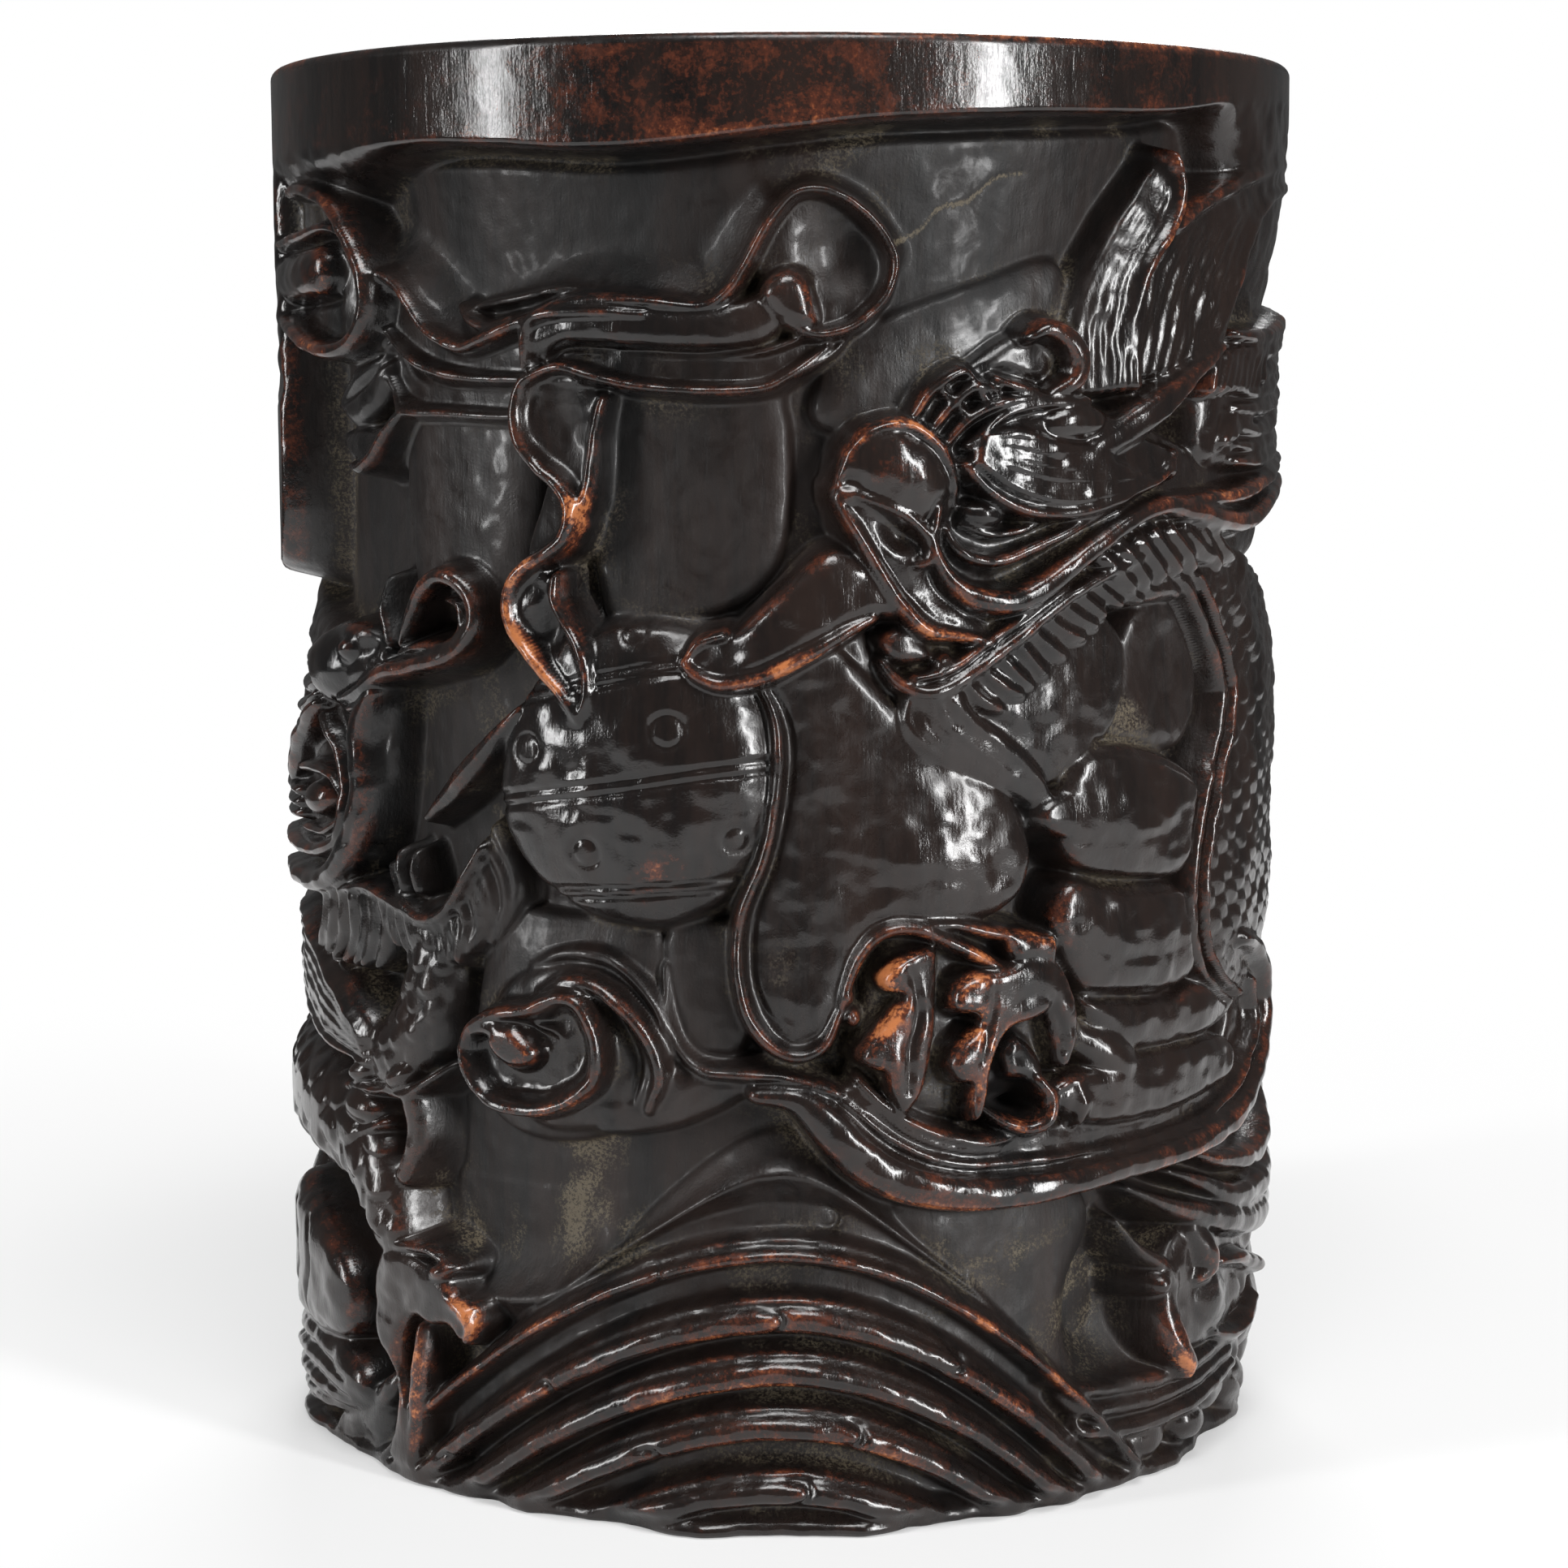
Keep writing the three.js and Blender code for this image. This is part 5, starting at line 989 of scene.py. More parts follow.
    # Mane round the jaw and the scaled neck
    r.comb([(-35.4, 75.6), (-33, 72), (-32.6, 68), (-35, 63.6)], [(-39.4, 67.6), (-38.6, 66), (-38.6, 64),
        (-39.6, 61.6)], 6, (0.4, 0.6))
    r.comb([(-50.6, 66), (-50.6, 64), (-49.8, 61.6)], [(-40.6, 65), (-40, 63), (-39.6, 60.8)], 8,
        (0.66, 0.62))
    r.comb([(-66, 66.4), (-67, 62), (-70, 58)], [(-52, 66.4), (-51.6, 62.6), (-53.6, 58.6)], 7,
        (0.8, 0.66))
    r.stroke([(-45.4, 62.6, 4.8, 0.6), (-45.6, 57.4, 5.2, 0.64), (-47.6, 52.4, 5.4, 0.7),
        (-52, 48.4, 4.6, 0.74)], scales=3.3)
    r.pad([(-116, 56.4), (-106, 59.6), (-96, 62), (-84, 63), (-70, 60), (-60, 56.4), (-53, 51),
        (-58, 47.4), (-78, 50), (-94, 50.6), (-106, 53.4)], 0.82, shoulder=3, edge=0.6)
    r.comb([(-116, 57), (-100, 60.6), (-84, 61), (-68, 57.6), (-56, 51.6)], [(-113, 56), (-98, 52.4),
        (-82, 51.6), (-66, 48.6), (-54.6, 47.6)], 6, (0.86, 0.84))
    # Leg, its folds and the hooked claws over the waves
    r.stroke([(-108, 53, 5, 0.8), (-102, 46, 7, 0.88), (-92, 41, 8.2, 0.95), (-80, 40.6, 8, 0.96),
        (-68, 40, 7.4, 0.93), (-58, 37.6, 6.2, 0.88), (-53.4, 33.6, 4.6, 0.86), (-51, 29, 3.4, 0.84)],
        scales=4.6)
    r.boss(-56, 42.4, 3.6, 2, 0.95, edge=0.72, turn=-6)
    r.boss(-56.6, 46.2, 2.6, 1.4, 0.9, edge=0.7, turn=10)
    r.stroke([(-60.6, 44, 0.4, 0.8), (-56.6, 44.6, 0.5, 0.86), (-52, 44.8, 0.4, 0.84),
        (-48.6, 46.4, 0.3, 0.76)], crested)
    r.stroke([(-60, 40.4, 0.4, 0.86), (-56, 39.6, 0.5, 0.88), (-51.6, 41, 0.4, 0.84)], crested)
    r.boss(-48.6, 46.8, 2.6, 1.4, 0.86, edge=0.7, turn=28)
    r.stroke([(-51, 44.6, 0.4, 0.76), (-47, 45.2, 0.5, 0.8), (-43.4, 47.4, 0.4, 0.7),
        (-41.4, 49, 0.2, 0.5)], crested)
    r.stroke([(-47, 44.6, 1.6, 0.76), (-46.6, 40, 1.5, 0.72), (-48.4, 35.6, 1.2, 0.74)])
    r.pad([(-53.8, 22), (-53.8, 18), (-52.6, 15), (-50.2, 12.8), (-49.6, 10), (-50.6, 6), (-52, 2.4),
        (-50, 0.8), (-47.6, 1.6), (-46.6, 5.6), (-47.4, 10), (-48.8, 13.4), (-48.4, 17), (-46.4, 19.6),
        (-43.4, 19.2), (-40.6, 19.6), (-38.6, 18.2), (-37, 19.6), (-36.4, 22.4), (-39, 23.4), (-41, 25.6),
        (-45, 27), (-50, 27.6), (-53, 25.4)], 0.84, shoulder=1.5, edge=0.78, per_span=5)
    r.stroke([(-45.6, 18.6, 0.5, 0.78), (-45.7, 14, 0.95, 0.84), (-46.2, 8.4, 1, 0.84),
        (-47.6, 2.6, 0.9, 0.82)])
    r.boss(-41.4, 25.9, 1.7, 1.1, 0.9, edge=0.72, turn=10)
    r.stroke([(-41.6, 23.4, 0.3, 0.8), (-38.6, 22.2, 0.6, 0.88), (-37, 20.6, 0.55, 0.88),
        (-37.8, 18.4, 0.3, 0.84)])
    r.stroke([(-54, 29, 0.4, 0.8), (-50, 27.6, 0.5, 0.86), (-44, 28, 0.5, 0.84),
        (-39.6, 26.4, 0.3, 0.78)], crested)


def carve_low_claw(r):
    """The large dragon's other foot at the right, reaching round over a deep hollow."""
    r.sink(42.6, 21.4, 5.4, 7.4, 4.4)
    r.sink(50.6, 29.4, 5, 2.6, 2.6, turn=-24)
    r.pad([(49, 20), (50.6, 24.6), (56, 28.6), (64, 27.6), (74, 25), (80, 20), (74, 14), (64, 12.6),
        (54, 13), (50, 15.4)], 0.62, shoulder=3, edge=0.66)
    for rows in [[(44.4, 34.2, 0.3, 0.44), (50, 31.6, 0.8, 0.6), (58, 28.8, 1.4, 0.78),
            (66, 26.6, 1.9, 0.9), (78, 24.6, 2.2, 0.95), (92, 25, 1.8, 0.96)], [(52, 34.8, 0.3, 0.5),
            (58, 32.6, 0.9, 0.66), (66, 29.4, 1.6, 0.86), (76, 28.4, 2, 0.95), (92, 30.4, 1.8, 0.96)],
            [(43, 30.6, 0.3, 0.4), (46, 27, 0.7, 0.5), (49.4, 24.6, 1, 0.66), (50.6, 22.6, 0.8, 0.7)],
            [(56, 36.4, 0.3, 0.6), (64, 34, 1, 0.82), (76, 33, 1.6, 0.93), (92, 37, 1.6, 0.96)]]:
        r.stroke(rows)
    r.stroke([(56, 27.4, 1.2, 0.72), (57.6, 25.2, 1.7, 0.84), (57.8, 22.8, 1.4, 0.84),
        (56.4, 21.6, 0.6, 0.76)])
    r.boss(48.6, 22.6, 1.5, 1.4, 0.78, edge=0.7)
    r.stroke([(51.6, 23, 1.6, 0.66), (50.6, 19, 1.9, 0.74), (51, 15.6, 1.7, 0.86), (52, 13, 1.2, 0.9),
        (52.2, 11.4, 0.4, 0.86)])
    r.boss(60.4, 18.4, 5.4, 4.2, 0.78, edge=0.66, turn=-20)
    r.stroke([(62, 22.4, 0.5, 0.8), (68, 21.4, 0.9, 0.9), (76, 18.6, 1, 0.93)], strand)
    r.stroke([(60.6, 14.2, 0.4, 0.72), (68, 12.4, 0.9, 0.84), (76, 14.6, 0.8, 0.9)], crested)


def carve_crest(r, rows, size, side=1.0):
    """A row of small pointed fins along a body's back."""
    path = spline(rows, 12)
    run = run_along(path)
    for at in np.arange(size, run[-1] - size, size * 1.15):
        u, v, width, height = (np.interp(at, run, path[:, i]) for i in range(4))
        u2, v2 = (np.interp(at + size, run, path[:, i]) for i in range(2))
        du, dv = (u2 - u) / size, (v2 - v) / size
        nu, nv = -dv * side, du * side
        off = width * 0.5
        r.stroke([(u + nu * off, v + nv * off, size * 0.42, height),
            (u + nu * (off + 0.5 * size) + du * 0.4, v + nv * (off + 0.5 * size) + dv * 0.4, size * 0.3,
            height * 0.98), (u + nu * (off + 1.1 * size) + du * size * 0.7,
            v + nv * (off + 1.1 * size) + dv * size * 0.7, 0.15, height * 0.9)], crested, per_span=4)


def carve_coil(r, u0, v0, radius, height, turn=1.0):
    """A cloud's rolled end: a line that winds in to a small knob."""
    rows = []
    for i in range(15):
        a = math.radians(-60 + 42 * i * turn)
        reach = radius * (1 - 0.058 * i)
        rows.append((u0 + reach * math.cos(a), v0 + reach * math.sin(a), 0.8 - 0.02 * i, height))
    r.boss(u0, v0, radius, radius, height * 0.82, edge=0.85)
    r.stroke(rows)
    r.boss(u0, v0, 0.24 * radius + 0.6, 0.24 * radius + 0.6, height * 1.03, edge=0.75)


def carve_back(r):
    """The side away from the front: both dragons' bodies wind on through clouds over waves."""
    for outline, height in [([(102, 130), (122, 122), (146, 124), (150, 112), (128, 108), (104, 114)],
            0.3), ([(168, 128), (196, 128), (206, 118), (190, 102), (168, 104)], 0.32), ([(112, 68),
            (140, 76), (152, 66), (144, 56), (118, 54)], 0.32), ([(206, 66), (236, 74), (246, 60),
            (226, 46), (204, 50)], 0.34), ([(150, 34), (180, 44), (214, 34), (206, 22), (160, 22)],
            0.26)]:
        r.pad(outline, height, shoulder=7, edge=0.3)
    carve_waves(r, 180, 2, 1.0, 1.0)
    for side, u0 in [(-1, 124), (1, 236)]:
        for u, v, a, b, height in [(0, 14, 10, 9, 0.85), (-12, 9, 8, 7, 0.78), (10, 8, 8, 6, 0.68),
                (-22, 16, 8, 8, 0.9), (-4, 25, 7, 6, 0.8), (-14, 24, 7, 7, 0.88), (20, 4, 9, 4, 0.55)]:
            r.boss(u0 + side * u, v, a, b, height, edge=0.5, turn=side * 14)
    # Clouds under the rim and over the waves
    r.stroke([(92, 140, 2, 0.9), (104, 136, 3, 0.85), (120, 130, 3.4, 0.8), (144, 129, 3.4, 0.85),
        (157, 134, 2, 0.85)])
    r.stroke([(100, 131, 1, 0.6), (118, 124.4, 1.4, 0.62), (140, 123.4, 1.4, 0.64), (158, 127.6, 1, 0.6)])
    r.scroll(162, 138, 7.1, 0.85, curl=2.2)
    r.stroke([(214, 134, 2, 0.8), (228, 128, 3.2, 0.8), (250, 132, 2.8, 0.85), (262, 139, 1.6, 0.9)])
    r.scroll(212, 139.5, 6.6, 0.85, curl=0.9, turn=-1.0)
    r.stroke([(222, 122.6, 0.8, 0.6), (236, 120.6, 1.3, 0.62), (252, 124, 0.8, 0.62)])
    r.stroke([(94, 53, 1.2, 0.95), (104, 46, 2.6, 0.88), (122, 42, 3, 0.85), (142, 46, 2.8, 0.85),
        (154, 47, 1.8, 0.8)])
    carve_coil(r, 159, 49, 6.4, 0.84)
    carve_coil(r, 214, 56, 6.4, 0.82, turn=-1.0)
    r.stroke([(221, 52, 1.8, 0.78), (232, 46, 2.8, 0.82), (248, 44, 2.8, 0.86), (264, 48, 2, 0.9)])
    r.stroke([(226, 58, 0.8, 0.6), (238, 53, 1.2, 0.66), (254, 53, 0.9, 0.7)])
    # Large dragon's body, hind leg and tail
    tail = [(96, 78, 12, 0.97), (108, 90, 10.6, 0.95), (124, 98, 9.6, 0.93), (140, 95, 9, 0.9),
        (158, 80, 8.6, 0.9), (180, 65, 6.8, 0.88), (198, 68, 5, 0.86), (205, 80, 3, 0.84),
        (204, 92, 1.4, 0.8), (197, 98, 0.4, 0.7)]
    r.stroke(tail, scales=4.2)
    carve_crest(r, tail[1:-1], 3.6, side=1.0)
    r.stroke([(200, 60, 0.6, 0.72), (208, 66, 0.6, 0.72), (214, 76, 0.6, 0.666)], crested)
    for i in range(4):
        r.stroke([(200 + 1.6 * i, 90 + 0.6 * i, 1.3, 0.78), (202 + 4 * i, 98 + 0.4 * i, 1.8, 0.8),
            (200 + 7.5 * i, 107 - 2.2 * i, 0.3, 0.66)], flutes=3, flute=0.6)
    r.stroke([(132, 90, 6.4, 0.93), (138, 80, 6, 0.93), (141, 72, 4.6, 0.9), (146, 66, 3.4, 0.88)],
        scales=3.8)
    for u, v, du, dv in [(140, 66, -8, -4), (145, 63, -3, -8), (150, 63, 4, -7), (152, 67, 9, -2)]:
        r.stroke([(u, v, 1.7, 0.88), (u + 0.5 * du, v + 0.5 * dv + 1, 1.6, 0.92),
            (u + 0.9 * du, v + 0.9 * dv, 0.9, 0.88), (u + 1.1 * du, v + 1.15 * dv, 0.2, 0.74)])
    # Small dragon's body and the flames at its shoulder
    small = [(266, 78, 9.4, 0.95), (250, 94, 8.4, 0.93), (234, 105, 7.2, 0.91), (216, 110, 6, 0.88),
        (202, 112, 4.6, 0.86), (191, 120, 3, 0.82), (187, 130, 1.4, 0.78), (187.6, 137, 0.4, 0.7)]
    r.stroke(small, scales=3.6)
    carve_crest(r, small[1:-1], 3.2, side=-1.0)
    for u, v, du, dv in [(252, 104, -3, 12), (244, 109, -6, 9), (258, 100, 4, 14), (112, 104, 6, 10),
            (120, 107, 8, 8)]:
        r.stroke([(u, v, 1.8, 0.84), (u + 0.5 * du - 1, v + 0.5 * dv, 1.6, 0.8),
            (u + du, v + dv, 0.3, 0.64)], flutes=3, flute=0.6)
    for i in range(5):
        carve_tuft(r, 254 - 4 * i, 76 - 3.4 * i, (-5.4, -6.4), 1.7, 0.8 - 0.05 * i)


def carve_crack(r):
    """A fine drying crack that runs up to the rim band, with pale dust in it."""
    crack = spline([(12.6, 138.6), (16, 140), (18.6, 142.4), (22, 143.2), (25.6, 145.6), (29.4, 146.2)])
    where, u, v = r.window(11, 31, 137, 148)
    d, _ = nearest(crack, u, v)
    d = np.abs(d) + 0.1 * np.sin(u * 9) * np.sin(v * 7)
    r.h[where] -= 0.14 * np.exp(-((d / 0.16) ** 2))
    r.dusted[where] += 1.8 * np.exp(-((d / 0.2) ** 2))


def carve_foot_ring(r):
    """The plain narrow ring that the carving runs out into at the foot."""
    reach = int(6 / (r.u[1] - r.u[0]))
    low = r.v < 3.4
    row = r.h[np.count_nonzero(low)]
    ring = np.mean([np.roll(row, step) for step in range(-reach, reach + 1)], axis=0) + 0.35
    share = smoothstep(3.2, 0.9, r.v[low])[:, None]
    r.h[low] += share * (ring[None, :] - r.h[low])


def dust_places(r):
    """Where the most dust lies: in the broad hollows that no cloth reaches."""
    u, v = np.meshgrid(r.u, r.v)
    for u0, v0, a, b, amount in [(-31, 37, 9, 8, 0.9), (-20, 33, 8, 4, 0.6), (-38, 28, 5, 6, 0.7),
            (32, 22, 9, 9, 0.8), (24, 29, 7, 5, 0.6), (44, 28, 6, 6, 0.7), (8, 127, 10, 3, 0.6),
            (20, 121, 7, 4, 0.7), (-36, 80, 5, 8, 0.6), (29, 54, 5, 5, 0.9), (38, 52, 6, 3, 0.8),
            (18, 70, 7, 3, 0.7), (34, 79, 4, 5, 0.6), (42, 88, 6, 3, 0.6), (0, 62, 3, 5, 0.4),
            (-36, 118, 6, 8, 0.35), (-2, 150, 24, 3, 0.25), (-60, 60, 8, 16, 0.4), (-50, 34, 5, 8, 0.5),
            (52, 132, 8, 6, 0.4)]:
        r.dusted += amount * np.exp(-(((u - u0) / a) ** 2) - ((v - v0) / b) ** 2)


def rub_places(r):
    """Where handling has worn the dark surface through to the orange wood."""
    for u, v, a, b, amount in [(-12, 73.5, 4, 2, 0.9), (-14, 71.6, 2, 3, 0.5), (10, 61, 3, 3, 0.8),
            (11.5, 56, 2.4, 4, 0.8), (21.5, 57, 3, 7, 0.9), (14, 64, 3, 1.6, 0.5), (30, 63, 4, 4, 0.6),
            (27, 45, 3, 3, 0.4), (12, 116, 5, 4, 0.55), (14, 120, 3, 2, 0.3), (-28, 100, 2.4, 8, 0.5),
            (-21.5, 111, 2.4, 3, 0.7), (-25, 92, 3, 4, 0.5), (0, 95, 8, 2, 0.5), (18, 98, 8, 4, 0.4),
            (60, 110, 10, 3, 0.4), (-24, 46.6, 3, 2, 0.5), (-30, 53, 3, 2.4, 0.4), (3, 133, 2.4, 2, 0.4),
            (16, 38, 9, 3, 0.3), (60, 38, 12, 3, 0.35), (-62, 134, 4, 5, 0.35), (50, 14, 5, 4, 0.45),
            (58, 22, 5, 4, 0.4), (-46, 12, 3, 7, 0.5), (-38, 21, 3, 3, 0.4), (45, 75, 4, 4, 0.4),
            (46, 140, 3, 6, 0.3)]:
        r.rub(u, v, a, b, amount)
    for u, v in [(-6, 33.8), (2, 27), (-2, 21), (-6, 15.5), (4, 8.5), (26, 22), (30, 14), (-30, 23),
            (-34, 15)]:
        r.rub(u, v, 9, 2.6, 0.5)


def carve(sizes, columns, rows):
    """The whole carving, low forms first."""
    r = Relief(columns, rows, sizes)
    for motif in (carve_ground, carve_low_clouds, carve_back, carve_water, carve_rocks,
                  carve_upper_cloud, carve_left_block, carve_left_scroll, carve_ball,
                  carve_lower_cloud, carve_lobes, carve_ribbon, carve_body, carve_low_claw,
                  carve_hair, carve_head, carve_small_dragon, carve_foot, carve_crack,
                  carve_foot_ring, dust_places, rub_places):
        motif(r)
    return r


# Meshes

def turned(rows, columns):
    """Points of rings round the axis, in m; a row is radii and heights in mm, for each column or all."""
    angle = np.radians(FIRST_COLUMN + np.arange(columns) * 360.0 / columns)
    points = np.empty((len(rows), columns, 3))
    for i, (radius, z) in enumerate(rows):
        points[i, :, 0] = radius * np.sin(angle)
        points[i, :, 1] = -radius * np.cos(angle)
        points[i, :, 2] = z
    return points * MM


def ring_mesh(name, points, closed, fields):
    """A mesh of quads over rings of points; the last ring joins the first one too if closed."""
    rows, columns, _ = points.shape
    i, j = np.meshgrid(np.arange(rows if closed else rows - 1), np.arange(columns), indexing="ij")
    here, above = i * columns, (i + 1) % rows * columns
    beside = (j + 1) % columns
    quads = np.stack([here + j, here + beside, above + beside, above + j], axis=-1).reshape(-1, 4)
    mesh = bpy.data.meshes.new(name)
    mesh.vertices.add(rows * columns)
    mesh.vertices.foreach_set("co", points.reshape(-1))
    mesh.loops.add(quads.size)
    mesh.loops.foreach_set("vertex_index", quads.reshape(-1).astype(np.int32))
    mesh.polygons.add(len(quads))
    mesh.polygons.foreach_set("loop_start", np.arange(0, quads.size, 4, dtype=np.int32))
    mesh.polygons.foreach_set("loop_total", np.full(len(quads), 4, dtype=np.int32))
    mesh.polygons.foreach_set("use_smooth", np.ones(len(quads), dtype=bool))
    run = np.linalg.norm(np.diff(points, axis=0, append=points[:1]), axis=2).mean(axis=1)
    run = np.concatenate([[0], np.cumsum(run)])
    run /= run[rows if closed else rows - 1]
    across = np.stack([j, j + 1, j + 1, j], axis=-1) / columns
    along = np.stack([run[i], run[i], run[i + 1], run[i + 1]], axis=-1)
    layer = mesh.uv_layers.new(name="OFBake")
    layer.data.foreach_set("uv", np.stack([across, along], axis=-1).reshape(-1).astype(np.float32))
    for label, values in fields.items():
        attribute = mesh.attributes.new(label, "FLOAT", "POINT")
        attribute.data.foreach_set("value", values.reshape(-1).astype(np.float32))
    mesh.update()
    mesh.validate()
    return mesh


def arc(r0, z0, radius, first, last, steps):
    """Rows of a rounded edge, from one angle to another."""
    return [(r0 + radius * math.cos(a), z0 + radius * math.sin(a))
            for a in np.radians(np.linspace(first, last, steps + 1))]


def finished_face(sizes, columns, rows):
    """The carved face, eased and uneven as tools leave it, with where it is worn, dusty and proud."""
    r = carve(sizes, 2 * columns, 2 * rows - 1)
    cell_u = math.pi * r.ground / columns
    cell_v = 0.5 * r.top / (rows - 1)
    h = blurred(r.h, EASING / cell_u, EASING / cell_v)[::2, ::2]
    rubbed, dusted = r.rubbed[::2, ::2], r.dusted[::2, ::2]
    r.u, r.v = r.u[::2], r.v[::2]

    def soft(field, spread):
        return blurred(field, 0.5 * spread / cell_u, 0.5 * spread / cell_v)

    def even(field):
        return field / field.std()

    chance = np.random.default_rng(SEED).standard_normal(h.shape)
    hand, slow, fine = (even(soft(chance, spread)) for spread in (1.3, 5.0, 0.55))
    over_edge = r.v[:, None] - band_edge(r.u)[None, :]
    upper = r.v[:, None] > BAND_FROM
    carved = 1 - smoothstep(-1, 0.4, over_edge)
    raised = smoothstep(0.25, 0.6, h / r.depth)
    h = h + carved * ((0.02 + 0.025 * raised) * fine + (0.015 + 0.06 * raised) * hand
                      + (0.02 + 0.08 * raised) * slow)
    h = np.minimum(h, r.depth - 0.02 * (1 - np.exp(-np.abs(hand))))
    share = h / r.depth
    ridge = np.clip((h - soft(h, 0.5)) / 0.5 + 0.4 * (h - soft(h, 1.5)) / 1.5, 0, 1)
    ridge *= smoothstep(0.3, 0.8, share) * (1 - 0.7 * smoothstep(-3, 0.4, over_edge) * upper)
    hollow = np.clip((soft(h, 1.4) - h) / 1.4, 0, 1) + np.clip((soft(h, 4.5) - h) / 3.0, 0, 1)
    rubbed = np.clip(rubbed, 0, 1)
    band = (1 - carved) * upper
    wear = ridge * (0.42 + 0.95 * rubbed) + 0.35 * rubbed * smoothstep(0.4, 0.9, share)
    wear += band * (0.24 + 0.24 * np.exp(-(((r.u[None, :] - 1) / 17) ** 2)) + 0.03 * slow)
    dust = 0.3 * np.clip(hollow, 0, 1.4) * (1 - smoothstep(0.7, 1.0, share)) + 0.08
    dust += dusted * (1 - smoothstep(0.42, 0.75, share))
    proud = np.clip(share, 0, 1) * (1 - 0.1 * band)
    drop = np.clip(FOOT_ROUND - r.v, 0, None)
    radius = r.ground + h - (FOOT_ROUND - np.sqrt(np.maximum(FOOT_ROUND**2 - drop**2, 0)))[:, None]
    return r, radius, wear, dust, proud


def rows_inside(sizes, sole):
    """Rows from the rim over the bore, the ledge and the board's recess to the sole under the foot."""
    rim, edge, high = sizes.rim_radius / MM, sizes.rim_edge / MM, sizes.height / MM
    bore, seat, floor = sizes.bore_radius / MM, sizes.seat_radius / MM, sizes.floor / MM
    rows = arc(rim - edge, high - edge, edge, 0, 90, 6)[1:]
    rows += [(rim - edge - t * (rim - bore - 2 * edge), high) for t in (0.1, 0.3, 0.5, 0.7, 0.9)]
    rows += arc(bore + edge, high - edge, edge, 90, 180, 6)
    rows += [(bore + 0.06 * math.sin(z * 0.9) + 0.04 * math.sin(z * 2.3), z)
             for z in np.linspace(high - edge, floor + 0.4, 48)[1:]]
    rows += arc(bore + 0.3, floor + 0.3, 0.3, 180, 270, 3)
    rows += [(bore + 0.8, floor), (seat, floor), (seat, floor - 0.8)]
    rows += [(seat, z) for z in np.linspace(floor - 3, 0.8, 6)]
    rows += arc(seat + 0.5, 0.5, 0.5, 180, 270, 3)
    rows += [(seat + 0.5 + (sole - seat - 0.5) * t, 0.0) for t in (0.08, 0.3, 0.55, 0.8, 0.96)]
    return rows


def body_mesh(sizes, columns, rows):
    """The carved body: relief outside, rounded rim, bore, ledge for the board and underside."""
    r, radius, wear, dust, proud = finished_face(sizes, columns, rows)
    inner = rows_inside(sizes, radius[0])
    points = turned([*zip(radius, r.v), *inner], columns)
    bore, floor, high = sizes.bore_radius / MM, sizes.floor / MM, sizes.height / MM
    heights = np.array([z for _, z in inner])
    radii = np.array([np.mean(across) for across, _ in inner])
    rim_wear = 0.75 * np.exp(-((heights - high) / 1.0) ** 2) * (radii > bore - 0.2)
    rim_wear = rim_wear[:, None] * (0.7 + 0.5 * np.sin(np.radians(r.u * 3))[None, :])
    deep = (0.25 + 0.75 * smoothstep(high - 20, floor + 10, heights)) * (heights < high - 2)
    plain = np.ones((len(inner), columns))
    fields = {
        "wear": np.vstack([wear, rim_wear]),
        "dust": np.vstack([dust, deep[:, None] * plain]),
        "proud": np.vstack([proud, 0.55 * plain]),
    }
    return ring_mesh("carved_body_wood", points, True, fields)


def board_mesh(sizes, columns):
    """The floor board: a turned disc, faintly dished above, with eased edges and a hole for the plug."""
    seat, low = (sizes.seat_radius - sizes.glue_gap) / MM, sizes.foot_recess / MM
    high = (sizes.floor - sizes.glue_gap) / MM
    hole_low, hole_high = sizes.plug_radius_below / MM, sizes.plug_radius_above / MM
    ease = 0.5
    rows = [(hole_low + 0.25, low), (hole_low + 1, low)]
    rows += [(x, low + 0.05 * math.sin(x * 1.7)) for x in np.linspace(hole_low + 2, seat - 2, 46)]
    rows += arc(seat - ease, low + ease, ease, -90, 0, 4)
    rows += [(seat, z) for z in np.linspace(low + 1.5, high - 1.5, 5)]
    rows += arc(seat - ease, high - ease, ease, 0, 90, 4)
    rows += [(x, high - 0.3 * (1 - (x / seat) ** 2) - 0.04 * math.sin(x * 2.1) ** 2)
             for x in np.linspace(seat - 2, hole_high + 1, 52)]
    rows += [(hole_high + 0.25, high - 0.3), (hole_high, high - 0.55)]
    rows += [(hole_high + (hole_low - hole_high) * t, high + (low - high) * t)
             for t in (0.2, 0.4, 0.6, 0.8, 0.95)]
    rows += [(hole_low, low + 0.25)]
    points = turned(rows, columns)
    radii = np.array([x for x, _ in rows])[:, None] * np.ones((1, columns))
    heights = np.array([z for _, z in rows])[:, None] * np.ones((1, columns))
    above = heights > (low + high) / 2
    fields = {
        "wear": np.where(above, 0.15, 0.5 * smoothstep(seat - 3, seat, radii)),
        "dust": np.where(above, 0.35 + 0.75 * smoothstep(seat - 9, seat - 2, radii), 0.3),
        "proud": np.full(radii.shape, 0.3),
    }
    return ring_mesh("floor_board_wood", points, True, fields)


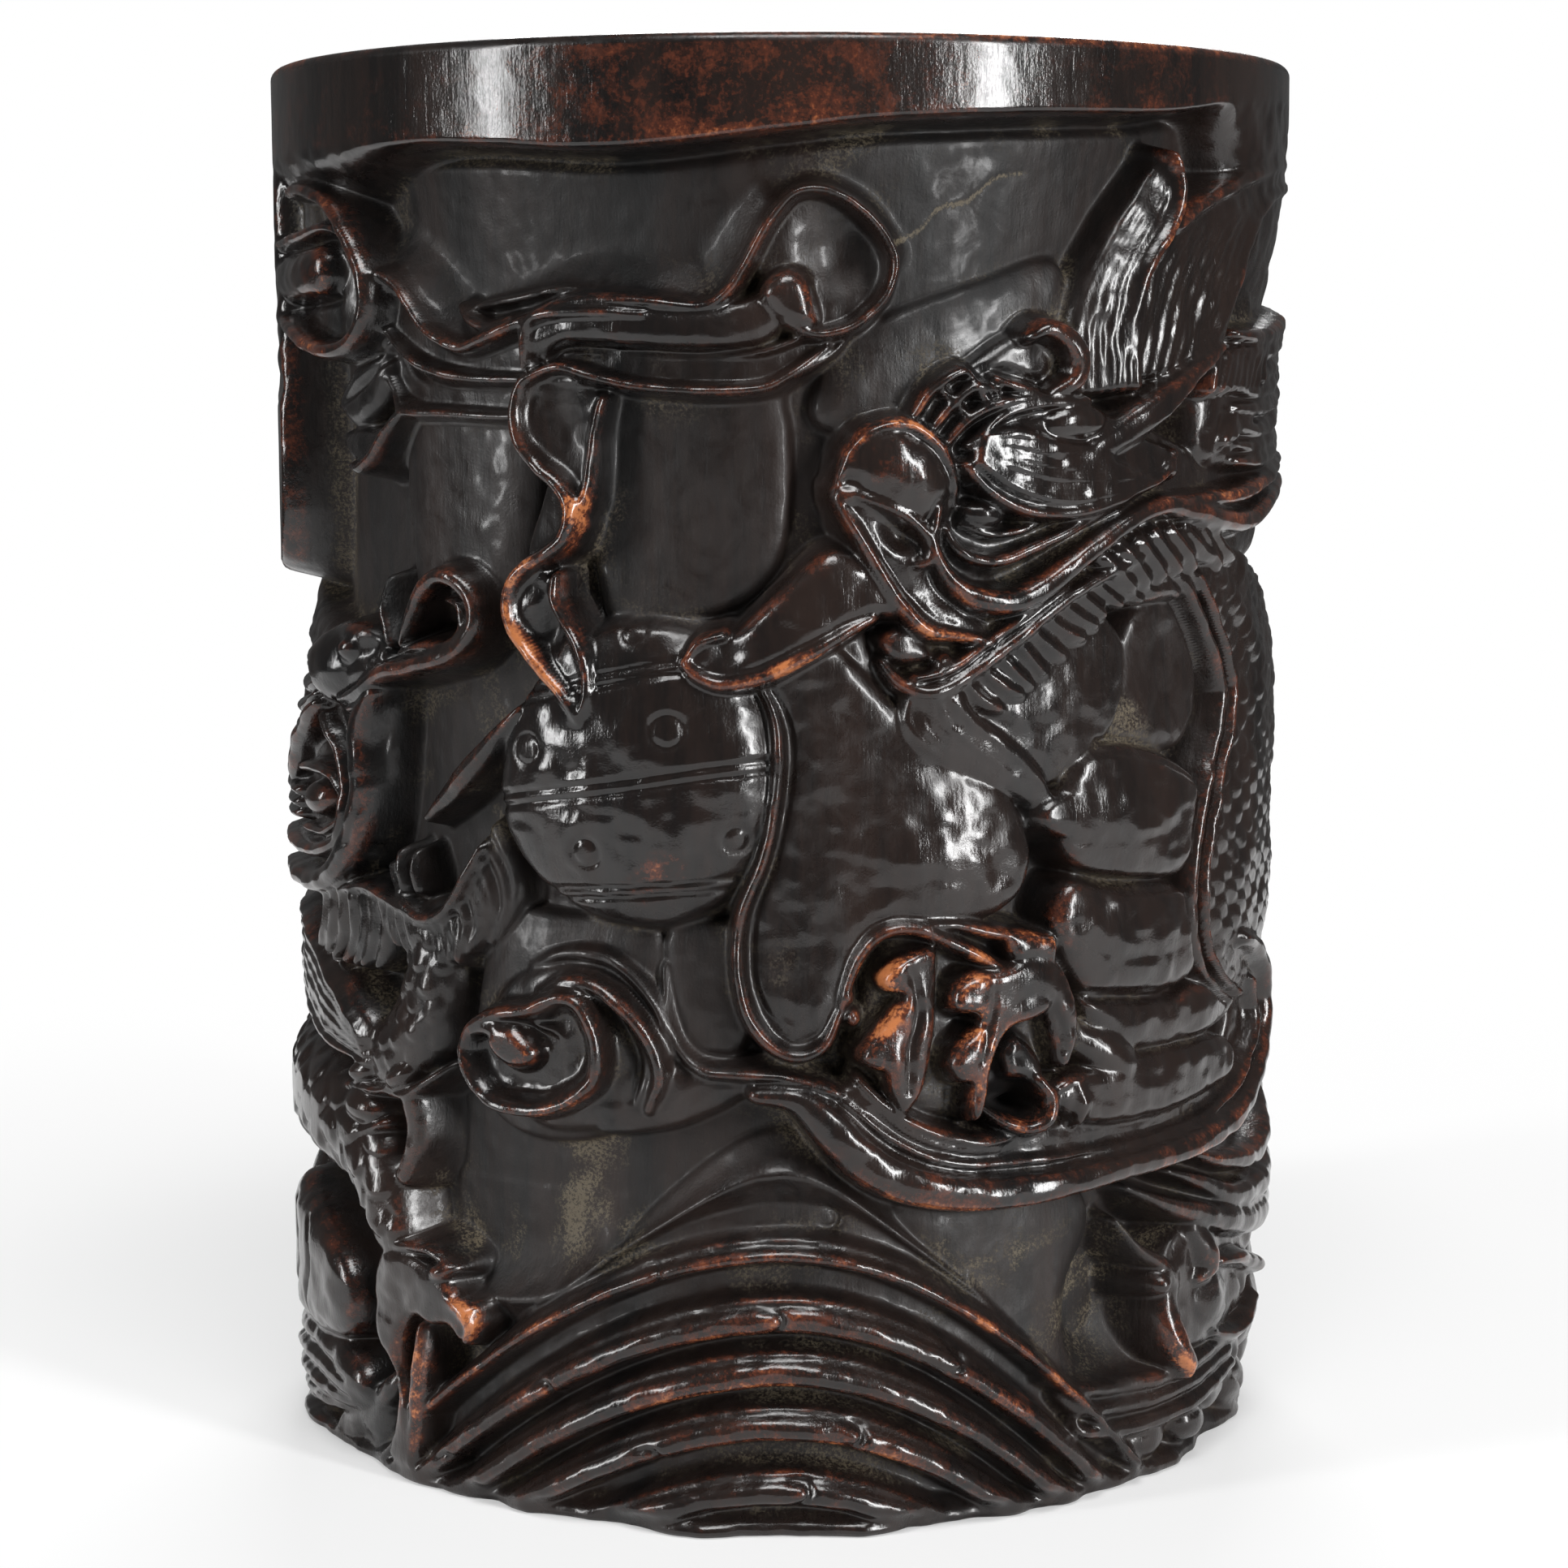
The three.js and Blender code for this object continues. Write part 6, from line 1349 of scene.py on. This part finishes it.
def plug_mesh(sizes, columns):
    """The tapered plug, cut across the grain, with a centre point left by the turner."""
    low, high = sizes.foot_recess / MM, (sizes.floor - sizes.glue_gap) / MM - 0.3
    r_low = (sizes.plug_radius_below - sizes.glue_gap) / MM
    r_high = (sizes.plug_radius_above - sizes.glue_gap) / MM
    rows = [(0.02, low + 0.5), (0.4, low + 0.35), (0.9, low + 0.05)]
    rows += [(x, low + 0.04 * math.sin(x * 3)) for x in np.linspace(1.4, r_low - 0.6, 16)]
    rows += arc(r_low - 0.4, low + 0.4, 0.4, -90, 0, 4)
    rows += [(r_low + (r_high - r_low) * t, low + (high - low) * t) for t in (0.2, 0.4, 0.6, 0.8)]
    rows += arc(r_high - 0.4, high - 0.4, 0.4, 0, 90, 4)
    rows += [(x, high - 0.05 * math.sin(x * 1.4) ** 2) for x in np.linspace(r_high - 0.6, 1.0, 16)]
    rows += [(0.5, high - 0.1), (0.02, high - 0.35)]
    points = turned(rows, columns)
    radii = np.array([x for x, _ in rows])[:, None] * np.ones((1, columns))
    fields = {
        "wear": 0.1 + 0.4 * smoothstep(r_high - 1.5, r_high, radii),
        "dust": 0.35 + 0.4 * smoothstep(r_high - 1, r_low, radii),
        "proud": np.full(radii.shape, 0.3),
    }
    return ring_mesh("floor_plug_wood", points, False, fields)


# Effects that more than one wood uses

def node(tree, kind, **settings):
    """A new shader node with its settings."""
    made = tree.nodes.new(kind)
    for key, value in settings.items():
        setattr(made, key, value)
    return made


def join(tree, value, socket):
    """Links a socket to another node's output, or gives it a plain value."""
    if isinstance(value, bpy.types.NodeSocket):
        tree.links.new(value, socket)
    else:
        socket.default_value = value


def feed(tree, made, **inputs):
    """Joins a node's inputs by name; underscores stand for spaces."""
    for key, value in inputs.items():
        join(tree, value, made.inputs[key.replace("_", " ")])
    return made


def effect(name, inputs, outputs):
    """A shader node group with the given sockets, and its input and output nodes."""
    tree = bpy.data.node_groups.new(name, "ShaderNodeTree")
    for label, kind, default in inputs:
        socket = tree.interface.new_socket(name=label, in_out="INPUT", socket_type=kind)
        socket.default_value = default
    for label, kind in outputs:
        tree.interface.new_socket(name=label, in_out="OUTPUT", socket_type=kind)
    return tree, tree.nodes.new("NodeGroupInput").outputs, tree.nodes.new("NodeGroupOutput").inputs


def place_in(tree):
    """Places on the piece itself, so that a finish stays put in every view."""
    return node(tree, "ShaderNodeTexCoord").outputs["Object"]


def stretched(tree, place, stretch):
    """Places drawn out along the fibres."""
    made = node(tree, "ShaderNodeVectorMath", operation="MULTIPLY")
    join(tree, place, made.inputs[0])
    join(tree, stretch, made.inputs[1])
    return made.outputs[0]


def noise(tree, vector, scale, detail=3.0, distortion=0.0, roughness=0.55):
    """Uneven values from 0 to 1."""
    made = feed(tree, node(tree, "ShaderNodeTexNoise"), Vector=vector, Scale=scale, Detail=detail,
                Distortion=distortion, Roughness=roughness)
    return made.outputs["Factor" if "Factor" in made.outputs else "Fac"]


def worked_out(tree, operation, values):
    """The values, put through the same sum one after another."""
    total = values[0]
    for value in values[1:]:
        made = node(tree, "ShaderNodeMath", operation=operation)
        join(tree, total, made.inputs[0])
        join(tree, value, made.inputs[1])
        total = made.outputs[0]
    return total


def times(tree, *values):
    """The product of the values."""
    return worked_out(tree, "MULTIPLY", values)


def plus(tree, *values):
    """The sum of the values."""
    return worked_out(tree, "ADD", values)


def ramp(tree, value, low, high, to_low=0.0, to_high=1.0):
    """Smooth step of a value from low to high."""
    made = node(tree, "ShaderNodeMapRange", interpolation_type="SMOOTHSTEP")
    return feed(tree, made, Value=value, From_Min=low, From_Max=high, To_Min=to_low,
                To_Max=to_high).outputs["Result"]


def mixed(tree, share, a, b):
    """One colour, turned into another by a share from 0 to 1."""
    made = node(tree, "ShaderNodeMix", data_type="RGBA")
    for number, value in ((0, share), (6, a), (7, b)):  # the factor and the two colours
        join(tree, value, made.inputs[number])
    return made.outputs[2]


COLOUR, VALUE, VECTOR = "NodeSocketColor", "NodeSocketFloat", "NodeSocketVector"


def wood_figure():
    """Streaked growth figure and open pores, drawn out along the fibres."""
    tree, given, result = effect("Wood figure", [
        ("Dark", COLOUR, (0.01, 0.008, 0.008, 1)), ("Light", COLOUR, (0.03, 0.015, 0.01, 1)),
        ("Stretch", VECTOR, (1, 1, 0.1)), ("Figure Scale", VALUE, 60.0), ("Pore Scale", VALUE, 900.0)],
        [("Color", COLOUR), ("Pores", VALUE)])
    place = stretched(tree, place_in(tree), given["Stretch"])
    broad = noise(tree, place, given["Figure Scale"], 3.0, 1.2)
    fibre = noise(tree, place, given["Pore Scale"], 4.0, 0.3, 0.7)
    share = plus(tree, times(tree, broad, 0.75), times(tree, fibre, 0.35))
    streaks = ramp(tree, share, 0.36, 0.76)
    tree.links.new(mixed(tree, streaks, given["Dark"], given["Light"]), result["Color"])
    tree.links.new(ramp(tree, fibre, 0.3, 0.46), result["Pores"])
    return tree


def worn_ridges():
    """Dark surface rubbed through on the ridges: first to red, then to bare orange wood."""
    tree, given, result = effect("Worn ridges", [
        ("Color", COLOUR, (0.02, 0.01, 0.01, 1)), ("Rubbed", COLOUR, (0.13, 0.03, 0.015, 1)),
        ("Bare", COLOUR, (0.4, 0.14, 0.05, 1)), ("Ridge", VALUE, 0.0), ("Amount", VALUE, 1.0),
        ("Patch Scale", VALUE, 260.0)], [("Color", COLOUR), ("Mask", VALUE)])
    place = place_in(tree)
    patch = noise(tree, place, given["Patch Scale"], 5.0, 0.4, 0.65)
    grain = noise(tree, place, times(tree, given["Patch Scale"], 7.0), 3.0, 0.0, 0.7)
    specks = ramp(tree, grain, 0.4, 0.72, 0.0, 0.7)
    broken = plus(tree, ramp(tree, patch, 0.34, 0.7, 0.1, 1.1), specks)
    level = times(tree, given["Ridge"], given["Amount"], broken)
    rubbed = mixed(tree, ramp(tree, level, 0.12, 0.75), given["Color"], given["Rubbed"])
    tree.links.new(mixed(tree, ramp(tree, level, 0.5, 1.15), rubbed, given["Bare"]), result["Color"])
    tree.links.new(ramp(tree, level, 0.2, 0.9), result["Mask"])
    return tree


def settled_dust():
    """Pale dust that has settled in the hollows, in fine specks."""
    tree, given, result = effect("Settled dust", [
        ("Color", COLOUR, (0.02, 0.01, 0.01, 1)), ("Dust", COLOUR, (0.1, 0.085, 0.06, 1)),
        ("Hollow", VALUE, 0.0), ("Amount", VALUE, 1.0), ("Speck Scale", VALUE, 2600.0)],
        [("Color", COLOUR), ("Mask", VALUE)])
    place = place_in(tree)
    drift = ramp(tree, noise(tree, place, 60.0, 5.0, 0.6, 0.65), 0.4, 0.66, 0.1, 1.2)
    speck = noise(tree, place, given["Speck Scale"], 2.0, 0.0, 0.8)
    broken = times(tree, drift, ramp(tree, speck, 0.36, 0.66, 0.4, 1.5))
    level = times(tree, given["Hollow"], given["Amount"], broken)
    mask = ramp(tree, level, 0.2, 1.3)
    tree.links.new(mixed(tree, mask, given["Color"], given["Dust"]), result["Color"])
    tree.links.new(mask, result["Mask"])
    return tree


def hand_polish():
    """Roughness of a wood polished by handling, duller in its hollows."""
    tree, given, result = effect("Hand polish", [
        ("Polished", VALUE, 0.25), ("Dull", VALUE, 0.6), ("Proud", VALUE, 0.5), ("Dust", VALUE, 0.0)],
        [("Roughness", VALUE), ("Polish", VALUE)])
    place = place_in(tree)
    smear = noise(tree, place, 240.0, 6.0, 0.8, 0.72)
    level = plus(tree, times(tree, given["Proud"], 0.7), times(tree, smear, 0.9),
                 times(tree, given["Dust"], -0.7))
    share = ramp(tree, level, 0.4, 1.1)
    made = feed(tree, node(tree, "ShaderNodeMapRange"), Value=share, To_Min=given["Dull"],
                To_Max=given["Polished"])
    tree.links.new(made.outputs["Result"], result["Roughness"])
    tree.links.new(share, result["Polish"])
    return tree


def tool_marks():
    """Height of the small facets and scratches that knives and scrapers leave."""
    tree, given, result = effect("Tool marks", [
        ("Facet Scale", VALUE, 420.0), ("Scratch Scale", VALUE, 1400.0)], [("Height", VALUE)])
    place = place_in(tree)
    facet = feed(tree, node(tree, "ShaderNodeTexVoronoi", feature="SMOOTH_F1"), Vector=place,
                 Scale=given["Facet Scale"], Smoothness=0.6)
    scratch = noise(tree, stretched(tree, place, (1, 1, 0.16)), given["Scratch Scale"], 2.0, 0.0, 0.6)
    pit = noise(tree, place, 3200.0, 2.0, 0.0, 0.6)
    total = plus(tree, times(tree, facet.outputs["Distance"], 0.5), times(tree, scratch, 0.35),
                 times(tree, pit, 0.25))
    tree.links.new(total, result["Height"])
    return tree


def placed_effect(tree, maker, **inputs):
    """One of the shared effects, placed in a material with its own values."""
    name = maker.__name__.replace("_", " ").capitalize()
    group = bpy.data.node_groups.get(name) or maker()
    return feed(tree, node(tree, "ShaderNodeGroup", node_tree=group), **inputs).outputs


def colour(rgb):
    """A colour as a shader takes it, with nothing see-through."""
    return (rgb[0], rgb[1], rgb[2], 1.0)


def wood(name, dark, light, colours, stretch, wear, dust, polished, dull, coat, bump):
    """A handled hardwood: figure, worn ridges, dusty hollows, uneven polish and tool marks."""
    material = bpy.data.materials.new(name)
    material.use_nodes = True
    tree = material.node_tree
    shader = tree.nodes["Principled BSDF"]

    def measured(label):
        return node(tree, "ShaderNodeAttribute", attribute_name=label).outputs["Fac"]

    figure = placed_effect(tree, wood_figure, Dark=colour(dark), Light=colour(light), Stretch=stretch)
    worn = placed_effect(tree, worn_ridges, Color=figure["Color"], Rubbed=colour(colours.rubbed),
                         Bare=colour(colours.bare), Ridge=measured("wear"), Amount=wear)
    dusty = placed_effect(tree, settled_dust, Color=worn["Color"], Dust=colour(colours.dust),
                          Hollow=measured("dust"), Amount=dust)
    polish = placed_effect(tree, hand_polish, Polished=polished, Dull=dull, Proud=measured("proud"),
                           Dust=dusty["Mask"])
    marks = placed_effect(tree, tool_marks)
    height = plus(tree, times(tree, figure["Pores"], 0.1), marks["Height"])
    raised = feed(tree, node(tree, "ShaderNodeBump"), Height=height, Strength=bump, Distance=MARK_DEPTH)
    feed(tree, shader, Base_Color=dusty["Color"], Roughness=polish["Roughness"],
         Normal=raised.outputs["Normal"], Coat_Weight=times(tree, polish["Polish"], coat),
         Coat_Roughness=0.12, IOR=1.45)
    return material


# Settings that a user would change

def length(name, description, default):
    """A field for a length in metres."""
    return bpy.props.FloatProperty(name=name, description=description, default=default, min=0.0,
                                   unit="LENGTH", subtype="DISTANCE", precision=4)


def tint(name, description, default):
    """A field for a colour."""
    return bpy.props.FloatVectorProperty(name=name, description=description, default=default,
                                         min=0.0, max=1.0, size=3, subtype="COLOR")


class BrushPotSizes(bpy.types.PropertyGroup):
    height: length("Height", "From the foot to the rim", HEIGHT)
    rim_radius: length("Rim radius", "Outside radius of the rim band", RIM_RADIUS)
    rim_edge: length("Rim edge", "Radius of the rounding along the rim's edges", RIM_EDGE)
    carving_depth: length("Carving depth", "From the rim band's face down to the ground", CARVING_DEPTH)
    foot_spread: length("Foot spread", "How far the ground runs out again at the foot", FOOT_SPREAD)
    bore_radius: length("Bore radius", "Inside radius of the well", BORE_RADIUS)
    seat_radius: length("Seat radius", "Radius of the recess that the floor board sits in", SEAT_RADIUS)
    floor: length("Floor height", "Height of the ledge over the foot", FLOOR)
    foot_recess: length("Foot recess", "From the foot up to the board's underside", FOOT_RECESS)
    glue_gap: length("Glue gap", "Gap between the glued pieces", GLUE_GAP)
    plug_radius_below: length("Plug radius below", "Larger radius of the tapered plug", PLUG_RADIUS_BELOW)
    plug_radius_above: length("Plug radius above", "Smaller radius of the tapered plug", PLUG_RADIUS_ABOVE)
    columns: bpy.props.IntProperty(name="Columns", description="Samples of the carving round the pot",
                                   default=1200, min=64)
    rows: bpy.props.IntProperty(name="Rows", description="Samples of the carving up the pot",
                                default=530, min=32)


class BrushPotColours(bpy.types.PropertyGroup):
    body_dark: tint("Body dark", "Darkest streaks of the carved wood", (0.0040, 0.0036, 0.0036))
    body_light: tint("Body light", "Lightest streaks of the carved wood", (0.0185, 0.0112, 0.0090))
    rubbed: tint("Rubbed", "Where the dark surface is rubbed thin", (0.105, 0.028, 0.014))
    bare: tint("Bare", "Where the wood shows bare on ridges", (0.42, 0.145, 0.052))
    dust: tint("Dust", "Dust settled in the hollows", (0.105, 0.085, 0.056))
    board_dark: tint("Board dark", "Dark streaks of the floor board", (0.022, 0.012, 0.009))
    board_light: tint("Board light", "Light streaks of the floor board", (0.075, 0.036, 0.022))
    plug_dark: tint("Plug dark", "Dark streaks of the plug", (0.03, 0.016, 0.010))
    plug_light: tint("Plug light", "Light streaks of the plug", (0.11, 0.05, 0.028))
    floor: tint("Studio floor", "Colour of the floor that the pot stands on", (0.86, 0.86, 0.86))


# Operators

def shown(name, mesh, material):
    """The piece's object, in the scene with its material."""
    piece = bpy.data.objects.new(name, mesh)
    bpy.context.collection.objects.link(piece)
    mesh.materials.append(material)
    return piece


class BRUSHPOT_OT_carved_body(bpy.types.Operator):
    """Carve the body of the pot, with its rim, bore and ledge"""

    bl_idname = "brushpot.carved_body"
    bl_label = "Carved Body"

    def execute(self, context):
        sizes, colours = context.scene.brush_pot_sizes, context.scene.brush_pot_colours
        share = 1
        mesh = body_mesh(sizes, sizes.columns // share, sizes.rows // share)
        material = wood("Polished dark hardwood", colours.body_dark, colours.body_light, colours,
                        stretch=(1, 1, 0.13), wear=0.95, dust=1.25, polished=0.19, dull=0.62,
                        coat=0.4, bump=0.9)
        body = shown("carved_body_wood", mesh, material)
        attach(body, "root")
        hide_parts("carved_body")
        return {"FINISHED"}


class BRUSHPOT_OT_floor_board(bpy.types.Operator):
    """Turn the floor board that closes the bore from below"""

    bl_idname = "brushpot.floor_board"
    bl_label = "Floor Board"

    def execute(self, context):
        sizes, colours = context.scene.brush_pot_sizes, context.scene.brush_pot_colours
        material = wood("Floor board hardwood", colours.board_dark, colours.board_light, colours,
                        stretch=(0.1, 1, 1), wear=0.5, dust=0.8, polished=0.42, dull=0.72,
                        coat=0.05, bump=0.5)
        board = shown("floor_board_wood", board_mesh(sizes, BOARD_COLUMNS), material)
        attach(board, "root")
        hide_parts("floor_board")
        return {"FINISHED"}


class BRUSHPOT_OT_floor_plug(bpy.types.Operator):
    """Turn the tapered plug in the floor board's hole"""

    bl_idname = "brushpot.floor_plug"
    bl_label = "Floor Plug"

    def execute(self, context):
        sizes, colours = context.scene.brush_pot_sizes, context.scene.brush_pot_colours
        material = wood("Plug hardwood", colours.plug_dark, colours.plug_light, colours,
                        stretch=(1, 0.12, 1), wear=0.6, dust=0.8, polished=0.42, dull=0.72,
                        coat=0.05, bump=0.5)
        plug = shown("floor_plug_wood", plug_mesh(sizes, PLUG_COLUMNS), material)
        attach(plug, "root")
        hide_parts("floor_plug")
        return {"FINISHED"}


def softbox(name, azimuth, rise, distance, width, height, power):
    """A soft area light that faces the middle of the pot; azimuth is to the right of the camera."""
    light = bpy.data.lights.new(name, "AREA")
    light.shape = "RECTANGLE"
    light.size, light.size_y = width, height
    light.energy = power
    lamp = bpy.data.objects.new(name, light)
    bpy.context.collection.objects.link(lamp)
    a, e = math.radians(azimuth), math.radians(rise)
    away = Vector((math.sin(a) * math.cos(e), -math.cos(a) * math.cos(e), math.sin(e)))
    lamp.location = Vector((0, 0, HEIGHT / 2)) + away * distance
    lamp.rotation_euler = (-away).to_track_quat("-Z", "Y").to_euler()


def studio_paper(floor_colour):
    """Pale paper that turns to plain white away from the pot, and keeps the pot's shadow."""
    paper = bpy.data.materials.new("Studio paper")
    paper.use_nodes = True
    tree = paper.node_tree
    shader = tree.nodes["Principled BSDF"]
    place = place_in(tree)
    tone = mixed(tree, noise(tree, place, 3.0), colour(floor_colour), colour(BACKDROP))
    feed(tree, shader, Base_Color=tone, Roughness=0.9)
    camera_ray = node(tree, "ShaderNodeLightPath").outputs["Is Camera Ray"]
    reach = node(tree, "ShaderNodeVectorMath", operation="LENGTH")
    tree.links.new(place, reach.inputs[0])
    far_share = ramp(tree, reach.outputs["Value"], 0.09, 0.29)
    glow = feed(tree, node(tree, "ShaderNodeEmission"), Color=colour((1, 1, 1)), Strength=1.0)
    both = node(tree, "ShaderNodeMixShader")
    lift = plus(tree, times(tree, far_share, 0.6), 0.4)
    white_share = times(tree, camera_ray, lift)
    for socket, value in zip(both.inputs, (white_share, shader.outputs[0], glow.outputs[0])):
        tree.links.new(value, socket)
    tree.links.new(both.outputs[0], tree.nodes["Material Output"].inputs["Surface"])
    return paper


def pale_world(scene):
    """White where the camera sees it, and a faint even light on the pot."""
    scene.world = scene.world or bpy.data.worlds.new("Studio")
    scene.world.use_nodes = True
    tree = scene.world.node_tree
    seen = node(tree, "ShaderNodeLightPath").outputs["Is Camera Ray"]
    feed(tree, tree.nodes["Background"], Color=colour((1, 1, 1)),
         Strength=plus(tree, times(tree, seen, 0.9), 0.1))


def studio_camera():
    """The camera at the photograph's angle."""
    lens = bpy.data.cameras.new("camera")
    lens.sensor_width = SENSOR_WIDTH
    lens.lens = FOCAL_LENGTH
    camera = bpy.data.objects.new("camera", lens)
    camera.location = CAMERA_PLACE
    camera.rotation_euler = Euler((math.radians(90 + CAMERA_PITCH), math.radians(CAMERA_ROLL), 0))
    bpy.context.collection.objects.link(camera)
    return camera


class BRUSHPOT_OT_studio(bpy.types.Operator):
    """Set up the pale floor, the soft lights and the camera"""

    bl_idname = "brushpot.studio"
    bl_label = "Studio"

    def execute(self, context):
        scene = context.scene
        plane = bpy.data.meshes.new("studio_floor")
        corners = [(x * HALF_FLOOR, y * HALF_FLOOR, 0) for x, y in ((-1, -1), (1, -1), (1, 1), (-1, 1))]
        plane.from_pydata(corners, [], [(0, 1, 2, 3)])
        plane.materials.append(studio_paper(scene.brush_pot_colours.floor))
        floor = bpy.data.objects.new("studio_floor", plane)
        context.collection.objects.link(floor)
        pale_world(scene)
        for name, settings in LIGHTS.items():
            softbox(name, *settings)
        scene.camera = studio_camera()
        scene.view_settings.view_transform = "Standard"
        return {"FINISHED"}


class BRUSHPOT_PT_panel(bpy.types.Panel):
    bl_idname = "BRUSHPOT_PT_panel"
    bl_label = "Brush Pot"
    bl_space_type = "VIEW_3D"
    bl_region_type = "UI"
    bl_category = "Brush Pot"

    def draw(self, context):
        layout = self.layout
        for group in (context.scene.brush_pot_sizes, context.scene.brush_pot_colours):
            column = layout.column(align=True)
            for name in group.__annotations__:
                column.prop(group, name)
        for operator in OPERATORS:
            layout.operator(operator.bl_idname)


OPERATORS = (BRUSHPOT_OT_carved_body, BRUSHPOT_OT_floor_board, BRUSHPOT_OT_floor_plug, BRUSHPOT_OT_studio)
CLASSES = (BrushPotSizes, BrushPotColours, *OPERATORS, BRUSHPOT_PT_panel)


def register():
    for kind in CLASSES:
        bpy.utils.register_class(kind)
    bpy.types.Scene.brush_pot_sizes = bpy.props.PointerProperty(type=BrushPotSizes)
    bpy.types.Scene.brush_pot_colours = bpy.props.PointerProperty(type=BrushPotColours)


def unregister():
    del bpy.types.Scene.brush_pot_colours
    del bpy.types.Scene.brush_pot_sizes
    for kind in reversed(CLASSES):
        bpy.utils.unregister_class(kind)


def main():
    register()
    bpy.ops.brushpot.carved_body()
    bpy.ops.brushpot.floor_board()
    bpy.ops.brushpot.floor_plug()
    bpy.ops.brushpot.studio()


if __name__ == "__main__":
    main()
